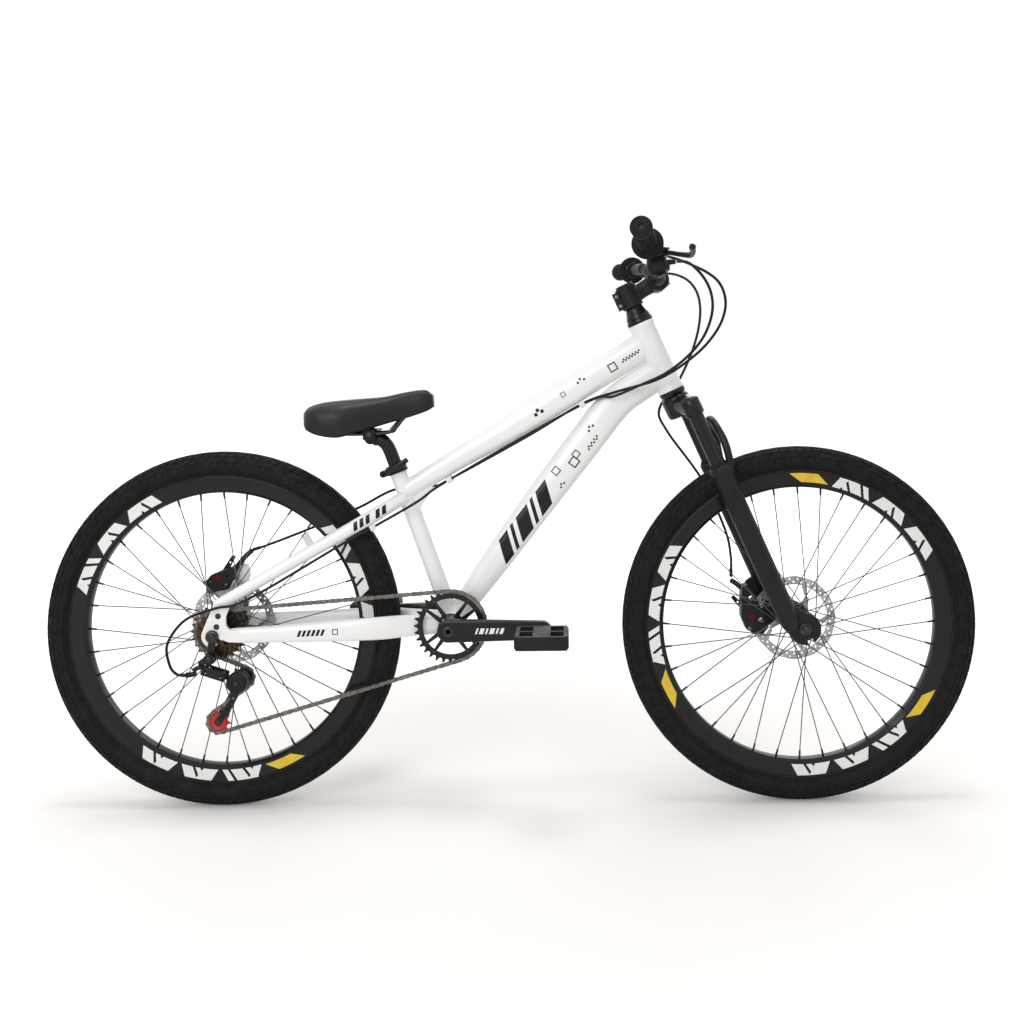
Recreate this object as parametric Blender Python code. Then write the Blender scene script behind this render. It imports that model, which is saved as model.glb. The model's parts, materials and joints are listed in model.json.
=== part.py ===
"""A hardtail freeride bicycle with 26 inch wheels, built as separate named pieces.

World frame, in metres: +X is forward, +Y is the rider's left and +Z is up. The origin is on
the ground, midway between the two axles. The chain is on the -Y side of the bicycle.
"""

from math import acos, atan2, cos, degrees, hypot, pi, radians, sin

import bmesh
import bpy
from mathutils import Matrix, Vector

GAP = 0.0003

# Driving dimensions of the bicycle
WHEELBASE = 1.080
WHEEL_RADIUS = 0.332
REAR_AXLE = Vector((-WHEELBASE / 2, 0, WHEEL_RADIUS))
FRONT_AXLE = Vector((WHEELBASE / 2, 0, WHEEL_RADIUS))
BOTTOM_BRACKET = Vector((-0.110, 0, 0.340))
SEAT_TUBE_TOP = Vector((-0.2156, 0, 0.6327))
SEAT_TUBE_RADIUS = 0.0159
SEATPOST_RADIUS = 0.0127
HEAD_TUBE_LOW = Vector((0.305, 0, 0.771))
HEAD_TUBE_LENGTH = 0.139
HEAD_TUBE_RADIUS = 0.0235
HEAD_ANGLE = radians(66.1)
CUP_RADIUS = 0.0164
CARTRIDGE_RADIUS = 0.0164
STEERER_RADIUS = 0.0143
REAR_HUB_HALF = 0.0675
FRONT_HUB_HALF = 0.050

# Driving dimensions of the drive train
CHAIN_PITCH = 0.0127
CHAIN_PLANE = -0.0445
CHAINRING_TEETH = 32
COG_TEETH = (12, 14, 16, 18, 20, 22, 24)
COG_IN_USE = 4
COG_SPACING = 0.0048
CRANK_LENGTH = 0.170

X_AXIS = Vector((1, 0, 0))
Y_AXIS = Vector((0, 1, 0))
Z_AXIS = Vector((0, 0, 1))

# The steering frame has its origin at the foot of the head tube and its Z on the steering axis
STEERING = Matrix.Translation(HEAD_TUBE_LOW) @ Matrix.Rotation(HEAD_ANGLE - pi / 2, 4, "Y")
STEER_UP = (STEERING.to_3x3() @ Z_AXIS).normalized()
HEAD_TUBE_TOP = HEAD_TUBE_LOW + STEER_UP * HEAD_TUBE_LENGTH
SEAT_UP = (SEAT_TUBE_TOP - BOTTOM_BRACKET).normalized()


# Materials


FINISHES = {
    "frame_white": ((0.86, 0.86, 0.85), 0.22, 0.0),
    "gloss_black": ((0.015, 0.015, 0.016), 0.18, 0.0),
    "satin_black": ((0.022, 0.022, 0.024), 0.42, 0.0),
    "anodised_black": ((0.03, 0.03, 0.032), 0.35, 0.8),
    "tyre_rubber": ((0.028, 0.028, 0.028), 0.85, 0.0),
    "soft_rubber": ((0.03, 0.03, 0.03), 0.7, 0.0),
    "black_plastic": ((0.03, 0.03, 0.032), 0.5, 0.0),
    "bright_steel": ((0.62, 0.62, 0.63), 0.25, 1.0),
    "dark_steel": ((0.16, 0.16, 0.17), 0.35, 1.0),
    "bronze_steel": ((0.32, 0.2, 0.12), 0.35, 1.0),
    "chain_steel": ((0.2, 0.17, 0.14), 0.4, 1.0),
    "red_plastic": ((0.45, 0.05, 0.03), 0.4, 0.0),
    "seat_vinyl": ((0.03, 0.03, 0.032), 0.55, 0.0),
    "cable_cover": ((0.02, 0.02, 0.021), 0.45, 0.0),
}


def material(name):
    """Return the Principled material of one finish, made the first time it is asked for."""
    if name in bpy.data.materials:
        return bpy.data.materials[name]
    color, roughness, metallic = FINISHES[name]
    finish = bpy.data.materials.new(name)
    finish.use_nodes = True
    shader = finish.node_tree.nodes["Principled BSDF"]
    shader.inputs["Base Color"].default_value = (*color, 1.0)
    shader.inputs["Roughness"].default_value = roughness
    shader.inputs["Metallic"].default_value = metallic
    return finish


# Solids and the operations that shape them


def clear_scene():
    for item in list(bpy.data.objects):
        bpy.data.objects.remove(item, do_unlink=True)


def solid(verts, faces):
    """Make a closed mesh object from points and faces, with its faces pointing outwards."""
    mesh = bpy.data.meshes.new("solid")
    mesh.from_pydata([tuple(vert) for vert in verts], [], faces)
    shape = bmesh.new()
    shape.from_mesh(mesh)
    bmesh.ops.remove_doubles(shape, verts=shape.verts, dist=1e-7)
    bmesh.ops.recalc_face_normals(shape, faces=shape.faces)
    if shape.calc_volume(signed=True) < 0:
        bmesh.ops.reverse_faces(shape, faces=shape.faces)
    shape.to_mesh(mesh)
    shape.free()
    piece = bpy.data.objects.new("solid", mesh)
    bpy.context.scene.collection.objects.link(piece)
    return piece


def loft(rings, closed=False):
    """Skin a row of rings with equal point counts, with flat end caps unless it closes."""
    count = len(rings[0])
    verts = [point for ring in rings for point in ring]
    faces = []
    steps = len(rings) if closed else len(rings) - 1
    for i in range(steps):
        near = i * count
        far = (i + 1) % len(rings) * count
        for j in range(count):
            k = (j + 1) % count
            faces.append((near + j, near + k, far + k, far + j))
    if not closed:
        faces.append(tuple(reversed(range(count))))
        faces.append(tuple(range(len(verts) - count, len(verts))))
    return solid(verts, faces)


def oval(centre, across, up, width, height, sides, power=2.0):
    """Points of an oval, or of a rounder box where power is above 2."""
    points = []
    for i in range(sides):
        angle = 2 * pi * (i + 0.5) / sides
        c, s = cos(angle), sin(angle)
        reach = (abs(c) ** power + abs(s) ** power) ** (-1 / power)
        points.append(centre + across * (c * reach * width / 2) + up * (s * reach * height / 2))
    return points


def smooth_route(points, steps):
    """Points on a Catmull-Rom curve through the given points, steps to each span."""
    points = [Vector(point) for point in points]
    row = [2 * points[0] - points[1], *points, 2 * points[-1] - points[-2]]
    route = []
    for i in range(1, len(row) - 2):
        a, b, c, d = row[i - 1:i + 3]
        for j in range(steps):
            t = j / steps
            route.append(0.5 * (2 * b + (c - a) * t + (2 * a - 5 * b + 4 * c - d) * t * t
                                + (3 * b - a - 3 * c + d) * t ** 3))
    route.append(points[-1])
    return route


def swept(stations, sides, power=2.0, side=Y_AXIS):
    """Loft ovals along stations of (centre, width, height); the width lies along side."""
    centres = [Vector(station[0]) for station in stations]
    rings = []
    for i, (centre, width, height) in enumerate(stations):
        along = (centres[min(i + 1, len(centres) - 1)] - centres[max(i - 1, 0)]).normalized()
        across = (side - along * along.dot(side)).normalized()
        rings.append(oval(centres[i], across, along.cross(across), width, height, sides, power))
    return loft(rings)


def rod(start, end, radius, sides=12, end_radius=None):
    """A straight round bar between two points, which may taper."""
    start = Vector(start)
    end = Vector(end)
    along = (end - start).normalized()
    across = along.orthogonal().normalized()
    up = along.cross(across)
    tip = radius if end_radius is None else end_radius
    return loft([oval(start, across, up, 2 * radius, 2 * radius, sides),
                 oval(end, across, up, 2 * tip, 2 * tip, sides)])


def turned(profile, place, sides):
    """Turn a profile of (radius, height) about the local Z of place.

    A profile that starts and ends at radius 0 closes at the axis; any other is a closed loop.
    """
    solid_core = profile[0][0] == 0 and profile[-1][0] == 0
    body = profile[1:-1] if solid_core else profile
    verts = []
    for i in range(sides):
        angle = 2 * pi * i / sides
        for radius, height in body:
            verts.append(place @ Vector((radius * cos(angle), radius * sin(angle), height)))
    count = len(body)
    faces = []
    for i in range(sides):
        near = i * count
        far = (i + 1) % sides * count
        for j in range(count - 1 if solid_core else count):
            k = (j + 1) % count
            faces.append((near + j, near + k, far + k, far + j))
    if solid_core:
        for end, row in ((profile[0], 0), (profile[-1], count - 1)):
            pole = len(verts)
            verts.append(place @ Vector((0, 0, end[1])))
            for i in range(sides):
                faces.append((pole, i * count + row, (i + 1) % sides * count + row))
    return solid(verts, faces)


def prism(outline, low, high, place):
    """Extrude a flat outline in the local XY of place from low to high along its Z."""
    rings = []
    for height in (low, high):
        rings.append([place @ Vector((x, y, height)) for x, y in outline])
    return loft(rings)


def box(centre, size, turn=None):
    """A box of the given size, turned about its centre where a rotation is given."""
    place = Matrix.Translation(centre) @ (turn.to_4x4() if turn else Matrix.Identity(4))
    x, y, z = (value / 2 for value in size)
    return prism([(-x, -y), (x, -y), (x, y), (-x, y)], -z, z, place)


def arc(centre, radius, start, end, steps):
    """Points on a circle from one angle to another, in degrees."""
    points = []
    for i in range(steps + 1):
        angle = radians(start + (end - start) * i / steps)
        points.append((centre[0] + radius * cos(angle), centre[1] + radius * sin(angle)))
    return points


def side_plane(centre=(0, 0, 0)):
    """A place whose local X is world X, local Y is world Z and local Z is world -Y."""
    return Matrix.Translation(centre) @ Matrix.Rotation(pi / 2, 4, "X")


def along_y(centre=(0, 0, 0)):
    """A place whose local Z is world +Y and whose local X is world X."""
    return Matrix.Translation(centre) @ Matrix.Rotation(-pi / 2, 4, "X")


def bore(radius, sides):
    """The corner radius of a faceted hole whose flats clear a round bar of this radius."""
    return (radius + GAP) / cos(pi / sides)


def pointing(centre, direction):
    """A place at centre whose local Z points in a direction."""
    return Matrix.Translation(centre) @ Vector(direction).to_track_quat("Z", "X").to_matrix().to_4x4()


def combine(base, tools, operation, merge_self=False):
    """Apply Boolean steps to a solid and take their tools away."""
    for tool in tools:
        step = base.modifiers.new("combine", "BOOLEAN")
        step.operation = operation
        step.solver = "EXACT"
        step.use_self = merge_self
        step.object = tool
    depsgraph = bpy.context.evaluated_depsgraph_get()
    depsgraph.update()
    result = bpy.data.meshes.new_from_object(base.evaluated_get(depsgraph))
    base.modifiers.clear()
    base.data = result
    for tool in tools:
        bpy.data.objects.remove(tool, do_unlink=True)
    return base


def fused(base, *tools):
    return combine(base, tools, "UNION")


def cut(base, *tools):
    return combine(base, tools, "DIFFERENCE")


def mirrored(piece):
    """A copy of a solid on the other side of the bicycle."""
    mesh = piece.data.copy()
    mesh.transform(Matrix.Scale(-1, 4, Y_AXIS))
    mesh.flip_normals()
    copy = bpy.data.objects.new("solid", mesh)
    bpy.context.scene.collection.objects.link(copy)
    return copy


def moved(piece, place):
    piece.data.transform(place)
    return piece


def empty(name, place):
    """An empty on a joint axis, which carries the pieces that move about it."""
    pivot = bpy.data.objects.new(name, None)
    pivot.matrix_world = place
    bpy.context.scene.collection.objects.link(pivot)
    bpy.context.view_layer.update()
    return pivot


def finished(name, piece, finish, origin=None, parent=None, angle=35):
    """Name a piece, give it its material, its origin and its parent, and shade it."""
    shape = bmesh.new()
    shape.from_mesh(piece.data)
    bmesh.ops.remove_doubles(shape, verts=shape.verts, dist=2e-6)
    bmesh.ops.dissolve_degenerate(shape, edges=shape.edges, dist=2e-6)
    bmesh.ops.dissolve_limit(shape, angle_limit=radians(0.2), verts=shape.verts, edges=shape.edges)
    bmesh.ops.triangulate(shape, faces=shape.faces)
    shape.to_mesh(piece.data)
    shape.free()
    origin = Vector(origin) if origin is not None else Vector((0, 0, 0))
    piece.data.transform(Matrix.Translation(-origin))
    piece.location = origin
    piece.data.materials.clear()
    piece.data.materials.append(material(finish))
    piece.data.shade_smooth()
    piece.data.set_sharp_from_angle(angle=radians(angle))
    if parent is not None:
        piece.parent = parent
        piece.matrix_parent_inverse = parent.matrix_world.inverted()
    piece.name = name
    piece.data.name = name
    return piece


# The welded frame


def main_frame():
    """Tubes, stays, dropouts and brake tab, welded into one piece."""
    top_tube = swept([
        ((-0.1985, 0, 0.5853), 0.033, 0.036), ((-0.1079, 0, 0.6398), 0.036, 0.040),
        ((-0.0169, 0, 0.6921), 0.040, 0.048), ((0.0742, 0, 0.7469), 0.043, 0.054),
        ((0.1653, 0, 0.8016), 0.043, 0.054), ((0.2659, 0, 0.8620), 0.038, 0.053)], 12, 2.3)
    down_tube = swept([
        ((-0.1060, 0, 0.3470), 0.040, 0.038), ((-0.0191, 0, 0.4657), 0.045, 0.054),
        ((0.0727, 0, 0.5878), 0.048, 0.062), ((0.1415, 0, 0.6764), 0.048, 0.065),
        ((0.1864, 0, 0.7334), 0.047, 0.064), ((0.2190, 0, 0.7640), 0.045, 0.061),
        ((0.2880, 0, 0.8080), 0.040, 0.060)], 12, 2.4)
    seat_tube = rod(BOTTOM_BRACKET + SEAT_UP * 0.012, SEAT_TUBE_TOP, SEAT_TUBE_RADIUS, 12)
    head_tube = turned([(0, 0), (0.0250, 0), (0.0250, 0.005), (HEAD_TUBE_RADIUS, 0.012),
                        (HEAD_TUBE_RADIUS, HEAD_TUBE_LENGTH - 0.012),
                        (0.0250, HEAD_TUBE_LENGTH - 0.005), (0.0250, HEAD_TUBE_LENGTH),
                        (0, HEAD_TUBE_LENGTH)], STEERING, 12)
    shell = turned([(0, -0.034), (0.0212, -0.034), (0.0212, 0.034), (0, 0.034)],
                   along_y(BOTTOM_BRACKET), 14)
    gusset = prism([(-0.1800, 0.5400), (-0.1450, 0.5920), (-0.1500, 0.6060), (-0.1960, 0.5880)],
                   -0.0100, 0.0100, side_plane())
    chainstay = swept([
        ((-0.512, -0.0672, 0.3325), 0.0125, 0.024), ((-0.490, -0.0668, 0.3325), 0.0150, 0.028),
        ((-0.428, -0.0615, 0.3330), 0.0180, 0.031), ((-0.255, -0.0450, 0.3370), 0.0185, 0.042),
        ((-0.195, -0.0300, 0.3383), 0.0180, 0.040), ((-0.120, -0.0235, 0.3395), 0.0180, 0.032)],
        8, 2.3)
    seatstay = swept([
        ((-0.5330, -0.0700, 0.3860), 0.0120, 0.018), ((-0.5100, -0.0686, 0.4000), 0.0185, 0.021),
        ((-0.2936, -0.0490, 0.5209), 0.0210, 0.0245), ((-0.2400, -0.0340, 0.5510), 0.0210, 0.025),
        ((-0.1960, -0.0120, 0.5765), 0.0180, 0.024)], 8)
    stays = [chainstay, seatstay, dropout()]
    stays += [mirrored(stay) for stay in stays]
    bridge = rod((-0.2570, -0.040, 0.5430), (-0.2570, 0.040, 0.5430), 0.0075, 6)
    low_bridge = rod((-0.1760, -0.030, 0.3390), (-0.1760, 0.030, 0.3390), 0.0095, 6)
    frame = fused(down_tube, top_tube, seat_tube, shell, head_tube, gusset, bridge, low_bridge,
                  *stays, brake_tab(), cable_guide())
    cup_hole = bore(CUP_RADIUS, 12)
    steerer_bore = turned([(0, -0.01), (cup_hole, -0.01), (cup_hole, 0.15), (0, 0.15)], STEERING, 12)
    post_bore = rod(BOTTOM_BRACKET + SEAT_UP * 0.095, SEAT_TUBE_TOP + SEAT_UP * 0.01,
                    bore(SEATPOST_RADIUS, 12), 12)
    cartridge_bore = rod(BOTTOM_BRACKET - Y_AXIS * 0.04, BOTTOM_BRACKET + Y_AXIS * 0.04,
                         bore(CARTRIDGE_RADIUS, 12), 12)
    frame = cut(frame, steerer_bore, post_bore, cartridge_bore)
    return finished("main_frame", frame, "frame_white")


DROPOUT_INNER = 0.0678
DROPOUT_OUTER = 0.0740
AXLE_RADIUS = 0.0050


def dropout():
    """The near dropout: a plate with a slot that opens down and forward, and two eyelets."""
    slot_angle = -42
    slot_half = AXLE_RADIUS + GAP
    run = (cos(radians(slot_angle)), sin(radians(slot_angle)))
    aside = (-run[1], run[0])
    reach = 0.0155
    slot = [(run[0] * reach - aside[0] * slot_half, run[1] * reach - aside[1] * slot_half)]
    slot += arc((0, 0), slot_half, slot_angle - 90, slot_angle - 270, 6)
    slot += [(run[0] * reach + aside[0] * slot_half, run[1] * reach + aside[1] * slot_half)]
    outline = [(0.0040, 0.0600), (-0.0155, 0.0155), (-0.0200, 0.0080), (-0.0195, -0.0060),
               (-0.0120, -0.0170), (0.0000, -0.0195), (0.0065, -0.0175)]
    outline += slot
    outline += [(0.0190, -0.0065), (0.0300, -0.0110), (0.0480, -0.0100), (0.0480, 0.0100),
                (0.0300, 0.0125), (0.0245, 0.0200), (0.0245, 0.0366), (0.0330, 0.0560)]
    plate = prism(outline, DROPOUT_INNER, DROPOUT_OUTER, side_plane(REAR_AXLE))
    holes = [rod(REAR_AXLE + Vector((x, -0.060, z)), REAR_AXLE + Vector((x, -0.080, z)), 0.0026, 6)
             for x, z in ((0.0107, 0.0368), (0.0078, 0.0173))]
    return cut(plate, *holes)


TAB_INNER = 0.0640
TAB_OUTER = 0.0700


def brake_tab():
    """The plate on the far seatstay and dropout that carries the rear brake caliper."""
    outline = [(-0.0120, 0.0200), (-0.0440, 0.0520), (-0.0500, 0.0620), (-0.0440, 0.0690),
               (-0.0290, 0.0640), (-0.0080, 0.0880), (0.0120, 0.1110), (0.0240, 0.1080),
               (0.0300, 0.0860), (0.0120, 0.0560)]
    return prism(outline, -TAB_OUTER, -TAB_INNER, side_plane(REAR_AXLE))


def cable_guide():
    """The small stop for the rear brake housing on top of the far seatstay."""
    return box((-0.3960, 0.0580, 0.4850), (0.014, 0.006, 0.034), Matrix.Rotation(radians(-29), 3, "Y"))


# Wheels


SPOKE_COUNT = 36
SPOKE_LIFT = 0.0011
SPOKE_RADIUS = 0.0010
RIM_HOLE_RADIUS = 0.2547
WHEEL_SIDES = 28


def tyre(name, centre, parent):
    """A wide tyre: a hollow C whose beads sit in the rim."""
    outer = [(0.2780, 0.0106), (0.2866, 0.0121), (0.3040, 0.0266), (0.3240, 0.0205)]
    inner = [(0.3250, 0.0000), (0.2790, 0.0080)]
    profile = [(r, -y) for r, y in outer] + [(WHEEL_RADIUS, 0)] + [(r, y) for r, y in reversed(outer)]
    profile += [(r, y) for r, y in reversed(inner)] + [(r, -y) for r, y in inner[1:]]
    shell = turned(profile, along_y(centre), WHEEL_SIDES)
    return finished(name, shell, "tyre_rubber", centre, parent)


def rim(name, centre, parent):
    """A double wall rim: the spoke bed, two side walls and their hooks."""
    half = [(RIM_HOLE_RADIUS, 0.0060), (0.2610, 0.0138), (0.2853, 0.0150), (0.2720, 0.0112)]
    profile = [(r, -y) for r, y in half] + [(r, y) for r, y in reversed(half)]
    hoop = turned(profile, along_y(centre), WHEEL_SIDES)
    return finished(name, hoop, "gloss_black", centre, parent)


def spoke(flange_radius, flange_y, lift, hub_angle, rim_angle):
    """One spoke, from a flange to the rim; lift keeps it clear of those that it crosses."""
    start = Vector((flange_radius * cos(hub_angle), flange_y + lift, flange_radius * sin(hub_angle)))
    reach = RIM_HOLE_RADIUS * cos(pi / WHEEL_SIDES) - 0.0008
    end = Vector((reach * cos(rim_angle), lift, reach * sin(rim_angle)))
    return rod(start, end, SPOKE_RADIUS, 3)


def hub(name, centre, parent, half_width, near_flange, far_flange, boss):
    """A hub shell with two flanges and its 36 spokes laced three cross."""
    flange = 0.0290
    hole_circle = 0.0255
    profile = [(0.0062, -half_width), (0.0110, -half_width), *boss,
               (flange, near_flange - 0.0021), (flange, near_flange + 0.0028),
               (0.0165, near_flange + 0.0070), (0.0165, far_flange - 0.0070),
               (flange, far_flange - 0.0028), (flange, far_flange + 0.0021),
               (0.0215, far_flange + 0.0040), (0.0215, ROTOR_PLANES[name] - 0.0014),
               (0.0105, ROTOR_PLANES[name] - 0.0012), (0.0105, half_width), (0.0062, half_width)]
    shell = turned(profile, along_y(), 10)
    spokes = []
    for i in range(SPOKE_COUNT):
        far_side = i % 2
        outside = (i // 2) % 2
        lean = radians(62 if outside else -62)
        rim_angle = 2 * pi * i / SPOKE_COUNT
        flange_y = far_flange if far_side else near_flange
        lift = SPOKE_LIFT if outside else -SPOKE_LIFT
        spokes.append(spoke(hole_circle, flange_y, lift, rim_angle + lean, rim_angle))
    wheel_core = combine(shell, spokes, "UNION")
    moved(wheel_core, Matrix.Translation(centre))
    return finished(name, wheel_core, "dark_steel", centre, parent)


ROTOR_RADIUS = 0.080
ROTOR_HALF = 0.0009
ROTOR_WAVES = 12
ROTOR_ARMS = 5
ROTOR_PLANES = {"rear_hub_and_spokes": 0.0520, "front_hub_and_spokes": 0.0385}


def rotor(name, centre, plane_y, parent):
    """A 160 mm brake disc: a track with a waved edge, five swept arms and a centre ring."""
    edge = []
    for i in range(ROTOR_WAVES * 2):
        angle = 2 * pi * i / (ROTOR_WAVES * 2)
        radius = ROTOR_RADIUS - (0.0014 if i % 2 == 0 else 0)
        edge.append((radius * cos(angle), radius * sin(angle)))
    disc = prism(edge, -ROTOR_HALF, ROTOR_HALF, side_plane())
    windows = []
    for i in range(ROTOR_ARMS):
        start = 360 * i / ROTOR_ARMS
        outline = arc((0, 0), 0.0640, start + 4, start + 66, 3)
        outline += arc((0, 0), 0.0290, start + 30, start - 12, 2)
        windows.append(prism(outline, -0.005, 0.005, side_plane()))
    disc = cut(disc, *windows, rod((0, -0.005, 0), (0, 0.005, 0), 0.0113, 12))
    moved(disc, Matrix.Translation(centre + Y_AXIS * plane_y))
    return finished(name, disc, "bright_steel", centre, parent)


def wheels(front_carrier):
    rear = empty("rear_wheel_axis", Matrix.Translation(REAR_AXLE))
    front = empty("front_wheel_axis", Matrix.Translation(FRONT_AXLE))
    front.parent = front_carrier
    front.matrix_parent_inverse = front_carrier.matrix_world.inverted()
    bpy.context.view_layer.update()
    freewheel_boss = [(0.0110, -0.0480), (0.0168, -0.0480), (0.0168, -0.0320), (0.0200, -0.0315)]
    hub("rear_hub_and_spokes", REAR_AXLE, rear, REAR_HUB_HALF - GAP, -0.0225, 0.0330, freewheel_boss)
    hub("front_hub_and_spokes", FRONT_AXLE, front, FRONT_HUB_HALF - GAP, -0.0340, 0.0200,
        [(0.0110, -0.0400), (0.0150, -0.0390)])
    for end, centre, parent in (("rear", REAR_AXLE, rear), ("front", FRONT_AXLE, front)):
        tyre(f"{end}_tyre", centre, parent)
        rim(f"{end}_rim", centre, parent)
        rotor(f"{end}_brake_rotor", centre, ROTOR_PLANES[f"{end}_hub_and_spokes"], parent)


# Fork and headset, in the steering frame


LEG_FORWARD = 0.0160
LEG_ASIDE = 0.0650
STANCHION_RADIUS = 0.0140
LOWER_RADIUS = 0.0192
LOWER_TOP = -0.1590
LUG_INNER = 0.0503
LUG_OUTER = 0.0620
LOCAL_FRONT_AXLE = STEERING.inverted() @ FRONT_AXLE


def leg_point(side, height):
    return Vector((LEG_FORWARD, side * LEG_ASIDE, height))


def fork_crown(parent):
    """Steerer, forged crown and the two stanchions, pressed into one piece."""
    steerer = rod((0, 0, -0.030), (0, 0, 0.2115), STEERER_RADIUS, 10)
    race = turned([(0, -0.0120), (0.0235, -0.0120), (0.0265, -0.0170), (0.0265, -0.0480),
                   (0.0220, -0.0520), (0, -0.0520)], Matrix.Identity(4), 12)
    arm = swept([((0.0160, -0.0650, -0.0420), 0.0300, 0.0300), ((0.0120, -0.0420, -0.0360), 0.0350, 0.0330),
                 ((0.0060, 0, -0.0310), 0.0460, 0.0350), ((0.0120, 0.0420, -0.0360), 0.0350, 0.0330),
                 ((0.0160, 0.0650, -0.0420), 0.0300, 0.0300)], 8, 2.6, X_AXIS)
    legs = []
    for side in (-1, 1):
        place = Matrix.Translation((LEG_FORWARD, side * LEG_ASIDE, 0))
        legs.append(turned([(0, -0.0240), (0.0140, -0.0240), (0.0178, -0.0275), (0.0178, -0.0560),
                            (STANCHION_RADIUS, -0.0585), (STANCHION_RADIUS, -0.3300), (0, -0.3300)],
                           place, 10))
    crown = moved(fused(race, steerer, arm, *legs), STEERING)
    return finished("fork_crown_and_steerer", crown, "gloss_black", HEAD_TUBE_LOW, parent)


def fork_lowers(parent):
    """Both lower legs with their arch, axle lugs and brake tab: one casting."""
    legs = []
    for side in (-1, 1):
        place = Matrix.Translation((LEG_FORWARD, side * LEG_ASIDE, 0))
        legs.append(turned([(0, LOWER_TOP), (0.0188, LOWER_TOP), (0.0204, LOWER_TOP - 0.003),
                            (0.0204, LOWER_TOP - 0.014), (LOWER_RADIUS, LOWER_TOP - 0.018),
                            (LOWER_RADIUS, -0.4300), (0.0165, -0.4760), (0.0110, -0.4860),
                            (0, -0.4860)], place, 10))
        x, z = LOCAL_FRONT_AXLE.x, LOCAL_FRONT_AXLE.z
        slot_half = bore(AXLE_RADIUS, 8)
        outline = [(0.0020, -0.4380), (0.0290, -0.4380)]
        outline += arc((x, z), 0.0290, 60, -78, 5)
        outline += [(x + slot_half, z - 0.0284)]
        outline += arc((x, z), slot_half, 0, 180, 4)
        outline += [(x - slot_half, z - 0.0284)]
        outline += arc((x, z), 0.0290, 258, 200, 2)
        outline += [(0.0010, -0.4700)]
        low, high = sorted((-side * LUG_INNER, -side * LUG_OUTER))
        legs.append(prism(outline, low, high, side_plane()))
    half_arch = [((0.0250, 0.0650, -0.1900), 0.0130, 0.0200), ((0.0375, 0.0655, -0.1600), 0.0135, 0.0200),
                 ((0.0440, 0.0600, -0.1250), 0.0140, 0.0200), ((0.0440, 0.0440, -0.0970), 0.0140, 0.0210),
                 ((0.0440, 0.0200, -0.0855), 0.0140, 0.0220)]
    arch = swept([(on_side(point, -1), deep, wide) for point, deep, wide in half_arch]
                 + half_arch[::-1], 8, 3.0, X_AXIS)
    tab = prism([(0.0100, -0.3930), (-0.0160, -0.3980), (-0.0260, -0.4060), (-0.0260, -0.4150),
                 (-0.0110, -0.4260), (-0.0110, -0.4700), (-0.0240, -0.4860), (-0.0180, -0.4960),
                 (0.0060, -0.4900), (0.0160, -0.4600)], -0.0620, -0.0565, side_plane())
    wiper = rod((-0.0080, -0.0650, LOWER_TOP - 0.010), (-0.0080, -0.0650, LOWER_TOP + 0.004), 0.0050, 6)
    lowers = fused(legs[0], *legs[1:], arch, tab, wiper)
    bores = [rod(leg_point(side, -0.4500), leg_point(side, LOWER_TOP + 0.02), bore(STANCHION_RADIUS, 10), 10)
             for side in (-1, 1)]
    lowers = moved(cut(lowers, *bores), STEERING)
    return finished("fork_lowers", lowers, "satin_black", FRONT_AXLE, parent)


def headset(parent):
    """The two cups pressed into the head tube and the conical spacer under the stem."""
    top = HEAD_TUBE_LENGTH
    hole = bore(STEERER_RADIUS, 10)
    lower = [(hole, 0.010), (CUP_RADIUS, 0.010), (CUP_RADIUS, -GAP), (0.0250, -GAP),
             (0.0250, -0.0060), (0.0225, -0.0115), (hole, -0.0115)]
    upper = [(hole, top - 0.010), (CUP_RADIUS, top - 0.010), (CUP_RADIUS, top + GAP),
             (0.0250, top + GAP), (0.0250, top + 0.0055), (0.0235, top + 0.0090),
             (hole, top + 0.0090)]
    cone = [(hole, top + 0.0095), (0.0232, top + 0.0095), (0.0225, top + 0.0150),
            (0.0165, top + 0.0325), (hole, top + 0.0325)]
    finished("headset_lower_cup", turned(lower, STEERING, 10), "gloss_black", HEAD_TUBE_LOW)
    finished("headset_upper_cup", turned(upper, STEERING, 10), "gloss_black", HEAD_TUBE_TOP)
    finished("headset_cone_spacer", turned(cone, STEERING, 10), "gloss_black", HEAD_TUBE_TOP, parent)


# Stem, handlebar and its controls


BAR_RADIUS = 0.0111
BAR_CLAMP_RADIUS = 0.0127
BAR_CENTRE = Vector((0.2800, 0, 0.9770))
LOCAL_BAR_CENTRE = STEERING.inverted() @ BAR_CENTRE
STEM_LOW = 0.1720
STEM_HIGH = 0.2130
GRIP_INNER = Vector((0.2470, 0.2050, 1.0200))
GRIP_OUTER = Vector((0.2270, 0.3300, 1.0300))
GRIP_LENGTH = (GRIP_OUTER - GRIP_INNER).length
GRIP_RUN = (GRIP_OUTER - GRIP_INNER).normalized()
BAR_POINTS = [(0.2800, 0.0000, 0.9770), (0.2800, 0.0380, 0.9770), (0.2795, 0.0520, 0.9800),
              (0.2770, 0.0670, 0.9880), (0.2710, 0.0900, 1.0030), (0.2660, 0.1080, 1.0105),
              GRIP_INNER - GRIP_RUN * 0.0750, GRIP_INNER + GRIP_RUN * 0.1230]


def on_side(point, side):
    """A point given for the far side, put on the side asked for."""
    return Vector((point[0], point[1] * side, point[2]))


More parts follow.
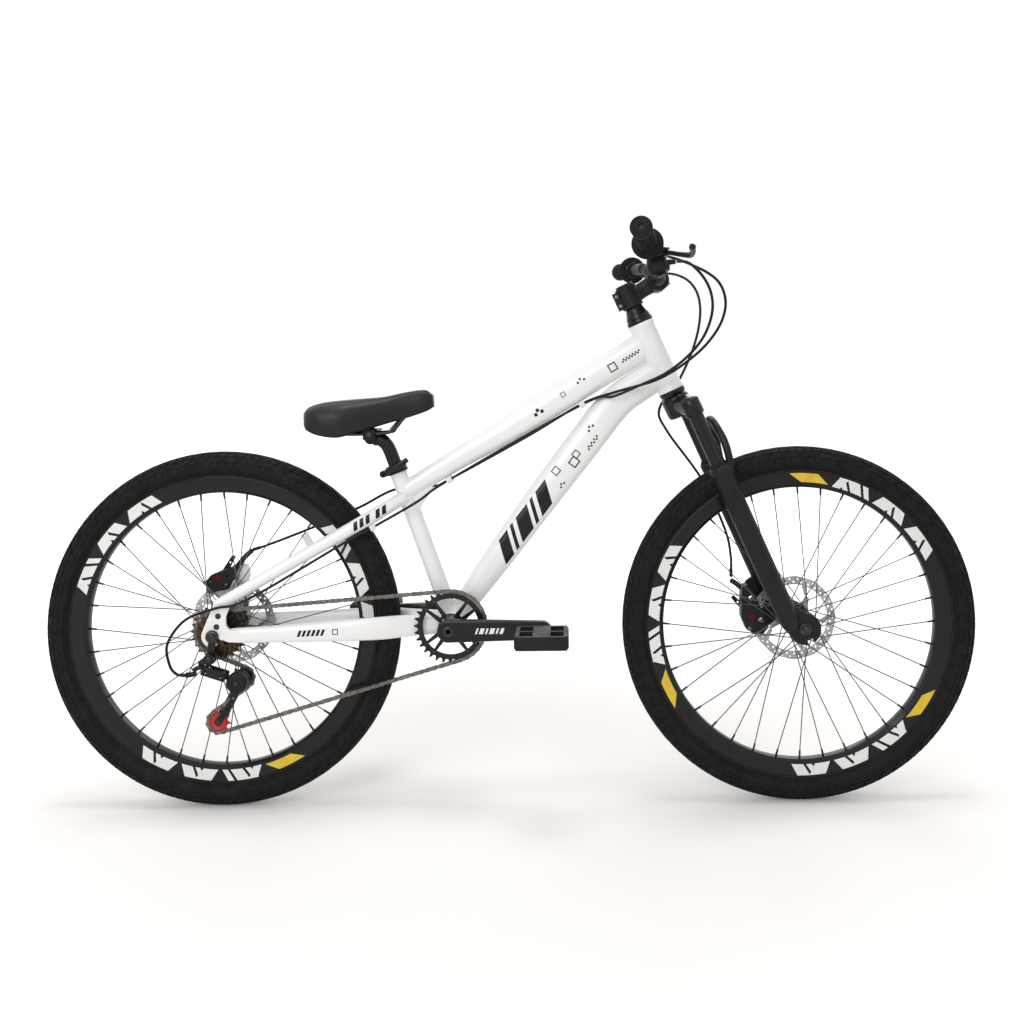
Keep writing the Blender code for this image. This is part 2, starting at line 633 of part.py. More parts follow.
def stem(parent):
    clamp_place = Matrix.Translation(Vector((LOCAL_BAR_CENTRE.x, 0, LOCAL_BAR_CENTRE.z)))
    steerer_clamp = turned([(0, STEM_LOW), (0.0202, STEM_LOW), (0.0202, STEM_HIGH), (0, STEM_HIGH)],
                           Matrix.Identity(4), 12)
    neck = swept([((0.0050, 0, 0.1920), 0.0330, 0.0330), ((0.0300, 0, 0.1950), 0.0280, 0.0300),
                  ((0.0560, 0, 0.1985), 0.0420, 0.0340)], 8, 3.5)
    lug = box((-0.0220, 0, 0.1925), (0.0110, 0.0200, 0.0340))
    bar_clamp = turned([(0, -0.0260), (0.0205, -0.0260), (0.0205, 0.0260), (0, 0.0260)],
                       clamp_place @ along_y(), 12)
    body = fused(steerer_clamp, neck, lug, bar_clamp)
    front = LOCAL_BAR_CENTRE.x + 0.0006
    bar_hole = bore(BAR_CLAMP_RADIUS, 10)
    body = cut(body, rod((0, 0, 0.15), (0, 0, 0.24), bore(STEERER_RADIUS, 12), 12),
               rod((LOCAL_BAR_CENTRE.x, -0.04, LOCAL_BAR_CENTRE.z),
                   (LOCAL_BAR_CENTRE.x, 0.04, LOCAL_BAR_CENTRE.z), bar_hole, 10),
               box((front + 0.03, 0, LOCAL_BAR_CENTRE.z), (0.06, 0.08, 0.08)),
               box((-0.0250, 0, 0.1925), (0.0240, 0.0016, 0.0600)))
    finished("stem", moved(body, STEERING), "satin_black", BAR_CENTRE, parent)
    plate = turned([(0, -0.0260), (0.0205, -0.0260), (0.0205, 0.0260), (0, 0.0260)],
                   clamp_place @ along_y(), 12)
    back = LOCAL_BAR_CENTRE.x + 0.0014
    plate = cut(plate, rod((LOCAL_BAR_CENTRE.x, -0.04, LOCAL_BAR_CENTRE.z),
                           (LOCAL_BAR_CENTRE.x, 0.04, LOCAL_BAR_CENTRE.z), bar_hole, 10),
                box((back - 0.03, 0, LOCAL_BAR_CENTRE.z), (0.06, 0.08, 0.08)))
    finished("stem_faceplate", moved(plate, STEERING), "satin_black", BAR_CENTRE, parent)
    cap = turned([(0, STEM_HIGH + GAP), (0.0172, STEM_HIGH + GAP), (0.0172, STEM_HIGH + 0.0035),
                  (0.0160, STEM_HIGH + 0.0048), (0, STEM_HIGH + 0.0048)], Matrix.Identity(4), 12)
    finished("stem_top_cap", moved(cap, STEERING), "gloss_black", BAR_CENTRE, parent)


def handlebar(parent):
    half = [Vector(point) for point in BAR_POINTS]
    route = [on_side(point, -1) for point in reversed(half[1:])] + half
    stations = []
    for point in route:
        radius = BAR_CLAMP_RADIUS if abs(point.y) < 0.050 else BAR_RADIUS
        stations.append((point, 2 * radius, 2 * radius))
    bar = swept(stations, 8, 2.0, X_AXIS)
    return finished("handlebar", bar, "satin_black", BAR_CENTRE, parent)


def grip(side, parent):
    """A rubber grip with a wide inner flange and an open end."""
    inner = on_side(GRIP_INNER, side)
    place = pointing(inner, on_side(GRIP_OUTER, side) - inner)
    hole = bore(BAR_RADIUS, 10)
    profile = [(hole, 0), (0.0270, 0), (0.0275, 0.0030), (0.0168, 0.0048),
               (0.0160, 0.0900), (0.0184, GRIP_LENGTH - 0.008),
               (0.0180, GRIP_LENGTH), (0.0050, GRIP_LENGTH), (0.0050, GRIP_LENGTH - 0.0025),
               (hole, GRIP_LENGTH - 0.0025)]
    name = "grip_right" if side < 0 else "grip_left"
    return finished(name, turned(profile, place, 10), "soft_rubber", inner, parent)


def bar_point(distance, side):
    """The point of the handlebar at a distance inboard of the grip, and the way outboard."""
    outboard = (on_side(GRIP_OUTER, side) - on_side(GRIP_INNER, side)).normalized()
    return on_side(GRIP_INNER, side) - outboard * distance, outboard


LEVER_REACH = Vector((0.935, 0, -0.355)).normalized()
LEVER_PIVOT = (-0.0060, 0.0325)


def lever_frame(side):
    """Axes of one brake lever: outboard along the bar, forward, and the pivot's own axis."""
    centre, outboard = bar_point(0.0160, side)
    forward = (LEVER_REACH - outboard * LEVER_REACH.dot(outboard)).normalized()
    return centre, outboard, forward, outboard.cross(forward)


def brake_lever(side, parent):
    """A cast bracket clamped to the bar and the blade that turns on it."""
    word = "right" if side < 0 else "left"
    centre, out, ahead, up = lever_frame(side)

    def at(outward, forward, upward=0.0):
        return centre + out * outward + ahead * forward + up * upward

    clamp = turned([(bore(BAR_RADIUS, 10), -0.0060), (0.0162, -0.0060), (0.0162, 0.0060),
                    (bore(BAR_RADIUS, 10), 0.0060)], pointing(centre, out), 10)
    perch = swept([(at(0, 0.0140), 0.0110, 0.0160), (at(-0.0040, 0.0240), 0.0150, 0.0150),
                   (at(-0.0070, 0.0330), 0.0190, 0.0145)], 8, 3.0, out)
    barrel = rod(at(-0.0120, 0.0300), at(-0.0340, 0.0300), 0.0048, 6, 0.0042)
    bracket = cut(fused(clamp, perch, barrel),
                  prism([(-0.0130, 0.0255), (0.0200, 0.0255), (0.0200, 0.0500), (-0.0130, 0.0500)],
                        -0.0045, 0.0045, lever_matrix(centre, out, ahead, up)))
    finished(f"brake_lever_bracket_{word}", bracket, "satin_black", centre, parent)
    pivot_place = empty(f"brake_lever_axis_{word}", Matrix.Translation(at(*LEVER_PIVOT)))
    pivot_place.parent = parent
    pivot_place.matrix_parent_inverse = parent.matrix_world.inverted()
    bpy.context.view_layer.update()
    blade = swept([(at(-0.0080, 0.0320), 0.0085, 0.0075), (at(0.0040, 0.0420), 0.0115, 0.0075),
                   (at(0.0180, 0.0590), 0.0105, 0.0080), (at(0.0420, 0.0770), 0.0100, 0.0100),
                   (at(0.0800, 0.0840), 0.0090, 0.0105), (at(0.1120, 0.0835), 0.0085, 0.0095),
                   (at(0.1200, 0.0850), 0.0110, 0.0100), (at(0.1250, 0.0860), 0.0060, 0.0060)],
                  8, 2.4, ahead)
    return finished(f"brake_lever_blade_{word}", blade, "satin_black", at(*LEVER_PIVOT), pivot_place)


def lever_matrix(centre, out, ahead, up):
    """A place whose X is outboard, Y ahead and Z the lever's pivot axis."""
    matrix = Matrix((out, ahead, up)).transposed().to_4x4()
    return Matrix.Translation(centre) @ matrix


def shifter(parent):
    """The trigger shifter: a housing hung under the bar on its own clamp, and its thumb lever."""
    centre, out = bar_point(0.0420, -1)
    down = Vector((0.42, 0, -0.91)).normalized()
    down = (down - out * down.dot(out)).normalized()
    ahead = out.cross(down)
    clamp = turned([(bore(BAR_RADIUS, 10), -0.0055), (0.0160, -0.0055), (0.0160, 0.0055),
                    (bore(BAR_RADIUS, 10), 0.0055)], pointing(centre, out), 10)
    pod = swept([(centre + down * 0.0140, 0.0160, 0.0240), (centre + down * 0.0200, 0.0340, 0.0300),
                 (centre + down * 0.0300, 0.0370, 0.0380), (centre + down * 0.0420, 0.0350, 0.0380),
                 (centre + down * 0.0480, 0.0290, 0.0320)], 10, 2.8, out)
    outlet = rod(centre + down * 0.0340 + ahead * 0.0140, centre + down * 0.0400 + ahead * 0.0310,
                 0.0050, 6, 0.0044)
    finished("shifter_body", fused(clamp, pod, outlet), "black_plastic", centre, parent)
    pivot = centre + down * 0.0485
    thumb = swept([(pivot + down * 0.0010, 0.0180, 0.0180), (pivot + down * 0.0045, 0.0180, 0.0180)],
                  10, 2.0, out)
    paddle = swept([(pivot + down * 0.0028 + out * 0.002, 0.0100, 0.0035),
                    (pivot + down * 0.0040 + out * 0.0150 - ahead * 0.0100, 0.0110, 0.0035),
                    (pivot + down * 0.0070 + out * 0.0300 - ahead * 0.0200, 0.0130, 0.0040)],
                   8, 2.6, ahead)
    finished("shifter_thumb_lever", fused(thumb, paddle), "black_plastic", pivot, parent)


def cockpit(steering):
    stem(steering)
    handlebar(steering)
    for side in (-1, 1):
        grip(side, steering)
        brake_lever(side, steering)
    shifter(steering)


# Chain line: four wheels that one chain runs around


RING_PITCH_RADIUS = CHAIN_PITCH / (2 * sin(pi / CHAINRING_TEETH))
COG_PITCH_RADIUS = CHAIN_PITCH / (2 * sin(pi / COG_TEETH[COG_IN_USE]))
PULLEY_TEETH = 10
PULLEY_PITCH_RADIUS = CHAIN_PITCH / (2 * sin(pi / PULLEY_TEETH))
CAGE_PIVOT = Vector((-0.4950, 0, 0.2490))
TENSION_CENTRE = Vector((-0.5390, 0, 0.1686))
CHAIN_WHEELS = [
    (BOTTOM_BRACKET, RING_PITCH_RADIUS, 1), (REAR_AXLE, COG_PITCH_RADIUS, 1),
    (CAGE_PIVOT, PULLEY_PITCH_RADIUS, -1), (TENSION_CENTRE, PULLEY_PITCH_RADIUS, 1)]


def chain_segments():
    """Straight runs and wraps of the chain's pitch line, in order, seen from the right."""
    runs = []
    for i, (start, start_radius, start_turn) in enumerate(CHAIN_WHEELS):
        end, end_radius, end_turn = CHAIN_WHEELS[(i + 1) % len(CHAIN_WHEELS)]
        dx, dz = end.x - start.x, end.z - start.z
        lean = (end_radius * end_turn - start_radius * start_turn) / hypot(dx, dz)
        heading = atan2(dz, dx) - (pi / 2 - acos(lean))
        left = (-sin(heading), cos(heading))
        runs.append(((start.x - left[0] * start_radius * start_turn,
                      start.z - left[1] * start_radius * start_turn),
                     (end.x - left[0] * end_radius * end_turn,
                      end.z - left[1] * end_radius * end_turn)))
    segments = []
    for i, (leave, arrive) in enumerate(runs):
        segments.append(("run", leave, arrive, hypot(arrive[0] - leave[0], arrive[1] - leave[1])))
        centre, radius, turn = CHAIN_WHEELS[(i + 1) % len(CHAIN_WHEELS)]
        next_leave = runs[(i + 1) % len(runs)][0]
        first = atan2(arrive[1] - centre.z, arrive[0] - centre.x)
        last = atan2(next_leave[1] - centre.z, next_leave[0] - centre.x)
        sweep = (last - first) * turn % (2 * pi) * turn
        segments.append(("wrap", (centre.x, centre.z, radius, first), sweep, radius * abs(sweep)))
    return segments


CHAIN_SEGMENTS = chain_segments()
CHAIN_LENGTH = sum(segment[3] for segment in CHAIN_SEGMENTS)
CHAIN_LINKS = 2 * round(CHAIN_LENGTH / CHAIN_PITCH / 2)


def chain_point(distance):
    """Place and heading of the pitch line at a distance along it, and whether it is wrapped."""
    distance %= CHAIN_LENGTH
    for kind, start, end, length in CHAIN_SEGMENTS:
        if distance <= length:
            break
        distance -= length
    share = distance / length
    if kind == "run":
        x = start[0] + (end[0] - start[0]) * share
        z = start[1] + (end[1] - start[1]) * share
        return Vector((x, 0, z)), atan2(end[1] - start[1], end[0] - start[0]), False
    x, z, radius, first = start
    angle = first + end * share
    heading = angle + (pi / 2 if end > 0 else -pi / 2)
    return Vector((x + radius * cos(angle), 0, z + radius * sin(angle))), heading, True


def tooth_phase(centre, radius):
    """Angle of a gap between teeth, so that the chain's rollers lie in the gaps at rest."""
    spacing = CHAIN_LENGTH / CHAIN_LINKS
    best = None
    for i in range(CHAIN_LINKS):
        point, _, wrapped = chain_point(i * spacing)
        offset = point - centre
        if wrapped and abs(hypot(offset.x, offset.z) - radius) < 1e-6:
            best = atan2(offset.z, offset.x) if best is None else best
    return best


ROLLER_HALF = 0.0027
PLATE_HALF_HEIGHT = 0.0033
PLATE_INNER = 0.0017
PLATE_OUTER = 0.0033


def chain():
    """The chain as one closed band: two rows of plates, joined by rollers."""
    spacing = CHAIN_LENGTH / CHAIN_LINKS
    stations = []
    for i in range(0, CHAIN_LINKS, 2):
        wrapped = chain_point((i - 1) * spacing)[2] or chain_point((i + 1) * spacing)[2]
        if i % 4 and not wrapped:
            continue
        stations.append((i * spacing - ROLLER_HALF, "roller"))
        stations.append((i * spacing + ROLLER_HALF, "window"))
    verts = []
    for distance, _ in stations:
        point, heading, _ = chain_point(distance)
        outward = Vector((-sin(heading), 0, cos(heading)))
        for y in (-PLATE_OUTER, -PLATE_INNER, PLATE_INNER, PLATE_OUTER):
            for reach in (-PLATE_HALF_HEIGHT, PLATE_HALF_HEIGHT):
                verts.append(point + outward * reach + Y_AXIS * (CHAIN_PLANE + y))
    faces = []
    count = len(stations)
    for i, (_, kind) in enumerate(stations):
        a = i * 8
        b = (i + 1) % count * 8
        faces += [(a, a + 1, b + 1, b), (a + 6, b + 6, b + 7, a + 7)]
        faces += [(a + k, b + k, b + k + 2, a + k + 2) for k in (0, 1, 4, 5)]
        if kind == "roller":
            faces += [(a + k, b + k, b + k + 2, a + k + 2) for k in (2, 3)]
            faces += [(a + 2, a + 3, a + 5, a + 4), (b + 2, b + 4, b + 5, b + 3)]
        else:
            faces += [(a + 2, b + 2, b + 3, a + 3), (a + 4, a + 5, b + 5, b + 4)]
    band = solid(verts, faces)
    return finished("chain", band, "chain_steel")


def toothed_outline(centre_phase, teeth, root, tip, shares):
    """A ring of teeth; shares are (part of a pitch, 0 at the root or 1 at the tip)."""
    outline = []
    for i in range(teeth):
        for share, height in shares:
            angle = centre_phase + 2 * pi * (i + share) / teeth
            radius = root + (tip - root) * height
            outline.append((radius * cos(angle), radius * sin(angle)))
    return outline


RING_HUB_RADIUS = 0.0235


def chainring(parent):
    """The toothed ring with eight thin spokes in four pairs."""
    phase = tooth_phase(BOTTOM_BRACKET, RING_PITCH_RADIUS)
    outline = toothed_outline(phase, CHAINRING_TEETH, RING_PITCH_RADIUS - 0.0042,
                              RING_PITCH_RADIUS + 0.0037, ((0.26, 0), (0.50, 1), (0.74, 0)))
    disc = prism(outline, -0.0011, 0.0011, side_plane())
    windows = []
    for i in range(4):
        wide = arc((0, 0), 0.0515, 90 * i - 31, 90 * i + 31, 4)
        wide += arc((0, 0), RING_HUB_RADIUS, 90 * i + 20, 90 * i - 20, 2)
        slim = arc((0, 0), 0.0515, 90 * i + 37, 90 * i + 53, 1)
        slim += arc((0, 0), RING_HUB_RADIUS + 0.002, 90 * i + 50, 90 * i + 40, 1)
        windows.append(prism(wide, -0.005, 0.005, side_plane()))
        windows.append(prism(slim, -0.005, 0.005, side_plane()))
    disc = cut(disc, *windows, rod((0, -0.005, 0), (0, 0.005, 0), 0.0136, 12))
    moved(disc, Matrix.Translation(BOTTOM_BRACKET + Y_AXIS * CHAIN_PLANE))
    finished("chainring", disc, "gloss_black", BOTTOM_BRACKET, parent)


def crank_outline(direction, shrink):
    """A long outline with round ends, from the spindle to the pedal."""
    big, small = 0.0205 - shrink, 0.0165 - shrink
    points = arc((0, 0), big, 95, 265, 4)
    points += arc((CRANK_LENGTH, 0), small, -85, 85, 4)
    return [(x * direction, z) for x, z in points]


def crank(side, parent):
    """A forged crank arm; the right one carries the boss that the chainring sits on."""
    direction = 1 if side < 0 else -1
    faces = [(0.0725, 0.0022), (0.0742, 0), (0.0862, 0), (0.0880, 0.0022)]
    rings = []
    for reach, shrink in faces:
        rings.append([Vector((x, side * reach, z)) for x, z in crank_outline(direction, shrink)])
    arm = loft(rings)
    boss_start = 0.0461 if side < 0 else 0.0560
    boss_radius = 0.0225 if side < 0 else 0.0175
    arm = fused(arm, rod((0, side * boss_start, 0), (0, side * 0.0750, 0), boss_radius, 14, 0.0195))
    if side < 0:
        arm = fused(arm, rod((0, -0.0425, 0), (0, -0.0500, 0), 0.0128, 12))
    pedal_x = CRANK_LENGTH * direction
    arm = cut(arm, box((0, side * 0.065, 0), (0.0131, 0.070, 0.0131)),
              rod((pedal_x, side * 0.060, 0), (pedal_x, side * 0.100, 0), bore(0.0070, 8), 8))
    moved(arm, Matrix.Translation(BOTTOM_BRACKET))
    word = "right" if side < 0 else "left"
    finished(f"crank_arm_{word}", arm, "gloss_black", BOTTOM_BRACKET, parent)


def crank_set(parent):
    spindle = fused(rod((0, -0.0415, 0), (0, 0.0415, 0), 0.0086, 8),
                    box((0, 0, 0), (0.0125, 0.1790, 0.0125)),
                    rod((0, -0.0884, 0), (0, -0.0912, 0), 0.0098, 8, 0.0088),
                    rod((0, 0.0884, 0), (0, 0.0912, 0), 0.0098, 8, 0.0088))
    moved(spindle, Matrix.Translation(BOTTOM_BRACKET))
    finished("crank_spindle", spindle, "dark_steel", BOTTOM_BRACKET, parent)
    chainring(parent)
    for side in (-1, 1):
        crank(side, parent)


def bottom_bracket():
    hole = bore(0.0092, 12)
    cartridge = turned([(hole, -0.0363), (0.0195, -0.0363), (0.0195, -0.0343), (CARTRIDGE_RADIUS, -0.0343),
                        (CARTRIDGE_RADIUS, 0.0343), (0.0190, 0.0343), (0.0190, 0.0363), (hole, 0.0363)],
                       along_y(BOTTOM_BRACKET), 12)
    finished("bottom_bracket_cartridge", cartridge, "dark_steel", BOTTOM_BRACKET)


PEDAL_INNER = 0.0980
PEDAL_OUTER = 0.1880
PEDAL_HALF_LENGTH = 0.0480
PEDAL_HALF_THICKNESS = 0.0130


def pedal(side, crank_axis):
    """A platform pedal: the body turns on an axle screwed into the crank arm."""
    direction = 1 if side < 0 else -1
    word = "right" if side < 0 else "left"
    centre = BOTTOM_BRACKET + Vector((CRANK_LENGTH * direction, 0, 0))
    spin = empty(f"pedal_axis_{word}", Matrix.Translation(centre))
    spin.parent = crank_axis
    spin.matrix_parent_inverse = crank_axis.matrix_world.inverted()
    bpy.context.view_layer.update()
    place = Matrix.Translation(centre) @ Matrix.Rotation(-side * pi / 2, 4, "X")
    body_place = Matrix.Translation(centre)
    inner, outer = PEDAL_INNER, PEDAL_OUTER
    long, corner = PEDAL_HALF_LENGTH, 0.010
    outline = [(-long + corner, inner), (long - corner, inner), (long, inner + corner),
               (long, outer - corner), (long - corner, outer), (-long + corner, outer),
               (-long, outer - corner), (-long, inner + corner)]
    rings = []
    for height, shrink in ((-PEDAL_HALF_THICKNESS, 0.93), (-0.0090, 1.0), (0.0090, 1.0),
                           (PEDAL_HALF_THICKNESS, 0.93)):
        rings.append([Vector((x * shrink, side * y, height)) for x, y in outline])
    body = loft(rings)
    windows = []
    for x in (-0.0270, 0.0270):
        for y in (inner + 0.0250, outer - 0.0250):
            windows.append(box((x, side * y, 0), (0.0230, 0.0340, 0.050)))
    body = cut(body, *windows, rod((0, side * 0.09, 0), (0, side * 0.183, 0), bore(0.0060, 8), 8))
    finished(f"pedal_body_{word}", moved(body, body_place), "black_plastic", centre, spin)
    stub = turned([(0, 0.0740), (0.0070, 0.0740), (0.0070, 0.0883), (0.0092, 0.0883),
                   (0.0092, 0.0975), (0.0060, 0.0975), (0.0060, 0.1815), (0, 0.1815)], place, 8)
    finished(f"pedal_axle_{word}", stub, "dark_steel", centre, crank_axis)


def freewheel(parent):
    """Seven sprockets on one threaded body."""
    cogs = []
    for i, teeth in enumerate(COG_TEETH):
        plane = CHAIN_PLANE + (i - COG_IN_USE) * COG_SPACING
        radius = CHAIN_PITCH / (2 * sin(pi / teeth))
        phase = 0.37 * i
        if i == COG_IN_USE:
            phase = tooth_phase(REAR_AXLE, COG_PITCH_RADIUS)
        outline = toothed_outline(phase, teeth, radius - 0.0040, radius + 0.0034,
                                  ((0.26, 0), (0.50, 1), (0.74, 0)) if i == COG_IN_USE
                                  else ((0.10, 0), (0.60, 1)))
        cogs.append(prism(outline, -plane - 0.0010, -plane + 0.0010, side_plane()))
    core = rod((0, -0.0662, 0), (0, -0.0335, 0), 0.0198, 8)
    stack = fused(core, *cogs)
    stack = cut(stack, rod((0, -0.0560, 0), (0, -0.0300, 0), bore(0.0168, 8), 8),
                rod((0, -0.0700, 0), (0, -0.0400, 0), bore(0.0110, 8), 8))
    moved(stack, Matrix.Translation(REAR_AXLE))
    finished("freewheel", stack, "bronze_steel", REAR_AXLE, parent)


# Rear derailleur


LINK_START = Vector((-0.5530, 0, 0.2730))
LINK_END = Vector((-0.5165, 0, 0.2610))
LINK_RUN = (LINK_END - LINK_START).normalized()
LINK_LENGTH = (LINK_END - LINK_START).length
LINK_OUTER_Y = -0.0850
LINK_INNER_Y = -0.0680
HANGER_PIVOT = Vector((-0.5430, 0, 0.2930))
HANGER_INNER = 0.0743
HANGER_OUTER = 0.0773
CAGE_INNER_Y = -0.0398
CAGE_OUTER_Y = -0.0492
CAGE_THICKNESS = 0.0015


def link_place(corner, y):
    """A place at a link pivot: X along the link, Y across the bicycle, Z on the pivot axis."""
    matrix = Matrix((LINK_RUN, Y_AXIS, LINK_RUN.cross(Y_AXIS))).transposed().to_4x4()
    return Matrix.Translation(Vector((corner.x, y, corner.z))) @ matrix


def barrels(corner):
    """The two pivot barrels of one knuckle and the web between them."""
    rods = []
    for y in (LINK_OUTER_Y, LINK_INNER_Y):
        rods.append(prism(arc((0, 0), 0.0040, 0, 300, 5), -0.0048, 0.0048, link_place(corner, y)))
    middle = (LINK_OUTER_Y + LINK_INNER_Y) / 2
    web = prism([(-0.0025, -0.0085), (0.0025, -0.0085), (0.0025, 0.0085), (-0.0025, 0.0085)],
                -0.0044, 0.0044, link_place(corner, middle))
    return fused(web, *rods)


def barrel_bores(corner):
    return [prism(arc((0, 0), bore(0.0016, 6), 0, 300, 5), -0.02, 0.02, link_place(corner, y))
            for y in (LINK_OUTER_Y, LINK_INNER_Y)]


def link(name, y, half_width, finish, parent):
    """One parallelogram link: a bar forked round a barrel at each end, with its two pins."""
    place = link_place(LINK_START, y)
    outline = [(0.0000, -half_width), (LINK_LENGTH, -half_width), (LINK_LENGTH + 0.0036, 0),
               (LINK_LENGTH, half_width), (0.0000, half_width), (-0.0036, 0)]
    bar = prism(outline, -0.0078, 0.0078, place)
    notches = []
    for start, end in ((-0.0100, 0.0062), (LINK_LENGTH - 0.0062, LINK_LENGTH + 0.0100)):
        notches.append(prism([(start, -0.02), (end, -0.02), (end, 0.02), (start, 0.02)],
                             -0.0051, 0.0051, place))
    bar = cut(bar, *notches)
    pins = [prism(arc((x, 0), 0.0016, 0, 300, 5), -0.0070, 0.0070, place) for x in (0, LINK_LENGTH)]
    pivot = Vector((LINK_START.x, y, LINK_START.z))
    return finished(name, fused(bar, *pins), finish, pivot, parent)


def hanger():
    """The claw under the axle nut that the derailleur bolts to."""
    x, z = HANGER_PIVOT.x - REAR_AXLE.x, HANGER_PIVOT.z - REAR_AXLE.z
    outline = arc((0, 0), 0.0130, -20, 200, 6) + arc((x, z), 0.0110, 190, 350, 5)
    plate = prism(outline, HANGER_INNER, HANGER_OUTER, side_plane(REAR_AXLE))
    hole = rod(REAR_AXLE - Y_AXIS * 0.07, REAR_AXLE - Y_AXIS * 0.08, bore(AXLE_RADIUS, 8), 8)
    finished("derailleur_hanger", cut(plate, hole), "gloss_black", HANGER_PIVOT)


def derailleur_bracket():
    """The fixed knuckle: its bolt boss, the barrels of both links and the cable adjuster."""
    boss = rod(HANGER_PIVOT - Y_AXIS * 0.0776, HANGER_PIVOT - Y_AXIS * 0.0900, 0.0105, 10, 0.0090)
    arm = swept([(HANGER_PIVOT - Y_AXIS * 0.0840, 0.0080, 0.0150),
                 ((-0.5530, -0.0830, 0.2890), 0.0070, 0.0120),
                 ((-0.5600, -0.0770, 0.2840), 0.0070, 0.0100),
                 ((LINK_START.x - 0.0010, -0.0765, 0.2740), 0.0070, 0.0080)], 6, 2.6)
    heel = swept([((LINK_START.x, -0.0768, 0.2760), 0.0080, 0.0070),
                  ((-0.5640, -0.0790, 0.2770), 0.0080, 0.0080),
                  ((-0.5730, -0.0790, 0.2720), 0.0080, 0.0090)], 6, 2.6)
    adjuster = rod((-0.5680, -0.0790, 0.2660), (-0.5880, -0.0790, 0.2635), 0.0050, 6, 0.0042)
    bracket = fused(barrels(LINK_START), arm, boss, heel, adjuster)
    bracket = cut(bracket, *barrel_bores(LINK_START))
    finished("derailleur_bracket", bracket, "gloss_black", HANGER_PIVOT)


def cage_knuckle(parent):
    """The moving knuckle, with the round housing of the cage spring."""
    drum = turned([(0, 0.0545), (0.0165, 0.0545), (0.0190, 0.0570), (0.0190, 0.0800),
                   (0.0165, 0.0850), (0.0070, 0.0862), (0, 0.0862)],
                  Matrix.Translation(CAGE_PIVOT) @ Matrix.Rotation(pi / 2, 4, "X"), 12)
    arm = swept([((LINK_END.x, -0.0765, LINK_END.z), 0.0090, 0.0070),
                 ((LINK_END.x + 0.0100, -0.0765, LINK_END.z - 0.0050), 0.0140, 0.0120)], 6, 2.6)
    knuckle = fused(drum, barrels(LINK_END), arm)
    stub_hole = rod(CAGE_PIVOT - Y_AXIS * 0.0500, CAGE_PIVOT - Y_AXIS * 0.0710, bore(0.0058, 8), 8)
    knuckle = cut(knuckle, stub_hole, *barrel_bores(LINK_END))
    finished("derailleur_knuckle", knuckle, "black_plastic", CAGE_PIVOT, parent)


def cage_outline(run, aft, fore, end_radius):
    """A cage plate's outline: round at both pulleys, its waist reaching aft and fore of their line."""
    heading = degrees(atan2(run.z, run.x))
    waist = Vector((run.x, run.z))
    aside = Vector((-waist.y, waist.x)).normalized()
    outline = arc((0, 0), 0.0125, heading + 90, heading + 270, 4)
    outline += [tuple(waist * share - aside * aft) for share in (0.35, 0.70)]
    outline += arc((run.x, run.z), end_radius, heading - 80, heading + 80, 4)
    outline += [tuple(waist * share + aside * fore) for share in (0.70, 0.35)]
    return outline


def cage(parent):
    """Two plates joined by the pulley bolts, with the stub that turns in the knuckle."""
    run = TENSION_CENTRE - CAGE_PIVOT
    fore = Y_AXIS.cross(run).normalized()
    plates = []
    for y, outline in ((CAGE_INNER_Y, cage_outline(run, 0.0085, 0.0090, 0.0120)),
                       (CAGE_OUTER_Y, cage_outline(run, 0.0015, 0.0085, 0.0065))):
        plate = prism(outline, -y - CAGE_THICKNESS / 2, -y + CAGE_THICKNESS / 2, side_plane(CAGE_PIVOT))
        plates.append(plate)
    slots = []
    for share, size in ((0.44, 0.0028), (0.58, 0.0024)):
        spot = CAGE_PIVOT + run * share - fore * 0.0036
        slots.append(rod(spot - Y_AXIS * 0.03, spot - Y_AXIS * 0.06, size, 6))
    bolts = []
    for spot in (CAGE_PIVOT, TENSION_CENTRE):
        bolts.append(rod(spot + Y_AXIS * (CAGE_INNER_Y + 0.0020), spot + Y_AXIS * (CAGE_OUTER_Y - 0.0020),
                         0.0024, 6))
    stub = rod(CAGE_PIVOT + Y_AXIS * CAGE_OUTER_Y, CAGE_PIVOT - Y_AXIS * 0.0690, 0.0058, 8)
    body = cut(fused(plates[0], plates[1], *bolts, stub), *slots)
    finished("derailleur_cage", body, "gloss_black", CAGE_PIVOT, parent)


def pulley(name, centre, finish, parent):
    phase = tooth_phase(centre, PULLEY_PITCH_RADIUS)
    outline = toothed_outline(phase, PULLEY_TEETH, PULLEY_PITCH_RADIUS - 0.0040,
                              PULLEY_PITCH_RADIUS + 0.0020, ((0.30, 0), (0.50, 1), (0.70, 0)))
    teeth = prism(outline, -0.0010, 0.0010, side_plane())
    wheel = fused(rod((0, -0.0036, 0), (0, 0.0036, 0), 0.0140, 8), teeth)
    wheel = cut(wheel, rod((0, -0.01, 0), (0, 0.01, 0), bore(0.0024, 6), 6))
    moved(wheel, Matrix.Translation(centre + Y_AXIS * CHAIN_PLANE))
    finished(name, wheel, finish, centre + Y_AXIS * CHAIN_PLANE, parent)


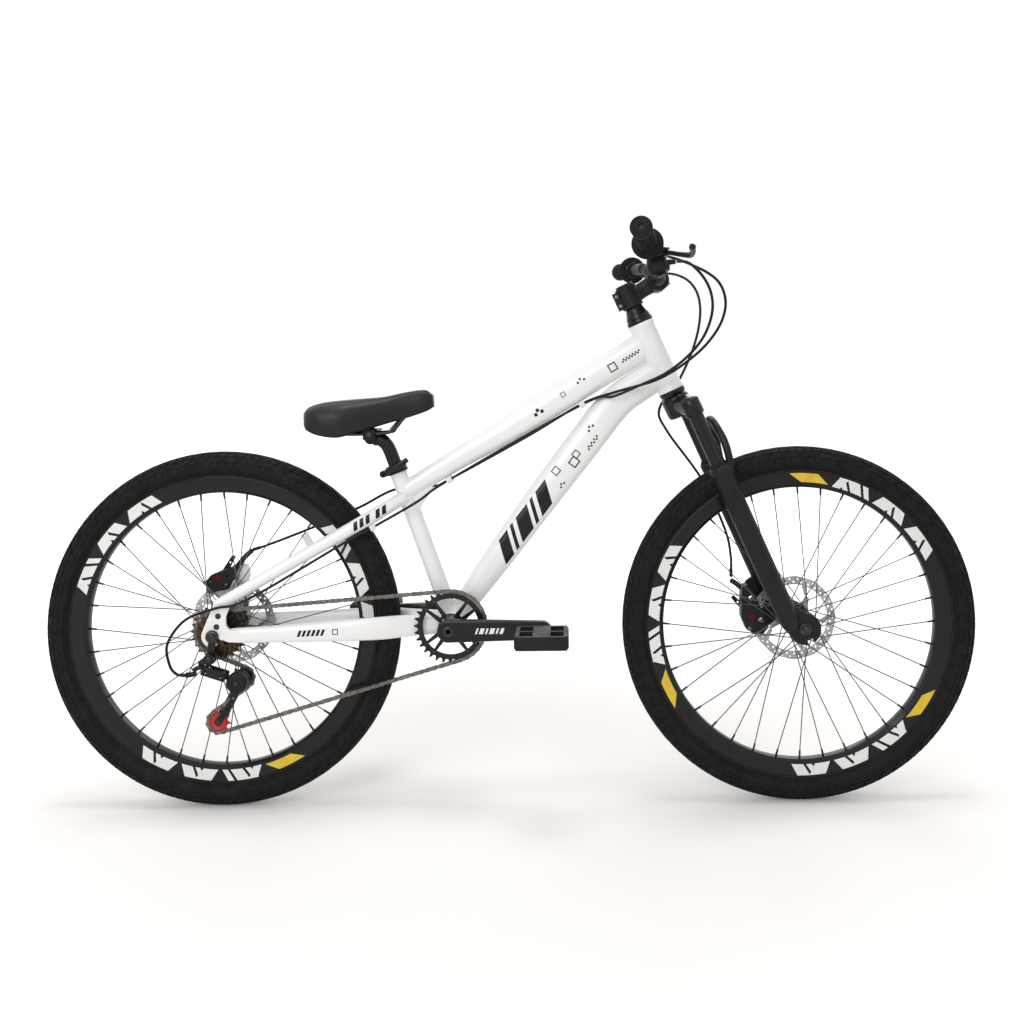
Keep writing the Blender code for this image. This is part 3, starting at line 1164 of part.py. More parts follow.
def derailleur():
    hanger()
    derailleur_bracket()
    outer = empty("derailleur_outer_link_axis", link_place(LINK_START, LINK_OUTER_Y))
    inner = empty("derailleur_inner_link_axis", link_place(LINK_START, LINK_INNER_Y))
    knuckle = empty("derailleur_knuckle_axis", link_place(LINK_END, LINK_OUTER_Y))
    cage_turn = empty("derailleur_cage_axis", Matrix.Translation(CAGE_PIVOT))
    for child, parent in ((knuckle, outer), (cage_turn, knuckle)):
        child.parent = parent
        child.matrix_parent_inverse = parent.matrix_world.inverted()
    bpy.context.view_layer.update()
    link("derailleur_outer_link", LINK_OUTER_Y, 0.0034, "gloss_black", outer)
    link("derailleur_inner_link", LINK_INNER_Y, 0.0030, "dark_steel", inner)
    cage_knuckle(knuckle)
    cage(cage_turn)
    pulley("guide_pulley", CAGE_PIVOT, "black_plastic", cage_turn)
    pulley("tension_pulley", TENSION_CENTRE, "red_plastic", cage_turn)


# Disc brake calipers


def caliper(end, carrier, place, outline, disc_y, body_low, body_high, pivot, arm_low, arm_end, stop):
    """A mechanical caliper: a slotted body over the rotor, its cable stop and its arm.

    place puts the local XY of the outline into the bicycle with its Z towards -Y.
    """
    body = prism(outline, -body_high, -body_low, place)
    barrel = prism(arc(pivot, 0.0095, 0, 320, 8), -arm_low + 0.0004, -body_high + 0.004, place)
    lug = swept([(place @ Vector((x, z, -y)), 0.0100, 0.0100) for x, z, y in stop], 6, 2.0, X_AXIS)
    body = fused(body, barrel, lug)
    slot = prism(arc((0, 0), ROTOR_RADIUS + 0.0030, 0, 345, 23), -disc_y - 0.0024, -disc_y + 0.0024, place)
    body_origin = place @ Vector((*pivot, -body_high))
    finished(f"{end}_caliper_body", cut(body, slot), "satin_black", body_origin, carrier)
    hub_disc = prism(arc(pivot, 0.0100, 0, 320, 8), -arm_low - 0.0050, -arm_low, place)
    run = Vector((arm_end[0] - pivot[0], arm_end[1] - pivot[1]))
    aside = Vector((-run.y, run.x)).normalized()
    arm = [tuple(Vector(pivot) + aside * 0.0060), tuple(Vector(pivot) - aside * 0.0060),
           tuple(Vector(arm_end) - aside * 0.0040), tuple(Vector(arm_end) + run.normalized() * 0.0040),
           tuple(Vector(arm_end) + aside * 0.0040)]
    blade = prism(arm, -arm_low - 0.0042, -arm_low - 0.0008, place)
    pivot_world = place @ Vector((*pivot, -arm_low))
    finished(f"{end}_caliper_arm", fused(hub_disc, blade), "anodised_black", pivot_world, carrier)


REAR_CALIPER = [(-0.0500, 0.0680), (-0.0470, 0.0570), (-0.0380, 0.0550), (-0.0300, 0.0600),
                (-0.0100, 0.0630), (-0.0040, 0.0760), (0.0040, 0.0920), (0.0060, 0.1030),
                (-0.0020, 0.1070), (-0.0120, 0.1020), (-0.0400, 0.0920), (-0.0500, 0.0800)]
FRONT_CALIPER = [(-0.0500, 0.0800), (-0.0560, 0.0970), (-0.0680, 0.0960), (-0.0800, 0.0720),
                 (-0.0920, 0.0450), (-0.0930, 0.0200), (-0.0820, 0.0040), (-0.0660, -0.0010),
                 (-0.0530, 0.0050), (-0.0500, 0.0300)]


def brakes(fork_slide):
    caliper("rear", None, side_plane(REAR_AXLE), REAR_CALIPER, ROTOR_PLANES["rear_hub_and_spokes"],
            0.0410, TAB_INNER - 0.0004, (-0.0280, 0.0860), TAB_OUTER + 0.0040, (-0.0080, 0.1200),
            ((0.0000, 0.0990, 0.0570), (0.0220, 0.1250, 0.0590), (0.0290, 0.1330, 0.0740)))
    turn = Matrix.Rotation(HEAD_ANGLE - pi / 2, 4, "Y")
    place = Matrix.Translation(FRONT_AXLE) @ turn @ side_plane()
    caliper("front", fork_slide, place, FRONT_CALIPER, ROTOR_PLANES["front_hub_and_spokes"],
            0.0280, 0.0561, (-0.0740, 0.0360), 0.0645, (-0.0880, 0.0760),
            ((-0.0660, 0.0880, 0.0500), (-0.0730, 0.1020, 0.0560), (-0.0780, 0.1080, 0.0660)))


# Seat


SEAT_TOP = Matrix.Translation(SEAT_TUBE_TOP) @ Matrix.Rotation(atan2(SEAT_UP.x, SEAT_UP.z), 4, "Y")
CLAMP_CENTRE = Vector((-0.2604, 0, 0.6860))
RAIL_HEIGHT = 0.6950
RAIL_ASIDE = 0.0220


def seat_clamp():
    """The collar round the top of the seat tube, with the ears that its lever draws together."""
    ring = turned([(bore(SEAT_TUBE_RADIUS, 12), -0.0130), (0.0200, -0.0130), (0.0200, 0.0025),
                   (0.0185, 0.0040), (bore(SEAT_TUBE_RADIUS, 12), 0.0040)], SEAT_TOP, 12)
    ears = moved(box((-0.0235, 0, -0.0055), (0.0120, 0.0180, 0.0130)), SEAT_TOP)
    slit = moved(box((-0.0240, 0, -0.0055), (0.0220, 0.0030, 0.0400)), SEAT_TOP)
    pin_hole = moved(rod((-0.0245, -0.02, -0.0055), (-0.0245, 0.02, -0.0055), 0.0032, 6), SEAT_TOP)
    collar = cut(fused(ring, ears), slit, pin_hole)
    finished("seat_clamp_collar", collar, "gloss_black", SEAT_TUBE_TOP)
    pivot = Vector((-0.0245, -0.0140, -0.0055))
    pin = moved(rod((-0.0245, 0.0105, -0.0055), (-0.0245, -0.0150, -0.0055), 0.0026, 6), SEAT_TOP)
    nut = moved(rod((-0.0245, 0.0095, -0.0055), (-0.0245, 0.0150, -0.0055), 0.0060, 8), SEAT_TOP)
    cam = moved(rod((-0.0245, -0.0095, -0.0055), (-0.0245, -0.0190, -0.0055), 0.0065, 8), SEAT_TOP)
    handle = swept([((-0.0245, -0.0160, -0.0055), 0.0060, 0.0090),
                    ((-0.0120, -0.0265, -0.0040), 0.0060, 0.0100),
                    ((0.0120, -0.0300, 0.0000), 0.0060, 0.0110),
                    ((0.0300, -0.0290, 0.0050), 0.0050, 0.0090)], 8, 2.6)
    lever = fused(cam, pin, nut, moved(handle, SEAT_TOP))
    finished("seat_clamp_lever", lever, "gloss_black", SEAT_TOP @ pivot)


def seatpost(parent):
    """The post: a straight tube bent back at the top to the clamp."""
    route = smooth_route([SEAT_TUBE_TOP - SEAT_UP * 0.1100, SEAT_TUBE_TOP - SEAT_UP * 0.0300,
                          SEAT_TUBE_TOP + SEAT_UP * 0.0300, (-0.2345, 0, 0.6760),
                          (-0.2440, 0, 0.6835), (-0.2560, 0, 0.6850)], 1)
    post = swept([(point, 2 * SEATPOST_RADIUS, 2 * SEATPOST_RADIUS) for point in route], 10)
    head = rod(CLAMP_CENTRE - Y_AXIS * 0.0170, CLAMP_CENTRE + Y_AXIS * 0.0170, 0.0110, 10)
    return finished("seatpost", fused(post, head), "gloss_black", SEAT_TUBE_TOP, parent)


def saddle_rails(parent):
    """The steel rails: one wire bent into two runs joined at the nose."""
    half = [(-0.3300, 0.0300, 0.7075), (-0.3150, 0.0270, 0.6990), (-0.2950, RAIL_ASIDE, RAIL_HEIGHT),
            (-0.2300, RAIL_ASIDE, RAIL_HEIGHT + 0.0020), (-0.2180, 0.0200, 0.7050), (-0.2050, 0.0140, 0.7200),
            (-0.1900, 0.0080, 0.7345), (-0.1800, 0.0000, 0.7410)]
    route = [Vector(point) for point in half]
    route += [on_side(point, -1) for point in reversed(route[:-1])]
    wire = swept([(point, 0.0070, 0.0070) for point in route], 6, 2.0, Z_AXIS + X_AXIS * 0.35)
    return finished("saddle_rails", wire, "dark_steel", CLAMP_CENTRE, parent)


def saddle_clamp(parent):
    """The two-part clamp head with its bolt, which grips both rails."""
    middle = RAIL_HEIGHT + 0.0008
    upper = box((CLAMP_CENTRE.x, 0, middle + 0.0062), (0.0300, 0.0560, 0.0040))
    grooves = []
    for side in (-1, 1):
        aside = side * RAIL_ASIDE
        grooves.append(rod((-0.2900, aside, RAIL_HEIGHT), (-0.2300, aside, RAIL_HEIGHT + 0.002), 0.0043, 8))
    bolt = rod((CLAMP_CENTRE.x, 0, middle + 0.0040), (CLAMP_CENTRE.x, 0, middle + 0.0105), 0.0055, 6)
    cheeks = [box((CLAMP_CENTRE.x, side * 0.0300, middle - 0.0020), (0.0220, 0.0060, 0.0190))
              for side in (-1, 1)]
    clamp = cut(fused(upper, bolt, *cheeks), *grooves)
    return finished("saddle_clamp", clamp, "gloss_black", CLAMP_CENTRE, parent)


SADDLE_STATIONS = [
    (-0.3790, 0.7280, 0.0800, 0.0130, 0.0130), (-0.3700, 0.7240, 0.1120, 0.0260, 0.0200),
    (-0.3450, 0.7200, 0.1360, 0.0375, 0.0255), (-0.3100, 0.7190, 0.1400, 0.0425, 0.0280),
    (-0.2750, 0.7240, 0.1180, 0.0400, 0.0220), (-0.2350, 0.7330, 0.0820, 0.0340, 0.0195),
    (-0.1950, 0.7420, 0.0560, 0.0330, 0.0175), (-0.1600, 0.7520, 0.0440, 0.0270, 0.0155),
    (-0.1450, 0.7560, 0.0280, 0.0140, 0.0110)]


def skirt(across):
    """How far the underside hangs: a little in the hollow middle, 1 at the skirt's lower edge."""
    inside = (across - 0.28) / 0.59
    outside = ((1 - across) / 0.13) ** 0.5
    return max(0.05, min(1.0, inside, outside))


def saddle(parent):
    """The padded saddle: a crowned top, drawn-in sides and skirts round a hollow underside."""
    rings = []
    for x, z, width, rise, hang in SADDLE_STATIONS:
        points = []
        for i in range(18):
            angle = 2 * pi * (i + 0.5) / 18
            c, s = cos(angle), sin(angle)
            reach = (abs(c) ** 2.6 + abs(s) ** 2.6) ** (-1 / 2.6)
            if s > 0:
                height = s * reach * rise - 0.0035 * (1 - abs(c * reach))
            else:
                height = -hang * skirt(abs(c))
            points.append(Vector((x, c * reach * width / 2, z + height)))
        rings.append(points)
    return finished("saddle", loft(rings), "seat_vinyl", CLAMP_CENTRE, parent)


def seat(parent):
    seat_clamp()
    seatpost(parent)
    saddle_clamp(parent)
    saddle_rails(parent)
    saddle(parent)


# Axles


def axle_set(name, centre, low, high, nut_low, nut_high, parent=None):
    """A solid axle with a flanged nut run up against each dropout."""
    bar = rod(centre + Y_AXIS * low, centre + Y_AXIS * high, AXLE_RADIUS, 6)
    pieces = []
    for side, inner in ((-1, nut_low), (1, nut_high)):
        place = Matrix.Translation(centre) @ Matrix.Rotation(-side * pi / 2, 4, "X")
        pieces.append(rod(centre + Y_AXIS * side * inner, centre + Y_AXIS * side * (inner + 0.0020),
                          0.0112, 8))
        pieces.append(prism(arc((0, 0), 0.0088, 0, 300, 5), inner + 0.0010, inner + 0.0090, place))
    return finished(name, fused(bar, *pieces), "dark_steel", centre, parent)


# Cables


HOUSING_RADIUS = 0.0025
CABLE_STEPS = 2


def cable(name, points, parent=None):
    """A cable housing: a round curve with closed ends along a smooth route."""
    route = smooth_route(points, CABLE_STEPS)
    curve = bpy.data.curves.new(name, "CURVE")
    curve.dimensions = "3D"
    curve.bevel_depth = HOUSING_RADIUS
    curve.bevel_resolution = 1
    curve.use_fill_caps = True
    spline = curve.splines.new("POLY")
    spline.points.add(len(route) - 1)
    for point, place in zip(spline.points, route):
        point.co = (*place, 1)
    curve.materials.append(material("cable_cover"))
    piece = bpy.data.objects.new(name, curve)
    bpy.context.scene.collection.objects.link(piece)
    if parent is not None:
        piece.parent = parent
        piece.matrix_parent_inverse = parent.matrix_world.inverted()
    return piece


REAR_BRAKE_ROUTE = [
    (0.2826, -0.1603, 1.0056), (0.2890, -0.1450, 1.0050), (0.3110, -0.1320, 1.0000),
    (0.3369, -0.1240, 0.9900), (0.3600, -0.1160, 0.9795), (0.3795, -0.1100, 0.9645),
    (0.3908, -0.1040, 0.9440), (0.3938, -0.0980, 0.9205), (0.3878, -0.0910, 0.8948),
    (0.3743, -0.0830, 0.8701), (0.3544, -0.0740, 0.8462), (0.3299, -0.0640, 0.8249),
    (0.2998, -0.0520, 0.8040), (0.2638, -0.0410, 0.7870), (0.1950, -0.0290, 0.7680),
    (0.1358, -0.0060, 0.7470), (0.0350, -0.0060, 0.6880), (-0.1131, -0.0040, 0.6080),
    (-0.1480, 0.0200, 0.5930), (-0.2230, 0.0330, 0.5860), (-0.2960, 0.0520, 0.5500),
    (-0.3960, 0.0590, 0.5080), (-0.4800, 0.0710, 0.4760), (-0.5050, 0.0745, 0.4680)]
SHIFT_ROUTE = [
    (0.2988, -0.1728, 0.9935), (0.3180, -0.1732, 0.9915), (0.3369, -0.1650, 0.9780),
    (0.3530, -0.1540, 0.9590), (0.3632, -0.1420, 0.9365), (0.3660, -0.1300, 0.9128),
    (0.3617, -0.1170, 0.8880), (0.3516, -0.1040, 0.8639), (0.3352, -0.0900, 0.8413),
    (0.3121, -0.0760, 0.8193), (0.2822, -0.0630, 0.7988), (0.2464, -0.0510, 0.7828),
    (0.1950, -0.0380, 0.7610), (0.1358, -0.0180, 0.7460),
    (-0.1131, -0.0210, 0.6080), (-0.1712, -0.0310, 0.5690), (-0.2518, -0.0470, 0.5240),
    (-0.3032, -0.0580, 0.4970), (-0.4727, -0.0760, 0.4000), (-0.5310, -0.0840, 0.3850),
    (-0.5861, -0.0830, 0.3640), (-0.6188, -0.0810, 0.3212), (-0.6160, -0.0795, 0.2830),
    (-0.6040, -0.0790, 0.2660), (-0.5892, -0.0790, 0.2632)]
FRONT_BRAKE_ROUTE = [
    (0.2826, 0.1597, 1.0056), (0.2890, 0.1460, 1.0060), (0.3100, 0.1360, 1.0060), (0.3330, 0.1270, 1.0010),
    (0.3540, 0.1140, 0.9870), (0.3681, 0.1010, 0.9626), (0.3722, 0.0890, 0.9299), (0.3674, 0.0770, 0.8938),
    (0.3569, 0.0660, 0.8582), (0.3426, 0.0550, 0.8249)]
FRONT_BRAKE_FORK_ROUTE = [
    (0.0220, 0.0420, 0.0080), (-0.0320, 0.0440, -0.0250), (-0.0360, 0.0460, -0.0700),
    (-0.0120, 0.0640, -0.1850), (-0.0110, 0.0650, -0.2900), (-0.0220, 0.0655, -0.3430),
    (-0.0370, 0.0665, -0.3780)]


def cables(steering):
    cable("rear_brake_cable", REAR_BRAKE_ROUTE)
    cable("shift_cable", SHIFT_ROUTE)
    lower = [STEERING @ Vector(point) for point in FRONT_BRAKE_FORK_ROUTE]
    cable("front_brake_cable", FRONT_BRAKE_ROUTE + lower, steering)


def build():
    clear_scene()
    steering = empty("steering_axis", STEERING)
    fork_slide = empty("fork_slide_axis", STEERING)
    fork_slide.parent = steering
    fork_slide.matrix_parent_inverse = steering.matrix_world.inverted()
    crank_axis = empty("crank_axis", Matrix.Translation(BOTTOM_BRACKET))
    freewheel_axis = empty("freewheel_axis", Matrix.Translation(REAR_AXLE))
    post_slide = empty("seatpost_slide_axis", SEAT_TOP)
    bpy.context.view_layer.update()
    main_frame()
    headset(steering)
    fork_crown(steering)
    fork_lowers(fork_slide)
    cockpit(steering)
    wheels(fork_slide)
    bottom_bracket()
    crank_set(crank_axis)
    for side in (-1, 1):
        pedal(side, crank_axis)
    freewheel(freewheel_axis)
    chain()
    derailleur()
    brakes(fork_slide)
    seat(post_slide)
    axle_set("rear_axle", REAR_AXLE, -0.0880, 0.0860, HANGER_OUTER + GAP, DROPOUT_OUTER + GAP)
    axle_set("front_axle", FRONT_AXLE, -0.0740, 0.0740, LUG_OUTER + GAP, LUG_OUTER + GAP, fork_slide)
    cables(steering)


build()
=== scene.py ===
# %% [markdown]
# # A freeride bicycle, dressed for its portrait
#
# The solids of this bicycle come from its part file and arrive with every piece in place.
# This lesson gives them their real surfaces: it remakes what the eye rests on with rounder shapes,
# lets Geometry Nodes repeat spokes, chain links, tread and pins, and mixes each finish from noise.
# All lengths are metres, +X is forward, +Y is the rider's left and +Z is up.

# %% Load the solids
import json
from math import acos, atan2, cos, exp, hypot, pi, radians, sin

import bmesh
import bpy
from mathutils import Matrix, Vector

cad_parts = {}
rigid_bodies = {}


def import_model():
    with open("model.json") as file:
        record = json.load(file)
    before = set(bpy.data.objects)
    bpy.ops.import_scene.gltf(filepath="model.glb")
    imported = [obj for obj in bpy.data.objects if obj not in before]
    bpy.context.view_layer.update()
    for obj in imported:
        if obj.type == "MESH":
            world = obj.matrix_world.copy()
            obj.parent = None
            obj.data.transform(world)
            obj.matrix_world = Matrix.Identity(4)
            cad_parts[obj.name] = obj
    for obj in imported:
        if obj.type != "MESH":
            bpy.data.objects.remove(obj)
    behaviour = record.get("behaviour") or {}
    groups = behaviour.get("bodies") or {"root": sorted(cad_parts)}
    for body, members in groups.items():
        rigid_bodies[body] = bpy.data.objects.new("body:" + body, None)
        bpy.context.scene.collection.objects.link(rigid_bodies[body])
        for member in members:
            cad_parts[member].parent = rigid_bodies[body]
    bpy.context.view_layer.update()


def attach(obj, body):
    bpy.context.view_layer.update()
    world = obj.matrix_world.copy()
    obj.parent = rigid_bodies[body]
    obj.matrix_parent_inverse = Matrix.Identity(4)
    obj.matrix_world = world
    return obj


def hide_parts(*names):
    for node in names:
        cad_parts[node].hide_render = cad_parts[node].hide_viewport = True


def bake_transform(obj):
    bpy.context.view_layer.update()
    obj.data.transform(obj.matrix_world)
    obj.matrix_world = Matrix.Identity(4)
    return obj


for item in list(bpy.data.objects):
    bpy.data.objects.remove(item, do_unlink=True)
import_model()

# %% [markdown]
# ## Helpers for objects and nodes
#
# Everything that is drawn here is an object with data, and every finish is a tree of nodes. Four
# short functions say the steps that come back each time: put new data into the scene, set a node's
# values by name, add a node, and join nodes. So the cells below name only what is special.

# %% Helpers
def linked(name, data):
    """A new object for some data, put into the scene."""
    item = bpy.data.objects.new(name, data)
    bpy.context.scene.collection.objects.link(item)
    return item


def set_values(node, **values):
    """Set a node's inputs by name, or its settings where it has no such input."""
    for key, value in values.items():
        label = key.replace("_", " ").title().replace("Ior", "IOR")
        if label in node.inputs:
            node.inputs[label].default_value = value
        else:
            setattr(node, key, value)
    return node


def placed(tree, kind, **values):
    """Add a node of a kind to a tree and set its values."""
    return set_values(tree.nodes.new(kind), **values)


def wire(tree, *links):
    """Join nodes: each link is (node, output, node, input)."""
    for source, output, target, entry in links:
        tree.links.new(source.outputs[output], target.inputs[entry])


print("helpers:", [helper.__name__ for helper in (linked, set_values, placed, wire)])

# %% [markdown]
# ## Camera
#
# The picture was taken level with the stem, about two metres from the chain side, and cropped low.
# A shifted lens keeps the uprights upright, as such a crop does, so the camera isn't tipped.

# %% Camera
LENS = 37.3
LENS_SHIFT = (-0.053, -0.121)
CAMERA_PLACE = (0.107, -2.0, 0.777)
CAMERA_ROLL = 0.55
camera_data = bpy.data.cameras.new("camera")
camera_data.lens = LENS
camera_data.shift_x, camera_data.shift_y = LENS_SHIFT
camera = linked("camera", camera_data)
camera.location = CAMERA_PLACE
camera.rotation_euler = (radians(90), radians(CAMERA_ROLL), 0)
bpy.context.scene.camera = camera
print("camera height", round(camera.location.z, 3), "m")

# %% [markdown]
# ## Studio
#
# A product picture like this is taken on a white sweep under large soft lamps.
# The world is white to the camera and to reflections, and dimmer to everything else, so that
# paint shows at its own colour. The floor adds light of its own for the camera alone, little near
# the bicycle and more far away, so the sweep fades to white and the shadows stay under the tyres.

# %% World and lamps
AMBIENT = 0.57
WHITE = (1.0, 1.0, 1.0, 1.0)
bpy.context.scene.view_settings.view_transform = "Standard"
world = bpy.data.worlds.new("studio")
world.use_nodes = True
bpy.context.scene.world = world
sky = world.node_tree
path = placed(sky, "ShaderNodeLightPath")
seen = placed(sky, "ShaderNodeMath", operation="ADD", use_clamp=True)
clear = placed(sky, "ShaderNodeMath", operation="ADD", use_clamp=True)
strength = placed(sky, "ShaderNodeMapRange", to_min=AMBIENT, to_max=1.0)
background = set_values(sky.nodes["Background"], color=WHITE)
wire(sky, (path, "Is Camera Ray", seen, 0), (path, "Is Glossy Ray", seen, 1), (seen, 0, clear, 0),
     (path, "Is Transmission Ray", clear, 1), (clear, 0, strength, "Value"),
     (strength, "Result", background, "Strength"))


LAMP_SIZE = 2.0
LAMPS = (("top_lamp", (0.0, -0.15, 6.2), (0.0, -0.05, 0.4), 96),
         ("side_lamp", (-1.2, -3.0, 2.0), (0.0, 0.0, 0.5), 40),
         ("back_lamp", (1.0, 2.8, 2.2), (0.0, 0.0, 0.6), 16))


def soft_lamp(name, place, aim, power):
    """A square lamp at a place, turned to face a point."""
    data = bpy.data.lights.new(name, "AREA")
    data.size = LAMP_SIZE
    data.energy = power
    lamp = linked(name, data)
    lamp.location = place
    lamp.rotation_euler = (Vector(aim) - Vector(place)).to_track_quat("-Z", "Y").to_euler()


for lamp in LAMPS:
    soft_lamp(*lamp)
print("ambient light", AMBIENT, "and soft lamps:", len(LAMPS))

# %% Floor
FLOOR_HALF = 30
GLOW_NEAR, GLOW_FAR = 0.6, 3.2
GLOW_LEAST, GLOW_MOST = 0.10, 0.75
corners = [(x * FLOOR_HALF, y * FLOOR_HALF, 0) for x, y in ((-1, -1), (1, -1), (1, 1), (-1, 1))]
floor_mesh = bpy.data.meshes.new("studio_floor")
floor_mesh.from_pydata(corners, [], [(0, 1, 2, 3)])
floor = linked("studio_floor", floor_mesh)
floor.location.z = -0.0004
paper = bpy.data.materials.new("white_paper")
paper.use_nodes = True
tree = paper.node_tree
shader = set_values(tree.nodes["Principled BSDF"], base_color=(0.95, 0.92, 0.895, 1.0), roughness=0.9,
                    specular_ior_level=0.0, emission_color=WHITE)
path = placed(tree, "ShaderNodeLightPath")
where = placed(tree, "ShaderNodeTexCoord")
distance = placed(tree, "ShaderNodeVectorMath", operation="LENGTH")
reach = placed(tree, "ShaderNodeMapRange", from_min=GLOW_NEAR, from_max=GLOW_FAR, to_min=GLOW_LEAST,
               to_max=GLOW_MOST)
glow = placed(tree, "ShaderNodeMath", operation="MULTIPLY")
wire(tree, (where, "Object", distance, 0), (distance, "Value", reach, "Value"),
     (path, "Is Camera Ray", glow, 0), (reach, "Result", glow, 1), (glow, 0, shader, "Emission Strength"))
floor_mesh.materials.append(paper)
print("floor glow", GLOW_LEAST, "near the bicycle and", GLOW_MOST, "far away")

# %% [markdown]
# ## Shader groups
#
# Every finish on the bicycle is a plain colour disturbed by the same few effects: a soft mottle in
# the colour, a fine grain in the surface, streaks where metal was ground or drawn, and the creases
# of embossed vinyl. Each effect is built once as a group, and each material sets its own values.

# %% Shader groups
def socket_list(group, side, rows):
    """Give a node group its sockets: rows of (name, kind, starting value)."""
    for name, kind, value in rows:
        socket = group.interface.new_socket(name, in_out=side, socket_type=f"NodeSocket{kind}")
        if value is not None:
            socket.default_value = value


def shader_group(name, inputs, outputs):
    """A new group with its sockets, its input node and its output node."""
    group = bpy.data.node_groups.new(name, "ShaderNodeTree")
    socket_list(group, "INPUT", inputs)
    socket_list(group, "OUTPUT", outputs)
    return group, placed(group, "NodeGroupInput"), placed(group, "NodeGroupOutput")


mottle_group, start, end = shader_group("mottle",
                                        [("Light", "Color", (1, 1, 1, 1)),
                                         ("Dark", "Color", (0, 0, 0, 1)), ("Scale", "Float", 20.0)],
                                        [("Color", "Color", None), ("Mask", "Float", None)])
where = placed(mottle_group, "ShaderNodeTexCoord")
cloud = placed(mottle_group, "ShaderNodeTexNoise", detail=5.0, roughness=0.6)
limits = placed(mottle_group, "ShaderNodeMapRange", from_min=0.35, from_max=0.68)
blend = placed(mottle_group, "ShaderNodeMix", data_type="RGBA")
wire(mottle_group, (where, "Object", cloud, "Vector"), (start, "Scale", cloud, "Scale"),
     (cloud, "Fac", limits, "Value"), (limits, "Result", blend, "Factor"), (start, "Light", blend, 6),
     (start, "Dark", blend, 7), (blend, 2, end, "Color"), (limits, "Result", end, "Mask"))

grain_group, start, end = shader_group(
    "grain", [("Scale", "Float", 900.0), ("Depth", "Float", 0.0001)], [("Normal", "Vector", None)])
where = placed(grain_group, "ShaderNodeTexCoord")
specks = placed(grain_group, "ShaderNodeTexNoise", detail=3.0, roughness=0.55)
relief = placed(grain_group, "ShaderNodeBump", strength=1.0)
wire(grain_group, (where, "Object", specks, "Vector"), (start, "Scale", specks, "Scale"),
     (start, "Depth", relief, "Distance"), (specks, "Fac", relief, "Height"),
     (relief, "Normal", end, "Normal"))

streak_group, start, end = shader_group(
    "streaks", [("Stretch", "Vector", (1.0, 1.0, 1.0)), ("Depth", "Float", 0.00005)],
    [("Normal", "Vector", None), ("Mask", "Float", None)])
where = placed(streak_group, "ShaderNodeTexCoord")
pull = placed(streak_group, "ShaderNodeVectorMath", operation="MULTIPLY")
lines = placed(streak_group, "ShaderNodeTexNoise", scale=1.0, detail=2.0)
relief = placed(streak_group, "ShaderNodeBump", strength=1.0)
wire(streak_group, (where, "Object", pull, 0), (start, "Stretch", pull, 1),
     (pull, "Vector", lines, "Vector"), (start, "Depth", relief, "Distance"),
     (lines, "Fac", relief, "Height"), (relief, "Normal", end, "Normal"), (lines, "Fac", end, "Mask"))

crease_group, start, end = shader_group(
    "creases", [("Scale", "Float", 700.0), ("Depth", "Float", 0.0003)],
    [("Normal", "Vector", None), ("Mask", "Float", None)])
where = placed(crease_group, "ShaderNodeTexCoord")
bend = placed(crease_group, "ShaderNodeTexNoise", scale=300.0, detail=2.0)
shift = placed(crease_group, "ShaderNodeVectorMath", operation="MULTIPLY_ADD")
shift.inputs[1].default_value = (0.004, 0.004, 0.004)
cells = placed(crease_group, "ShaderNodeTexVoronoi", feature="DISTANCE_TO_EDGE")
limits = placed(crease_group, "ShaderNodeMapRange", from_min=0.0, from_max=0.22)
relief = placed(crease_group, "ShaderNodeBump", strength=1.0)
wire(crease_group, (where, "Object", bend, "Vector"), (bend, "Color", shift, 0),
     (where, "Object", shift, 2), (shift, "Vector", cells, "Vector"), (start, "Scale", cells, "Scale"),
     (cells, "Distance", limits, "Value"), (start, "Depth", relief, "Distance"),
     (limits, "Result", relief, "Height"), (relief, "Normal", end, "Normal"),
     (limits, "Result", end, "Mask"))
print("shader groups:", [group.name for group in bpy.data.node_groups if group.type == "SHADER"])

# %% [markdown]
# ## Finishes
#
# One function mixes them all. The colour drifts between a lighter and a darker tone, the roughness
# drifts with it, and the surface takes its relief from one of the three relief groups. Gloss enamel
# has a clear coat over it. The numbers were set against the picture: the frame is a bright, barely
# warm white, and the rest of the bicycle wears several different blacks.

# %% Finishes
def finish(name, light, dark, rough, metal=0.0, scale=25.0, relief=("grain", 900.0, 0.00003), coat=0.0,
           sheen=0.0, specular=0.5):
    """A material whose colour, roughness and relief all vary; rough is (lowest, highest)."""
    made = bpy.data.materials.new(name)
    made.use_nodes = True
    tree = made.node_tree
    shader = set_values(tree.nodes["Principled BSDF"], metallic=metal, coat_weight=coat,
                        coat_roughness=0.05, sheen_weight=sheen, specular_ior_level=specular)
    mottle = placed(tree, "ShaderNodeGroup", node_tree=mottle_group, light=(*light, 1.0),
                    dark=(*dark, 1.0), scale=scale)
    kind, size, depth = relief
    surface = placed(tree, "ShaderNodeGroup", node_tree=bpy.data.node_groups[kind], depth=depth)
    surface.inputs["Stretch" if kind == "streaks" else "Scale"].default_value = size
    spread = placed(tree, "ShaderNodeMapRange", to_min=rough[0], to_max=rough[1])
    masked = surface if "Mask" in surface.outputs else mottle
    wire(tree, (mottle, "Color", shader, "Base Color"), (surface, "Normal", shader, "Normal"),
         (masked, "Mask", spread, "Value"), (spread, "Result", shader, "Roughness"))
    return made


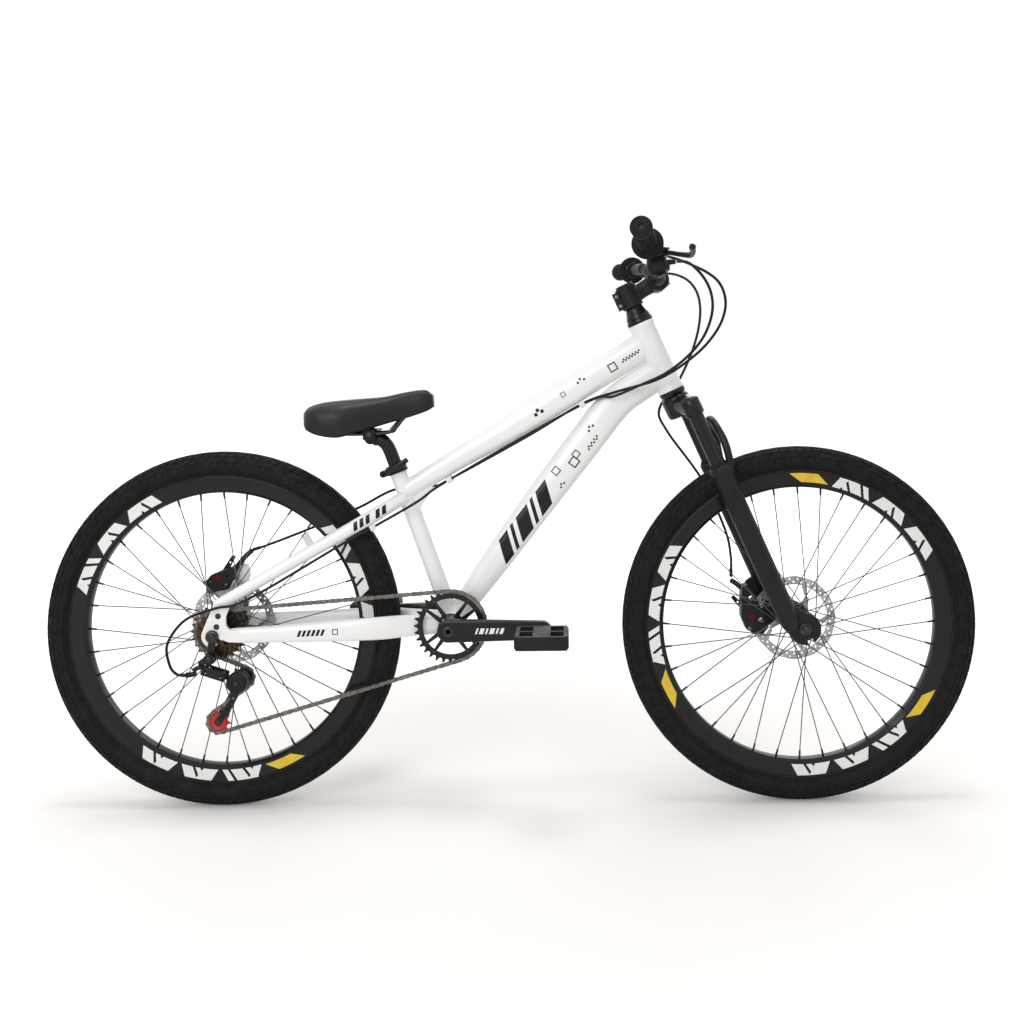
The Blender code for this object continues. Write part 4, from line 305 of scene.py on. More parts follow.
WHITE_ENAMEL = finish("white_enamel", (0.90, 0.90, 0.895), (0.87, 0.87, 0.865), (0.20, 0.27), scale=9.0,
                      relief=("grain", 260.0, 0.00003), coat=0.5, specular=0.4)
GLOSS_BLACK = finish("gloss_black_enamel", (0.0105, 0.0105, 0.0115), (0.0075, 0.0075, 0.0080),
                     (0.18, 0.28), relief=("grain", 420.0, 0.00002), coat=0.22, specular=0.16)
SATIN_BLACK = finish("satin_black_paint", (0.0135, 0.0135, 0.0145), (0.0085, 0.0085, 0.0090),
                     (0.34, 0.48), relief=("grain", 1500.0, 0.00004), specular=0.22)
ANODISED = finish("black_anodised", (0.022, 0.022, 0.024), (0.012, 0.012, 0.013), (0.28, 0.40), metal=0.5,
                  relief=("streaks", (60.0, 900.0, 60.0), 0.00001), specular=0.25)
TYRE_RUBBER = finish("tyre_rubber_skin", (0.0125, 0.0125, 0.0130), (0.0080, 0.0080, 0.0082), (0.58, 0.78),
                     scale=60.0, relief=("grain", 1400.0, 0.00008), specular=0.13)
BEAD_RUBBER = finish("brown_bead_rubber", (0.034, 0.024, 0.017), (0.020, 0.015, 0.011), (0.70, 0.85),
                     scale=80.0, specular=0.15)
SOFT_RUBBER = finish("soft_grip_rubber", (0.0130, 0.0130, 0.0135), (0.0080, 0.0080, 0.0085), (0.60, 0.76),
                     scale=90.0, relief=("grain", 1800.0, 0.00008), specular=0.16)
BLACK_PLASTIC = finish("moulded_black_plastic", (0.0115, 0.0115, 0.0125), (0.0070, 0.0070, 0.0075),
                       (0.40, 0.56), relief=("grain", 2200.0, 0.00005), specular=0.22)
GROUND_STEEL = finish("ground_steel", (0.52, 0.52, 0.53), (0.36, 0.36, 0.38), (0.20, 0.38), metal=1.0,
                      relief=("streaks", (900.0, 60.0, 250.0), 0.00002))
DARK_STEEL = finish("dark_plated_steel", (0.070, 0.068, 0.070), (0.038, 0.037, 0.039), (0.26, 0.42),
                    metal=1.0, scale=70.0)
SPOKE_STEEL = finish("black_spoke_steel", (0.150, 0.150, 0.155), (0.080, 0.080, 0.085), (0.28, 0.40),
                     metal=0.7, scale=90.0, specular=0.2)
BRIGHT_PLATE = finish("bright_plated_screws", (0.26, 0.26, 0.26), (0.16, 0.16, 0.16), (0.20, 0.34),
                      metal=1.0, scale=120.0)
BRONZE_STEEL = finish("bronze_plated_steel", (0.105, 0.073, 0.046), (0.040, 0.029, 0.020), (0.26, 0.46),
                      metal=1.0, scale=80.0, relief=("streaks", (500.0, 60.0, 500.0), 0.00002))
CHAIN_STEEL = finish("oiled_chain_steel", (0.230, 0.212, 0.195), (0.095, 0.086, 0.078), (0.24, 0.45),
                     metal=1.0, scale=140.0)
RED_PLASTIC = finish("red_moulded_plastic", (0.56, 0.040, 0.032), (0.42, 0.028, 0.022), (0.32, 0.46),
                     scale=60.0, specular=0.3)
DARK_RED = finish("dark_red_anodised", (0.120, 0.016, 0.018), (0.070, 0.010, 0.011), (0.26, 0.38),
                  metal=0.6, specular=0.25)
SEAT_VINYL = finish("black_seat_vinyl", (0.0080, 0.0080, 0.0088), (0.0055, 0.0055, 0.0060), (0.44, 0.32),
                    scale=18.0, relief=("creases", 620.0, 0.00006), specular=0.34)
CABLE_COVER = finish("cable_cover_skin", (0.0125, 0.0125, 0.0130), (0.0085, 0.0085, 0.0090), (0.34, 0.46),
                     scale=120.0, relief=("grain", 800.0, 0.00003), specular=0.2)
CLEAR_NYLON = finish("milky_nylon", (0.80, 0.80, 0.78), (0.70, 0.70, 0.68), (0.36, 0.50), scale=200.0)
MARK_WHITE = finish("white_mark_film", (0.86, 0.86, 0.85), (0.80, 0.80, 0.79), (0.34, 0.44), scale=60.0)
MARK_BLACK = finish("black_mark_film", (0.0110, 0.0110, 0.0115), (0.0080, 0.0080, 0.0085), (0.24, 0.32),
                    scale=60.0, coat=0.2, specular=0.16)
MARK_YELLOW = finish("yellow_mark_film", (0.80, 0.56, 0.035), (0.68, 0.45, 0.025), (0.34, 0.44),
                     scale=60.0)
print("materials now in the file:", len(bpy.data.materials))

# %% [markdown]
# ## Shaping tools
#
# A bicycle is tubes, turned parts and plates, so three small makers cover most of it: one sweeps an
# oval along stations, one turns a profile about an axis, and one raises a plate from an outline.
# The ovals take a power above 2 to grow squarer, as shaped tubing is.

# %% Closed shapes
X_AXIS = Vector((1, 0, 0))
Y_AXIS = Vector((0, 1, 0))
Z_AXIS = Vector((0, 0, 1))
UPRIGHT = Matrix.Identity(4)
GAP = 0.0003


def shape(verts, faces):
    """A closed mesh object from points and faces, with its faces pointing outwards."""
    mesh = bpy.data.meshes.new("shape")
    mesh.from_pydata([tuple(vert) for vert in verts], [], faces)
    work = bmesh.new()
    work.from_mesh(mesh)
    bmesh.ops.remove_doubles(work, verts=work.verts, dist=1e-7)
    bmesh.ops.recalc_face_normals(work, faces=work.faces)
    if work.calc_volume(signed=True) < 0:
        bmesh.ops.reverse_faces(work, faces=work.faces)
    work.to_mesh(mesh)
    work.free()
    return linked("shape", mesh)


def loft(rings, closed=False):
    """Skin a row of rings with equal point counts, with flat ends unless it closes on itself."""
    count = len(rings[0])
    verts = [point for ring in rings for point in ring]
    faces = []
    for i in range(len(rings) if closed else len(rings) - 1):
        near = i * count
        far = (i + 1) % len(rings) * count
        for j in range(count):
            k = (j + 1) % count
            faces.append((near + j, near + k, far + k, far + j))
    if not closed:
        faces.append(tuple(reversed(range(count))))
        faces.append(tuple(range(len(verts) - count, len(verts))))
    return shape(verts, faces)


def squared(c, s, power):
    """How far out a squared circle lies towards (c, s); power 2 makes a true circle."""
    return (abs(c) ** power + abs(s) ** power) ** (-1 / power)


def oval(centre, across, up, width, height, sides, power=2.0):
    """A ring of points on an oval in the plane of across and up."""
    points = []
    for i in range(sides):
        angle = 2 * pi * (i + 0.5) / sides
        c, s = cos(angle), sin(angle)
        reach = squared(c, s, power)
        points.append(centre + across * (c * reach * width / 2) + up * (s * reach * height / 2))
    return points


def curved(rows, steps):
    """Rows of numbers or points, smoothed by a Catmull-Rom curve with steps to each span."""
    rows = [[*Vector(row[0]), *row[1:]] if len(row) == 3 and hasattr(row[0], "__len__") else list(row)
            for row in rows]
    ends = [[2 * p - q for p, q in zip(rows[0], rows[1])],
            [2 * p - q for p, q in zip(rows[-1], rows[-2])]]
    row = [ends[0], *rows, ends[1]]
    result = []
    for i in range(1, len(row) - 2):
        for j in range(steps):
            t = j / steps
            result.append([0.5 * (2 * b + (c - a) * t + (2 * a - 5 * b + 4 * c - d) * t * t
                                  + (3 * b - a - 3 * c + d) * t ** 3)
                           for a, b, c, d in zip(*row[i - 1:i + 3])])
    result.append(rows[-1])
    return result


def way_at(points, i):
    """The direction of a row of points at point i."""
    return (points[min(i + 1, len(points) - 1)] - points[max(i - 1, 0)]).normalized()


def swept(stations, sides=32, power=2.0, side=Y_AXIS, steps=1):
    """Loft ovals along stations of (centre, width, height); the width lies along side."""
    rows = curved(stations, steps)
    centres = [Vector(row[:3]) for row in rows]
    rings = []
    for i, row in enumerate(rows):
        along = way_at(centres, i)
        across = (side - along * along.dot(side)).normalized()
        rings.append(oval(centres[i], across, along.cross(across), row[3], row[4], sides, power))
    return loft(rings)


def rod(start, end, radius, sides=32, end_radius=None):
    """A straight round bar between two points, which may taper."""
    start, end = Vector(start), Vector(end)
    along = (end - start).normalized()
    across = along.orthogonal().normalized()
    up = along.cross(across)
    tip = radius if end_radius is None else end_radius
    return loft([oval(start, across, up, 2 * radius, 2 * radius, sides),
                 oval(end, across, up, 2 * tip, 2 * tip, sides)])


def cross_rod(centre, half, radius, sides=32):
    """A round bar across the bicycle, as long on both sides of its centre."""
    centre = Vector(centre)
    return rod(centre - Y_AXIS * half, centre + Y_AXIS * half, radius, sides)


def turned(profile, place, sides=72):
    """Turn (radius, height) points about the local Z of place; radius 0 at both ends closes it."""
    core = profile[0][0] == 0 and profile[-1][0] == 0
    body = profile[1:-1] if core else profile
    count = len(body)
    verts = [place @ Vector((r * cos(2 * pi * i / sides), r * sin(2 * pi * i / sides), h))
             for i in range(sides) for r, h in body]
    faces = []
    for i in range(sides):
        near = i * count
        far = (i + 1) % sides * count
        for j in range(count - 1 if core else count):
            k = (j + 1) % count
            faces.append((near + j, near + k, far + k, far + j))
    if core:
        for end, row in ((profile[0], 0), (profile[-1], count - 1)):
            verts.append(place @ Vector((0, 0, end[1])))
            faces += [(len(verts) - 1, i * count + row, (i + 1) % sides * count + row)
                      for i in range(sides)]
    return shape(verts, faces)


def prism(outline, low, high, place):
    """Raise a flat outline in the local XY of place from low to high along its Z."""
    return loft([[place @ Vector((x, y, height)) for x, y in outline] for height in (low, high)])


def box(centre, size, turn=None):
    """A box about its centre, which may be turned."""
    place = Matrix.Translation(centre) @ (turn.to_4x4() if turn else UPRIGHT)
    x, y, z = (value / 2 for value in size)
    return prism([(-x, -y), (x, -y), (x, y), (-x, y)], -z, z, place)


def arc(centre, radius, start, end, steps):
    """Points on an arc of a circle, from a start to an end angle in degrees."""
    angles = [radians(start + (end - start) * i / steps) for i in range(steps + 1)]
    return [(centre[0] + radius * cos(angle), centre[1] + radius * sin(angle)) for angle in angles]


def circle(centre, radius, count):
    """Points all round a circle; six of them make a hexagon."""
    return arc(centre, radius, 0, 360 - 360 / count, count - 1)


def side_plane(centre=(0, 0, 0)):
    """A place whose local X is world X, local Y is world Z and local Z is world -Y."""
    return Matrix.Translation(centre) @ Matrix.Rotation(pi / 2, 4, "X")


def along_y(centre=(0, 0, 0)):
    """A place whose local Z is world +Y and whose local X is world X."""
    return Matrix.Translation(centre) @ Matrix.Rotation(-pi / 2, 4, "X")


def outward(side, centre=(0, 0, 0)):
    """A place whose local Z is world +Y for side 1 and world -Y for side -1."""
    return Matrix.Translation(centre) @ Matrix.Rotation(-side * pi / 2, 4, "X")


def spun(radius, angle, y=0.0):
    """The point at a radius and an angle about the origin's Y axis."""
    return Vector((radius * cos(angle), y, radius * sin(angle)))


def two_ended(half):
    """A profile whose lower end is the mirror of its upper end."""
    return [(radius, -height) for radius, height in half] + half[::-1]


def pointing(centre, direction):
    """A place whose local Z lies along a direction."""
    return Matrix.Translation(centre) @ Vector(direction).to_track_quat("Z", "X").to_matrix().to_4x4()


def on_side(point, side):
    """The point for side 1, or its mirror image for side -1."""
    return Vector((point[0], point[1] * side, point[2]))


DOME_WIDTH = 1.3
DOME_DEPTH = 0.3


def tube(points, radius, sides=12, steps=6):
    """A round tube with domed ends along a smooth route, kept from twisting as it goes."""
    route = [Vector(row) for row in curved([tuple(point) for point in points], steps)]
    across = (route[1] - route[0]).orthogonal().normalized()
    rings = []
    for i, point in enumerate(route):
        along = way_at(route, i)
        across = (across - along * across.dot(along)).normalized()
        up = along.cross(across)
        if i == 0:
            rings.append(oval(point, across, up, DOME_WIDTH * radius, DOME_WIDTH * radius, sides))
            point = point + along * radius * DOME_DEPTH
        if i == len(route) - 1:
            neck = point - along * radius * DOME_DEPTH
            rings.append(oval(neck, across, up, 2 * radius, 2 * radius, sides))
            rings.append(oval(point, across, up, DOME_WIDTH * radius, DOME_WIDTH * radius, sides))
        else:
            rings.append(oval(point, across, up, 2 * radius, 2 * radius, sides))
    return loft(rings)


print("shaping tools: loft, swept, rod, turned, prism, box and tube")

# %% Joining, cutting and handing over
def combine(base, tools, operation):
    """Apply Boolean steps to a shape and take their tools away."""
    for tool in tools:
        step = base.modifiers.new("combine", "BOOLEAN")
        step.operation = operation
        step.solver = "EXACT"
        step.object = tool
    result = bpy.data.meshes.new_from_object(base.evaluated_get(bpy.context.evaluated_depsgraph_get()))
    base.modifiers.clear()
    base.data = result
    for tool in tools:
        bpy.data.objects.remove(tool, do_unlink=True)
    return base


def fused(base, *tools):
    return combine(base, tools, "UNION")


def cut(base, *tools):
    return combine(base, tools, "DIFFERENCE")


def gathered(*pieces):
    """Put several shapes into one mesh object, each still closed in itself."""
    work = bmesh.new()
    for piece in pieces:
        work.from_mesh(piece.data)
    work.to_mesh(pieces[0].data)
    work.free()
    for piece in pieces[1:]:
        bpy.data.objects.remove(piece, do_unlink=True)
    return pieces[0]


def moved(piece, place):
    """Put a shape's mesh at a place; a mirroring place also turns its faces back outwards."""
    piece.data.transform(place)
    if place.to_3x3().determinant() < 0:
        piece.data.flip_normals()
    return piece


def mirrored(piece):
    """A copy of a shape on the other side of the bicycle."""
    return moved(linked("shape", piece.data.copy()), Matrix.Scale(-1, 4, Y_AXIS))


def dress(name, piece, material, angle=None):
    """Name a piece, give it its material and smooth it, but for edges sharper than the angle."""
    piece.name = name
    piece.data.name = name
    if material is not None:
        piece.data.materials.clear()
        piece.data.materials.append(material)
    piece.data.shade_smooth()
    if angle is not None:
        piece.data.set_sharp_from_angle(angle=radians(angle))


def shown(name, piece, material, body, stands_for=(), bevel=0.0, angle=32, segments=2):
    """Dress a finished piece, round its edges and hand it to its body."""
    dress(name, piece, material, angle)
    if bevel:
        edge = piece.modifiers.new("rounded edges", "BEVEL")
        edge.width = bevel
        edge.segments = segments
        edge.limit_method = "ANGLE"
        edge.angle_limit = radians(angle)
        edge.harden_normals = True
    if stands_for:
        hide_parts(*stands_for)
    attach(piece, body)
    return piece


print("joining tools: fused, cut, gathered and moved")

# %% [markdown]
# ## Geometry Nodes for what repeats
#
# A wheel repeats one small group of spokes and one pitch of tread, and a chain repeats two links.
# The first tree turns copies of a piece about the wheel's axis. The second sets copies on the points
# of a mesh, each turned by the angles stored with its point, which suits links, pins, screws and
# weld beads. Both end in Realize Instances and Set Material, and the result is kept as a plain mesh.

# %% Geometry Nodes trees
def copy_tree(name, extra=()):
    """The part both trees share: copies of a piece on points, made real and painted."""
    tree = bpy.data.node_groups.new(name, "GeometryNodeTree")
    socket_list(tree, "INPUT", [("Points", "Geometry", None), ("Piece", "Object", None),
                                ("Finish", "Material", None), *extra])
    socket_list(tree, "OUTPUT", [("Mesh", "Geometry", None)])
    start, end = placed(tree, "NodeGroupInput"), placed(tree, "NodeGroupOutput")
    piece = placed(tree, "GeometryNodeObjectInfo")
    copies = placed(tree, "GeometryNodeInstanceOnPoints")
    real = placed(tree, "GeometryNodeRealizeInstances")
    paint = placed(tree, "GeometryNodeSetMaterial")
    wire(tree, (start, "Piece", piece, "Object"), (piece, "Geometry", copies, "Instance"),
         (copies, "Instances", real, "Geometry"), (real, "Geometry", paint, "Geometry"),
         (start, "Finish", paint, "Material"), (paint, "Geometry", end, "Mesh"))
    return tree, start, copies


ring_tree, start, copies = copy_tree("copies round an axle",
                                     [("Count", "Int", 9), ("Centre", "Vector", None)])
points = placed(ring_tree, "GeometryNodePoints")
index = placed(ring_tree, "GeometryNodeInputIndex")
share = placed(ring_tree, "ShaderNodeMath", operation="DIVIDE")
turn = placed(ring_tree, "ShaderNodeMath", operation="MULTIPLY")
turn.inputs[1].default_value = 2 * pi
axis = placed(ring_tree, "ShaderNodeCombineXYZ")
wire(ring_tree, (start, "Count", points, "Count"), (start, "Centre", points, "Position"),
     (index, "Index", share, 0), (start, "Count", share, 1), (share, 0, turn, 0), (turn, 0, axis, "Y"),
     (points, "Points", copies, "Points"), (axis, "Vector", copies, "Rotation"))

place_tree, start, copies = copy_tree("copies at places")
angles = placed(place_tree, "GeometryNodeInputNamedAttribute", data_type="FLOAT_VECTOR", name="turn")
wire(place_tree, (start, "Points", copies, "Points"), (angles, "Attribute", copies, "Rotation"))


def grown(carrier, tree, values):
    """Run a tree on a carrier object and keep the result as a plain mesh."""
    step = carrier.modifiers.new("copies", "NODES")
    step.node_group = tree
    for item in tree.interface.items_tree:
        if item.in_out == "INPUT" and item.name in values:
            step[item.identifier] = values[item.name]
    bpy.context.view_layer.update()
    result = bpy.data.meshes.new_from_object(carrier.evaluated_get(bpy.context.evaluated_depsgraph_get()))
    carrier.modifiers.clear()
    carrier.data = result
    bpy.data.objects.remove(values["Piece"], do_unlink=True)
    return carrier


def round_axle(piece, count, centre, material):
    """Copies of a piece, made about the origin's Y axis, turned round an axle."""
    carrier = linked("ring", bpy.data.meshes.new("ring"))
    return grown(carrier, ring_tree, {"Piece": piece, "Count": count, "Centre": centre,
                                      "Finish": material})


def at_places(piece, places, material):
    """Copies of a piece at matrices, through points that store their angles."""
    mesh = bpy.data.meshes.new("places")
    mesh.from_pydata([tuple(place.to_translation()) for place in places], [], [])
    store = mesh.attributes.new("turn", "FLOAT_VECTOR", "POINT")
    for value, place in zip(store.data, places):
        value.vector = place.to_euler()
    return grown(linked("places", mesh), place_tree, {"Piece": piece, "Finish": material})


def repeated(name, piece, places, material, body, angle=32):
    """Copies of a piece at places, shown as one piece."""
    shown(name, at_places(piece, places, material), None, body, angle=angle)


def ringed(name, piece, count, centre, material, body, angle=32):
    """Copies of a piece round an axle, shown as one piece."""
    return shown(name, round_axle(piece, count, centre, material), None, body, angle=angle)


print("geometry trees:", ring_tree.name, "and", place_tree.name)

# %% [markdown]
# ## Where everything is
#
# These are the bicycle's driving points, the same as in its part file. Angles that lie along the
# steering axis or the seat tube are kept as matrices, so that a fork leg or a seat collar can be
# drawn upright and then leaned over.

# %% Driving dimensions
REAR_AXLE = Vector((-0.540, 0, 0.332))
FRONT_AXLE = Vector((0.540, 0, 0.332))
BOTTOM_BRACKET = Vector((-0.110, 0, 0.340))
SEAT_TUBE_TOP = Vector((-0.2156, 0, 0.6327))
HEAD_TUBE_LOW = Vector((0.305, 0, 0.771))
HEAD_TUBE_LENGTH = 0.139
HEAD_ANGLE = radians(66.1)
STEERER_RADIUS = 0.0143
WHEELS = (("rear", REAR_AXLE), ("front", FRONT_AXLE))
WHEEL_SIDES = 144
HANDS = ((-1, "right"), (1, "left"))
STEERING = Matrix.Translation(HEAD_TUBE_LOW) @ Matrix.Rotation(HEAD_ANGLE - pi / 2, 4, "Y")
STEER_UP = (STEERING.to_3x3() @ Z_AXIS).normalized()
SEAT_UP = (SEAT_TUBE_TOP - BOTTOM_BRACKET).normalized()
SEAT_TOP = Matrix.Translation(SEAT_TUBE_TOP) @ Matrix.Rotation(atan2(SEAT_UP.x, SEAT_UP.z), 4, "Y")
print("wheelbase", round((FRONT_AXLE - REAR_AXLE).length, 3), "m")

# %% [markdown]
# ## The welded frame
#
# The tubes are shaped aluminium: squarer in the middle and rounder at the welds. Each is one sweep
# with a smooth curve through its stations. The joints on such a frame show a row of overlapping weld
# beads under the paint. A weld follows the line where one tube enters another, so that line is
# found first, and small flattened drops are then set along it.

# %% Frame tubes
TOP_TUBE = [((-0.1985, 0, 0.5853), 0.033, 0.036), ((-0.1079, 0, 0.6398), 0.036, 0.040),
            ((-0.0169, 0, 0.6921), 0.040, 0.048), ((0.0742, 0, 0.7469), 0.043, 0.054),
            ((0.1653, 0, 0.8016), 0.043, 0.054), ((0.2659, 0, 0.8620), 0.038, 0.053)]
DOWN_TUBE = [((-0.1060, 0, 0.3470), 0.040, 0.038), ((-0.0191, 0, 0.4657), 0.045, 0.054),
             ((0.0727, 0, 0.5878), 0.048, 0.062), ((0.1415, 0, 0.6764), 0.048, 0.065),
             ((0.1864, 0, 0.7334), 0.047, 0.064), ((0.2190, 0, 0.7640), 0.045, 0.061),
             ((0.2880, 0, 0.8080), 0.040, 0.060), ((0.3000, 0, 0.8157), 0.040, 0.058)]
CHAINSTAY = [((-0.512, -0.0672, 0.3325), 0.0125, 0.024), ((-0.490, -0.0668, 0.3325), 0.0150, 0.028),
             ((-0.428, -0.0615, 0.3330), 0.0180, 0.031), ((-0.255, -0.0450, 0.3370), 0.0185, 0.042),
             ((-0.195, -0.0300, 0.3383), 0.0180, 0.040), ((-0.120, -0.0235, 0.3395), 0.0180, 0.032)]
SEATSTAY = [((-0.5330, -0.0700, 0.3860), 0.0120, 0.018), ((-0.5100, -0.0686, 0.4000), 0.0185, 0.021),
            ((-0.2936, -0.0490, 0.5209), 0.0210, 0.0245), ((-0.2400, -0.0340, 0.5510), 0.0210, 0.025),
            ((-0.1960, -0.0120, 0.5765), 0.0180, 0.024)]


def dropout():
    """A plate with a slot for the axle and two eyelets for a rack and a mudguard."""
    run = (cos(radians(-42)), sin(radians(-42)))
    aside = (-run[1], run[0])
    half, reach = 0.0053, 0.0155
    outline = [(0.0040, 0.0600), (-0.0155, 0.0155)]
    outline += arc((0, 0), 0.0200, 158, 272, 9)
    outline += [(0.0065, -0.0175), (run[0] * reach - aside[0] * half, run[1] * reach - aside[1] * half)]
    outline += arc((0, 0), half, -132, -312, 14)
    outline += [(run[0] * reach + aside[0] * half, run[1] * reach + aside[1] * half), (0.0190, -0.0065),
                (0.0300, -0.0110), (0.0480, -0.0100), (0.0480, 0.0100), (0.0300, 0.0125),
                (0.0245, 0.0200), (0.0245, 0.0366), (0.0330, 0.0560)]
    plate = prism(outline, 0.0678, 0.0740, side_plane(REAR_AXLE))
    eyelets = [rod(REAR_AXLE + Vector((x, -0.060, z)), REAR_AXLE + Vector((x, -0.080, z)), 0.0026, 20)
               for x, z in ((0.0107, 0.0368), (0.0078, 0.0173))]
    return cut(plate, *eyelets)


tubes = [swept(TOP_TUBE, 40, 2.3, steps=5), swept(DOWN_TUBE, 40, 2.4, steps=5)]
shell = two_ended([(0.0172, 0.0340), (0.0206, 0.0340), (0.0212, 0.0332)])
head = [(0.0168, 0), (0.0244, 0), (0.0250, 0.0008), (0.0250, 0.0045), (0.0244, 0.0070), (0.0235, 0.0120),
        (0.0235, HEAD_TUBE_LENGTH - 0.0120), (0.0244, HEAD_TUBE_LENGTH - 0.0070),
        (0.0250, HEAD_TUBE_LENGTH - 0.0045), (0.0250, HEAD_TUBE_LENGTH - 0.0008),
        (0.0244, HEAD_TUBE_LENGTH), (0.0168, HEAD_TUBE_LENGTH)]
seat_tube_place = pointing(BOTTOM_BRACKET, SEAT_UP)
seat_tube_end = (SEAT_TUBE_TOP - BOTTOM_BRACKET).length
seat_tube = [(0.0131, 0.012), (0.0159, 0.012), (0.0159, seat_tube_end), (0.0131, seat_tube_end)]
tubes += [turned(shell, along_y(BOTTOM_BRACKET)), turned(head, STEERING),
          turned(seat_tube, seat_tube_place, 48)]
tubes.append(prism([(-0.1800, 0.5400), (-0.1450, 0.5920), (-0.1500, 0.6060), (-0.1960, 0.5880)],
                   -0.0100, 0.0100, side_plane()))
tubes.append(cross_rod((-0.2570, 0, 0.5430), 0.040, 0.0075))
tubes.append(cross_rod((-0.1760, 0, 0.3390), 0.030, 0.0095))
tubes.append(box((-0.3960, 0.0580, 0.4850), (0.014, 0.006, 0.034), Matrix.Rotation(radians(-29), 3, "Y")))
stays = [swept(CHAINSTAY, 28, 2.3, steps=5), swept(SEATSTAY, 28, steps=5), dropout()]
stays += [mirrored(stay) for stay in stays]
brake_tab = prism([(-0.0120, 0.0200), (-0.0440, 0.0520), (-0.0500, 0.0620), (-0.0440, 0.0690),
                   (-0.0290, 0.0640), (-0.0080, 0.0880), (0.0120, 0.1110), (0.0240, 0.1080),
                   (0.0300, 0.0860), (0.0120, 0.0560)], -0.0700, -0.0640, side_plane(REAR_AXLE))
frame_tubes = shown("frame_tubes", gathered(*tubes, *stays, brake_tab), WHITE_ENAMEL, "frame",
                    ("main_frame",), bevel=0.0007, angle=40)
eyelet_cap = turned([(0, -0.0004), (0.0050, -0.0004), (0.0054, 0.0), (0.0052, 0.0005), (0.0034, 0.0007),
                     (0.0026, -0.0001), (0, -0.0001)], UPRIGHT, 28)
eyelet_places = [pointing(REAR_AXLE + Vector((x, side * 0.0741, z)), Y_AXIS * side)
                 for side in (-1, 1) for x, z in ((0.0107, 0.0368), (0.0078, 0.0173))]
repeated("dropout_eyelet_caps", eyelet_cap, eyelet_places, DARK_STEEL, "frame")
print("frame tubes:", len(frame_tubes.data.polygons), "faces")

# %% Weld beads
def weld_line(stations, power, start, axis, radius, backwards, sides=60, side=Y_AXIS):
    """Where the lines of a swept tube enter a round tube: points and the way out of both."""
    rows = curved(stations, 24)
    if backwards:
        rows.reverse()
    found = []
    for k in range(sides):
        angle = 2 * pi * k / sides
        c, s = cos(angle), sin(angle)
        reach = squared(c, s, power)
        for i in range(len(rows) - 1):
            centre = Vector(rows[i][:3])
            along = (Vector(rows[i + 1][:3]) - centre).normalized()
            across = (side - along * along.dot(side)).normalized()
            up = along.cross(across)
            point = centre + across * (c * reach * rows[i][3] / 2) + up * (s * reach * rows[i][4] / 2)
            offset = point - start
            offset -= axis * offset.dot(axis)
            if offset.length < radius:
                found.append((point, (offset.normalized() + (point - centre).normalized()).normalized()))
                break
    return found


def bead_places(line, spacing):
    """Even places along a closed line of points, each turned to lie along it and stand out."""
    places = []
    spare = 0.0
    for i, (point, out) in enumerate(line):
        ahead = line[(i + 1) % len(line)][0]
        run = ahead - point
        while spare < run.length:
            way = run.normalized()
            rise = (out - way * out.dot(way)).normalized()
            turn = Matrix((way, rise.cross(way), rise)).transposed().to_4x4()
            places.append(Matrix.Translation(point + way * spare) @ turn)
            spare += spacing
        spare -= run.length
    return places


def drop(length, width, height):
    """A flattened drop of weld metal."""
    work = bmesh.new()
    bmesh.ops.create_icosphere(work, subdivisions=1, radius=1.0,
                               matrix=Matrix.Diagonal((length, width, height, 1.0)))
    mesh = bpy.data.meshes.new("drop")
    work.to_mesh(mesh)
    work.free()
    mesh.shade_smooth()
    return linked("drop", mesh)


head_axis = (HEAD_TUBE_LOW, STEER_UP, 0.0240)
seat_axis = (BOTTOM_BRACKET, SEAT_UP, 0.0163)
shell_axis = (BOTTOM_BRACKET, Y_AXIS, 0.0214)
WELD_SPACING = 0.0021
BEAD = (0.0019, 0.0022, 0.0011)
welds = []
for stations, power, axis, backwards in (
        (TOP_TUBE, 2.3, head_axis, False), (DOWN_TUBE, 2.4, head_axis, False),
        (TOP_TUBE, 2.3, seat_axis, True), (DOWN_TUBE, 2.4, shell_axis, True)):
    welds += bead_places(weld_line(stations, power, *axis, backwards), WELD_SPACING)
repeated("frame_weld_beads", drop(*BEAD), welds, WHITE_ENAMEL, "frame", 180)
print("weld beads:", len(welds))

# %% [markdown]
# ## Marks on the frame
#
# The real frame wears printed film: large black figures on the down tube and fine line figures
# further up. Plain bars, outlined squares and small checks stand for them here. A mark is laid
# on by casting its corners sideways onto the tube, so that it follows the tube's side exactly.

# %% Frame marks
FILM_DEPTH = 0.00035
CAST_FROM = -0.2
TUBE_SIDE = -0.02


def laid_on(outline):
    """A thin film whose corners are cast from the chain side onto the frame's surface."""
    points = []
    for x, z in outline:
        hit, place, normal = frame_tubes.ray_cast(Vector((x, CAST_FROM, z)), Y_AXIS)[:3]
        if not hit:
            place, normal = Vector((x, TUBE_SIDE, z)), -Y_AXIS
        points.append((place, normal))
    outer = [place + normal * FILM_DEPTH for place, normal in points]
    inner = [place - normal * FILM_DEPTH for place, normal in points]
    return loft([inner, outer])


def along_tube(start, end, share, across):
    """A point beside the line from start to end in the side view."""
    run = Vector(end) - Vector(start)
    aside = Vector((-run.y, run.x)).normalized()
    return tuple(Vector(start) + run * share + aside * across)


def bar_mark(start, end, near, far, low, high, slant=0.0, parts=5):
    """A slanted bar on a tube, cut into short pieces so that it bends round the tube's side."""
    pieces = []
    for i in range(parts):
        a = low + (high - low) * i / parts
        b = low + (high - low) * (i + 1) / parts
        corners = [(near + slant * a, a), (far + slant * a, a), (far + slant * b, b),
                   (near + slant * b, b)]
        pieces.append(laid_on([along_tube(start, end, share, across) for share, across in corners]))
    return pieces


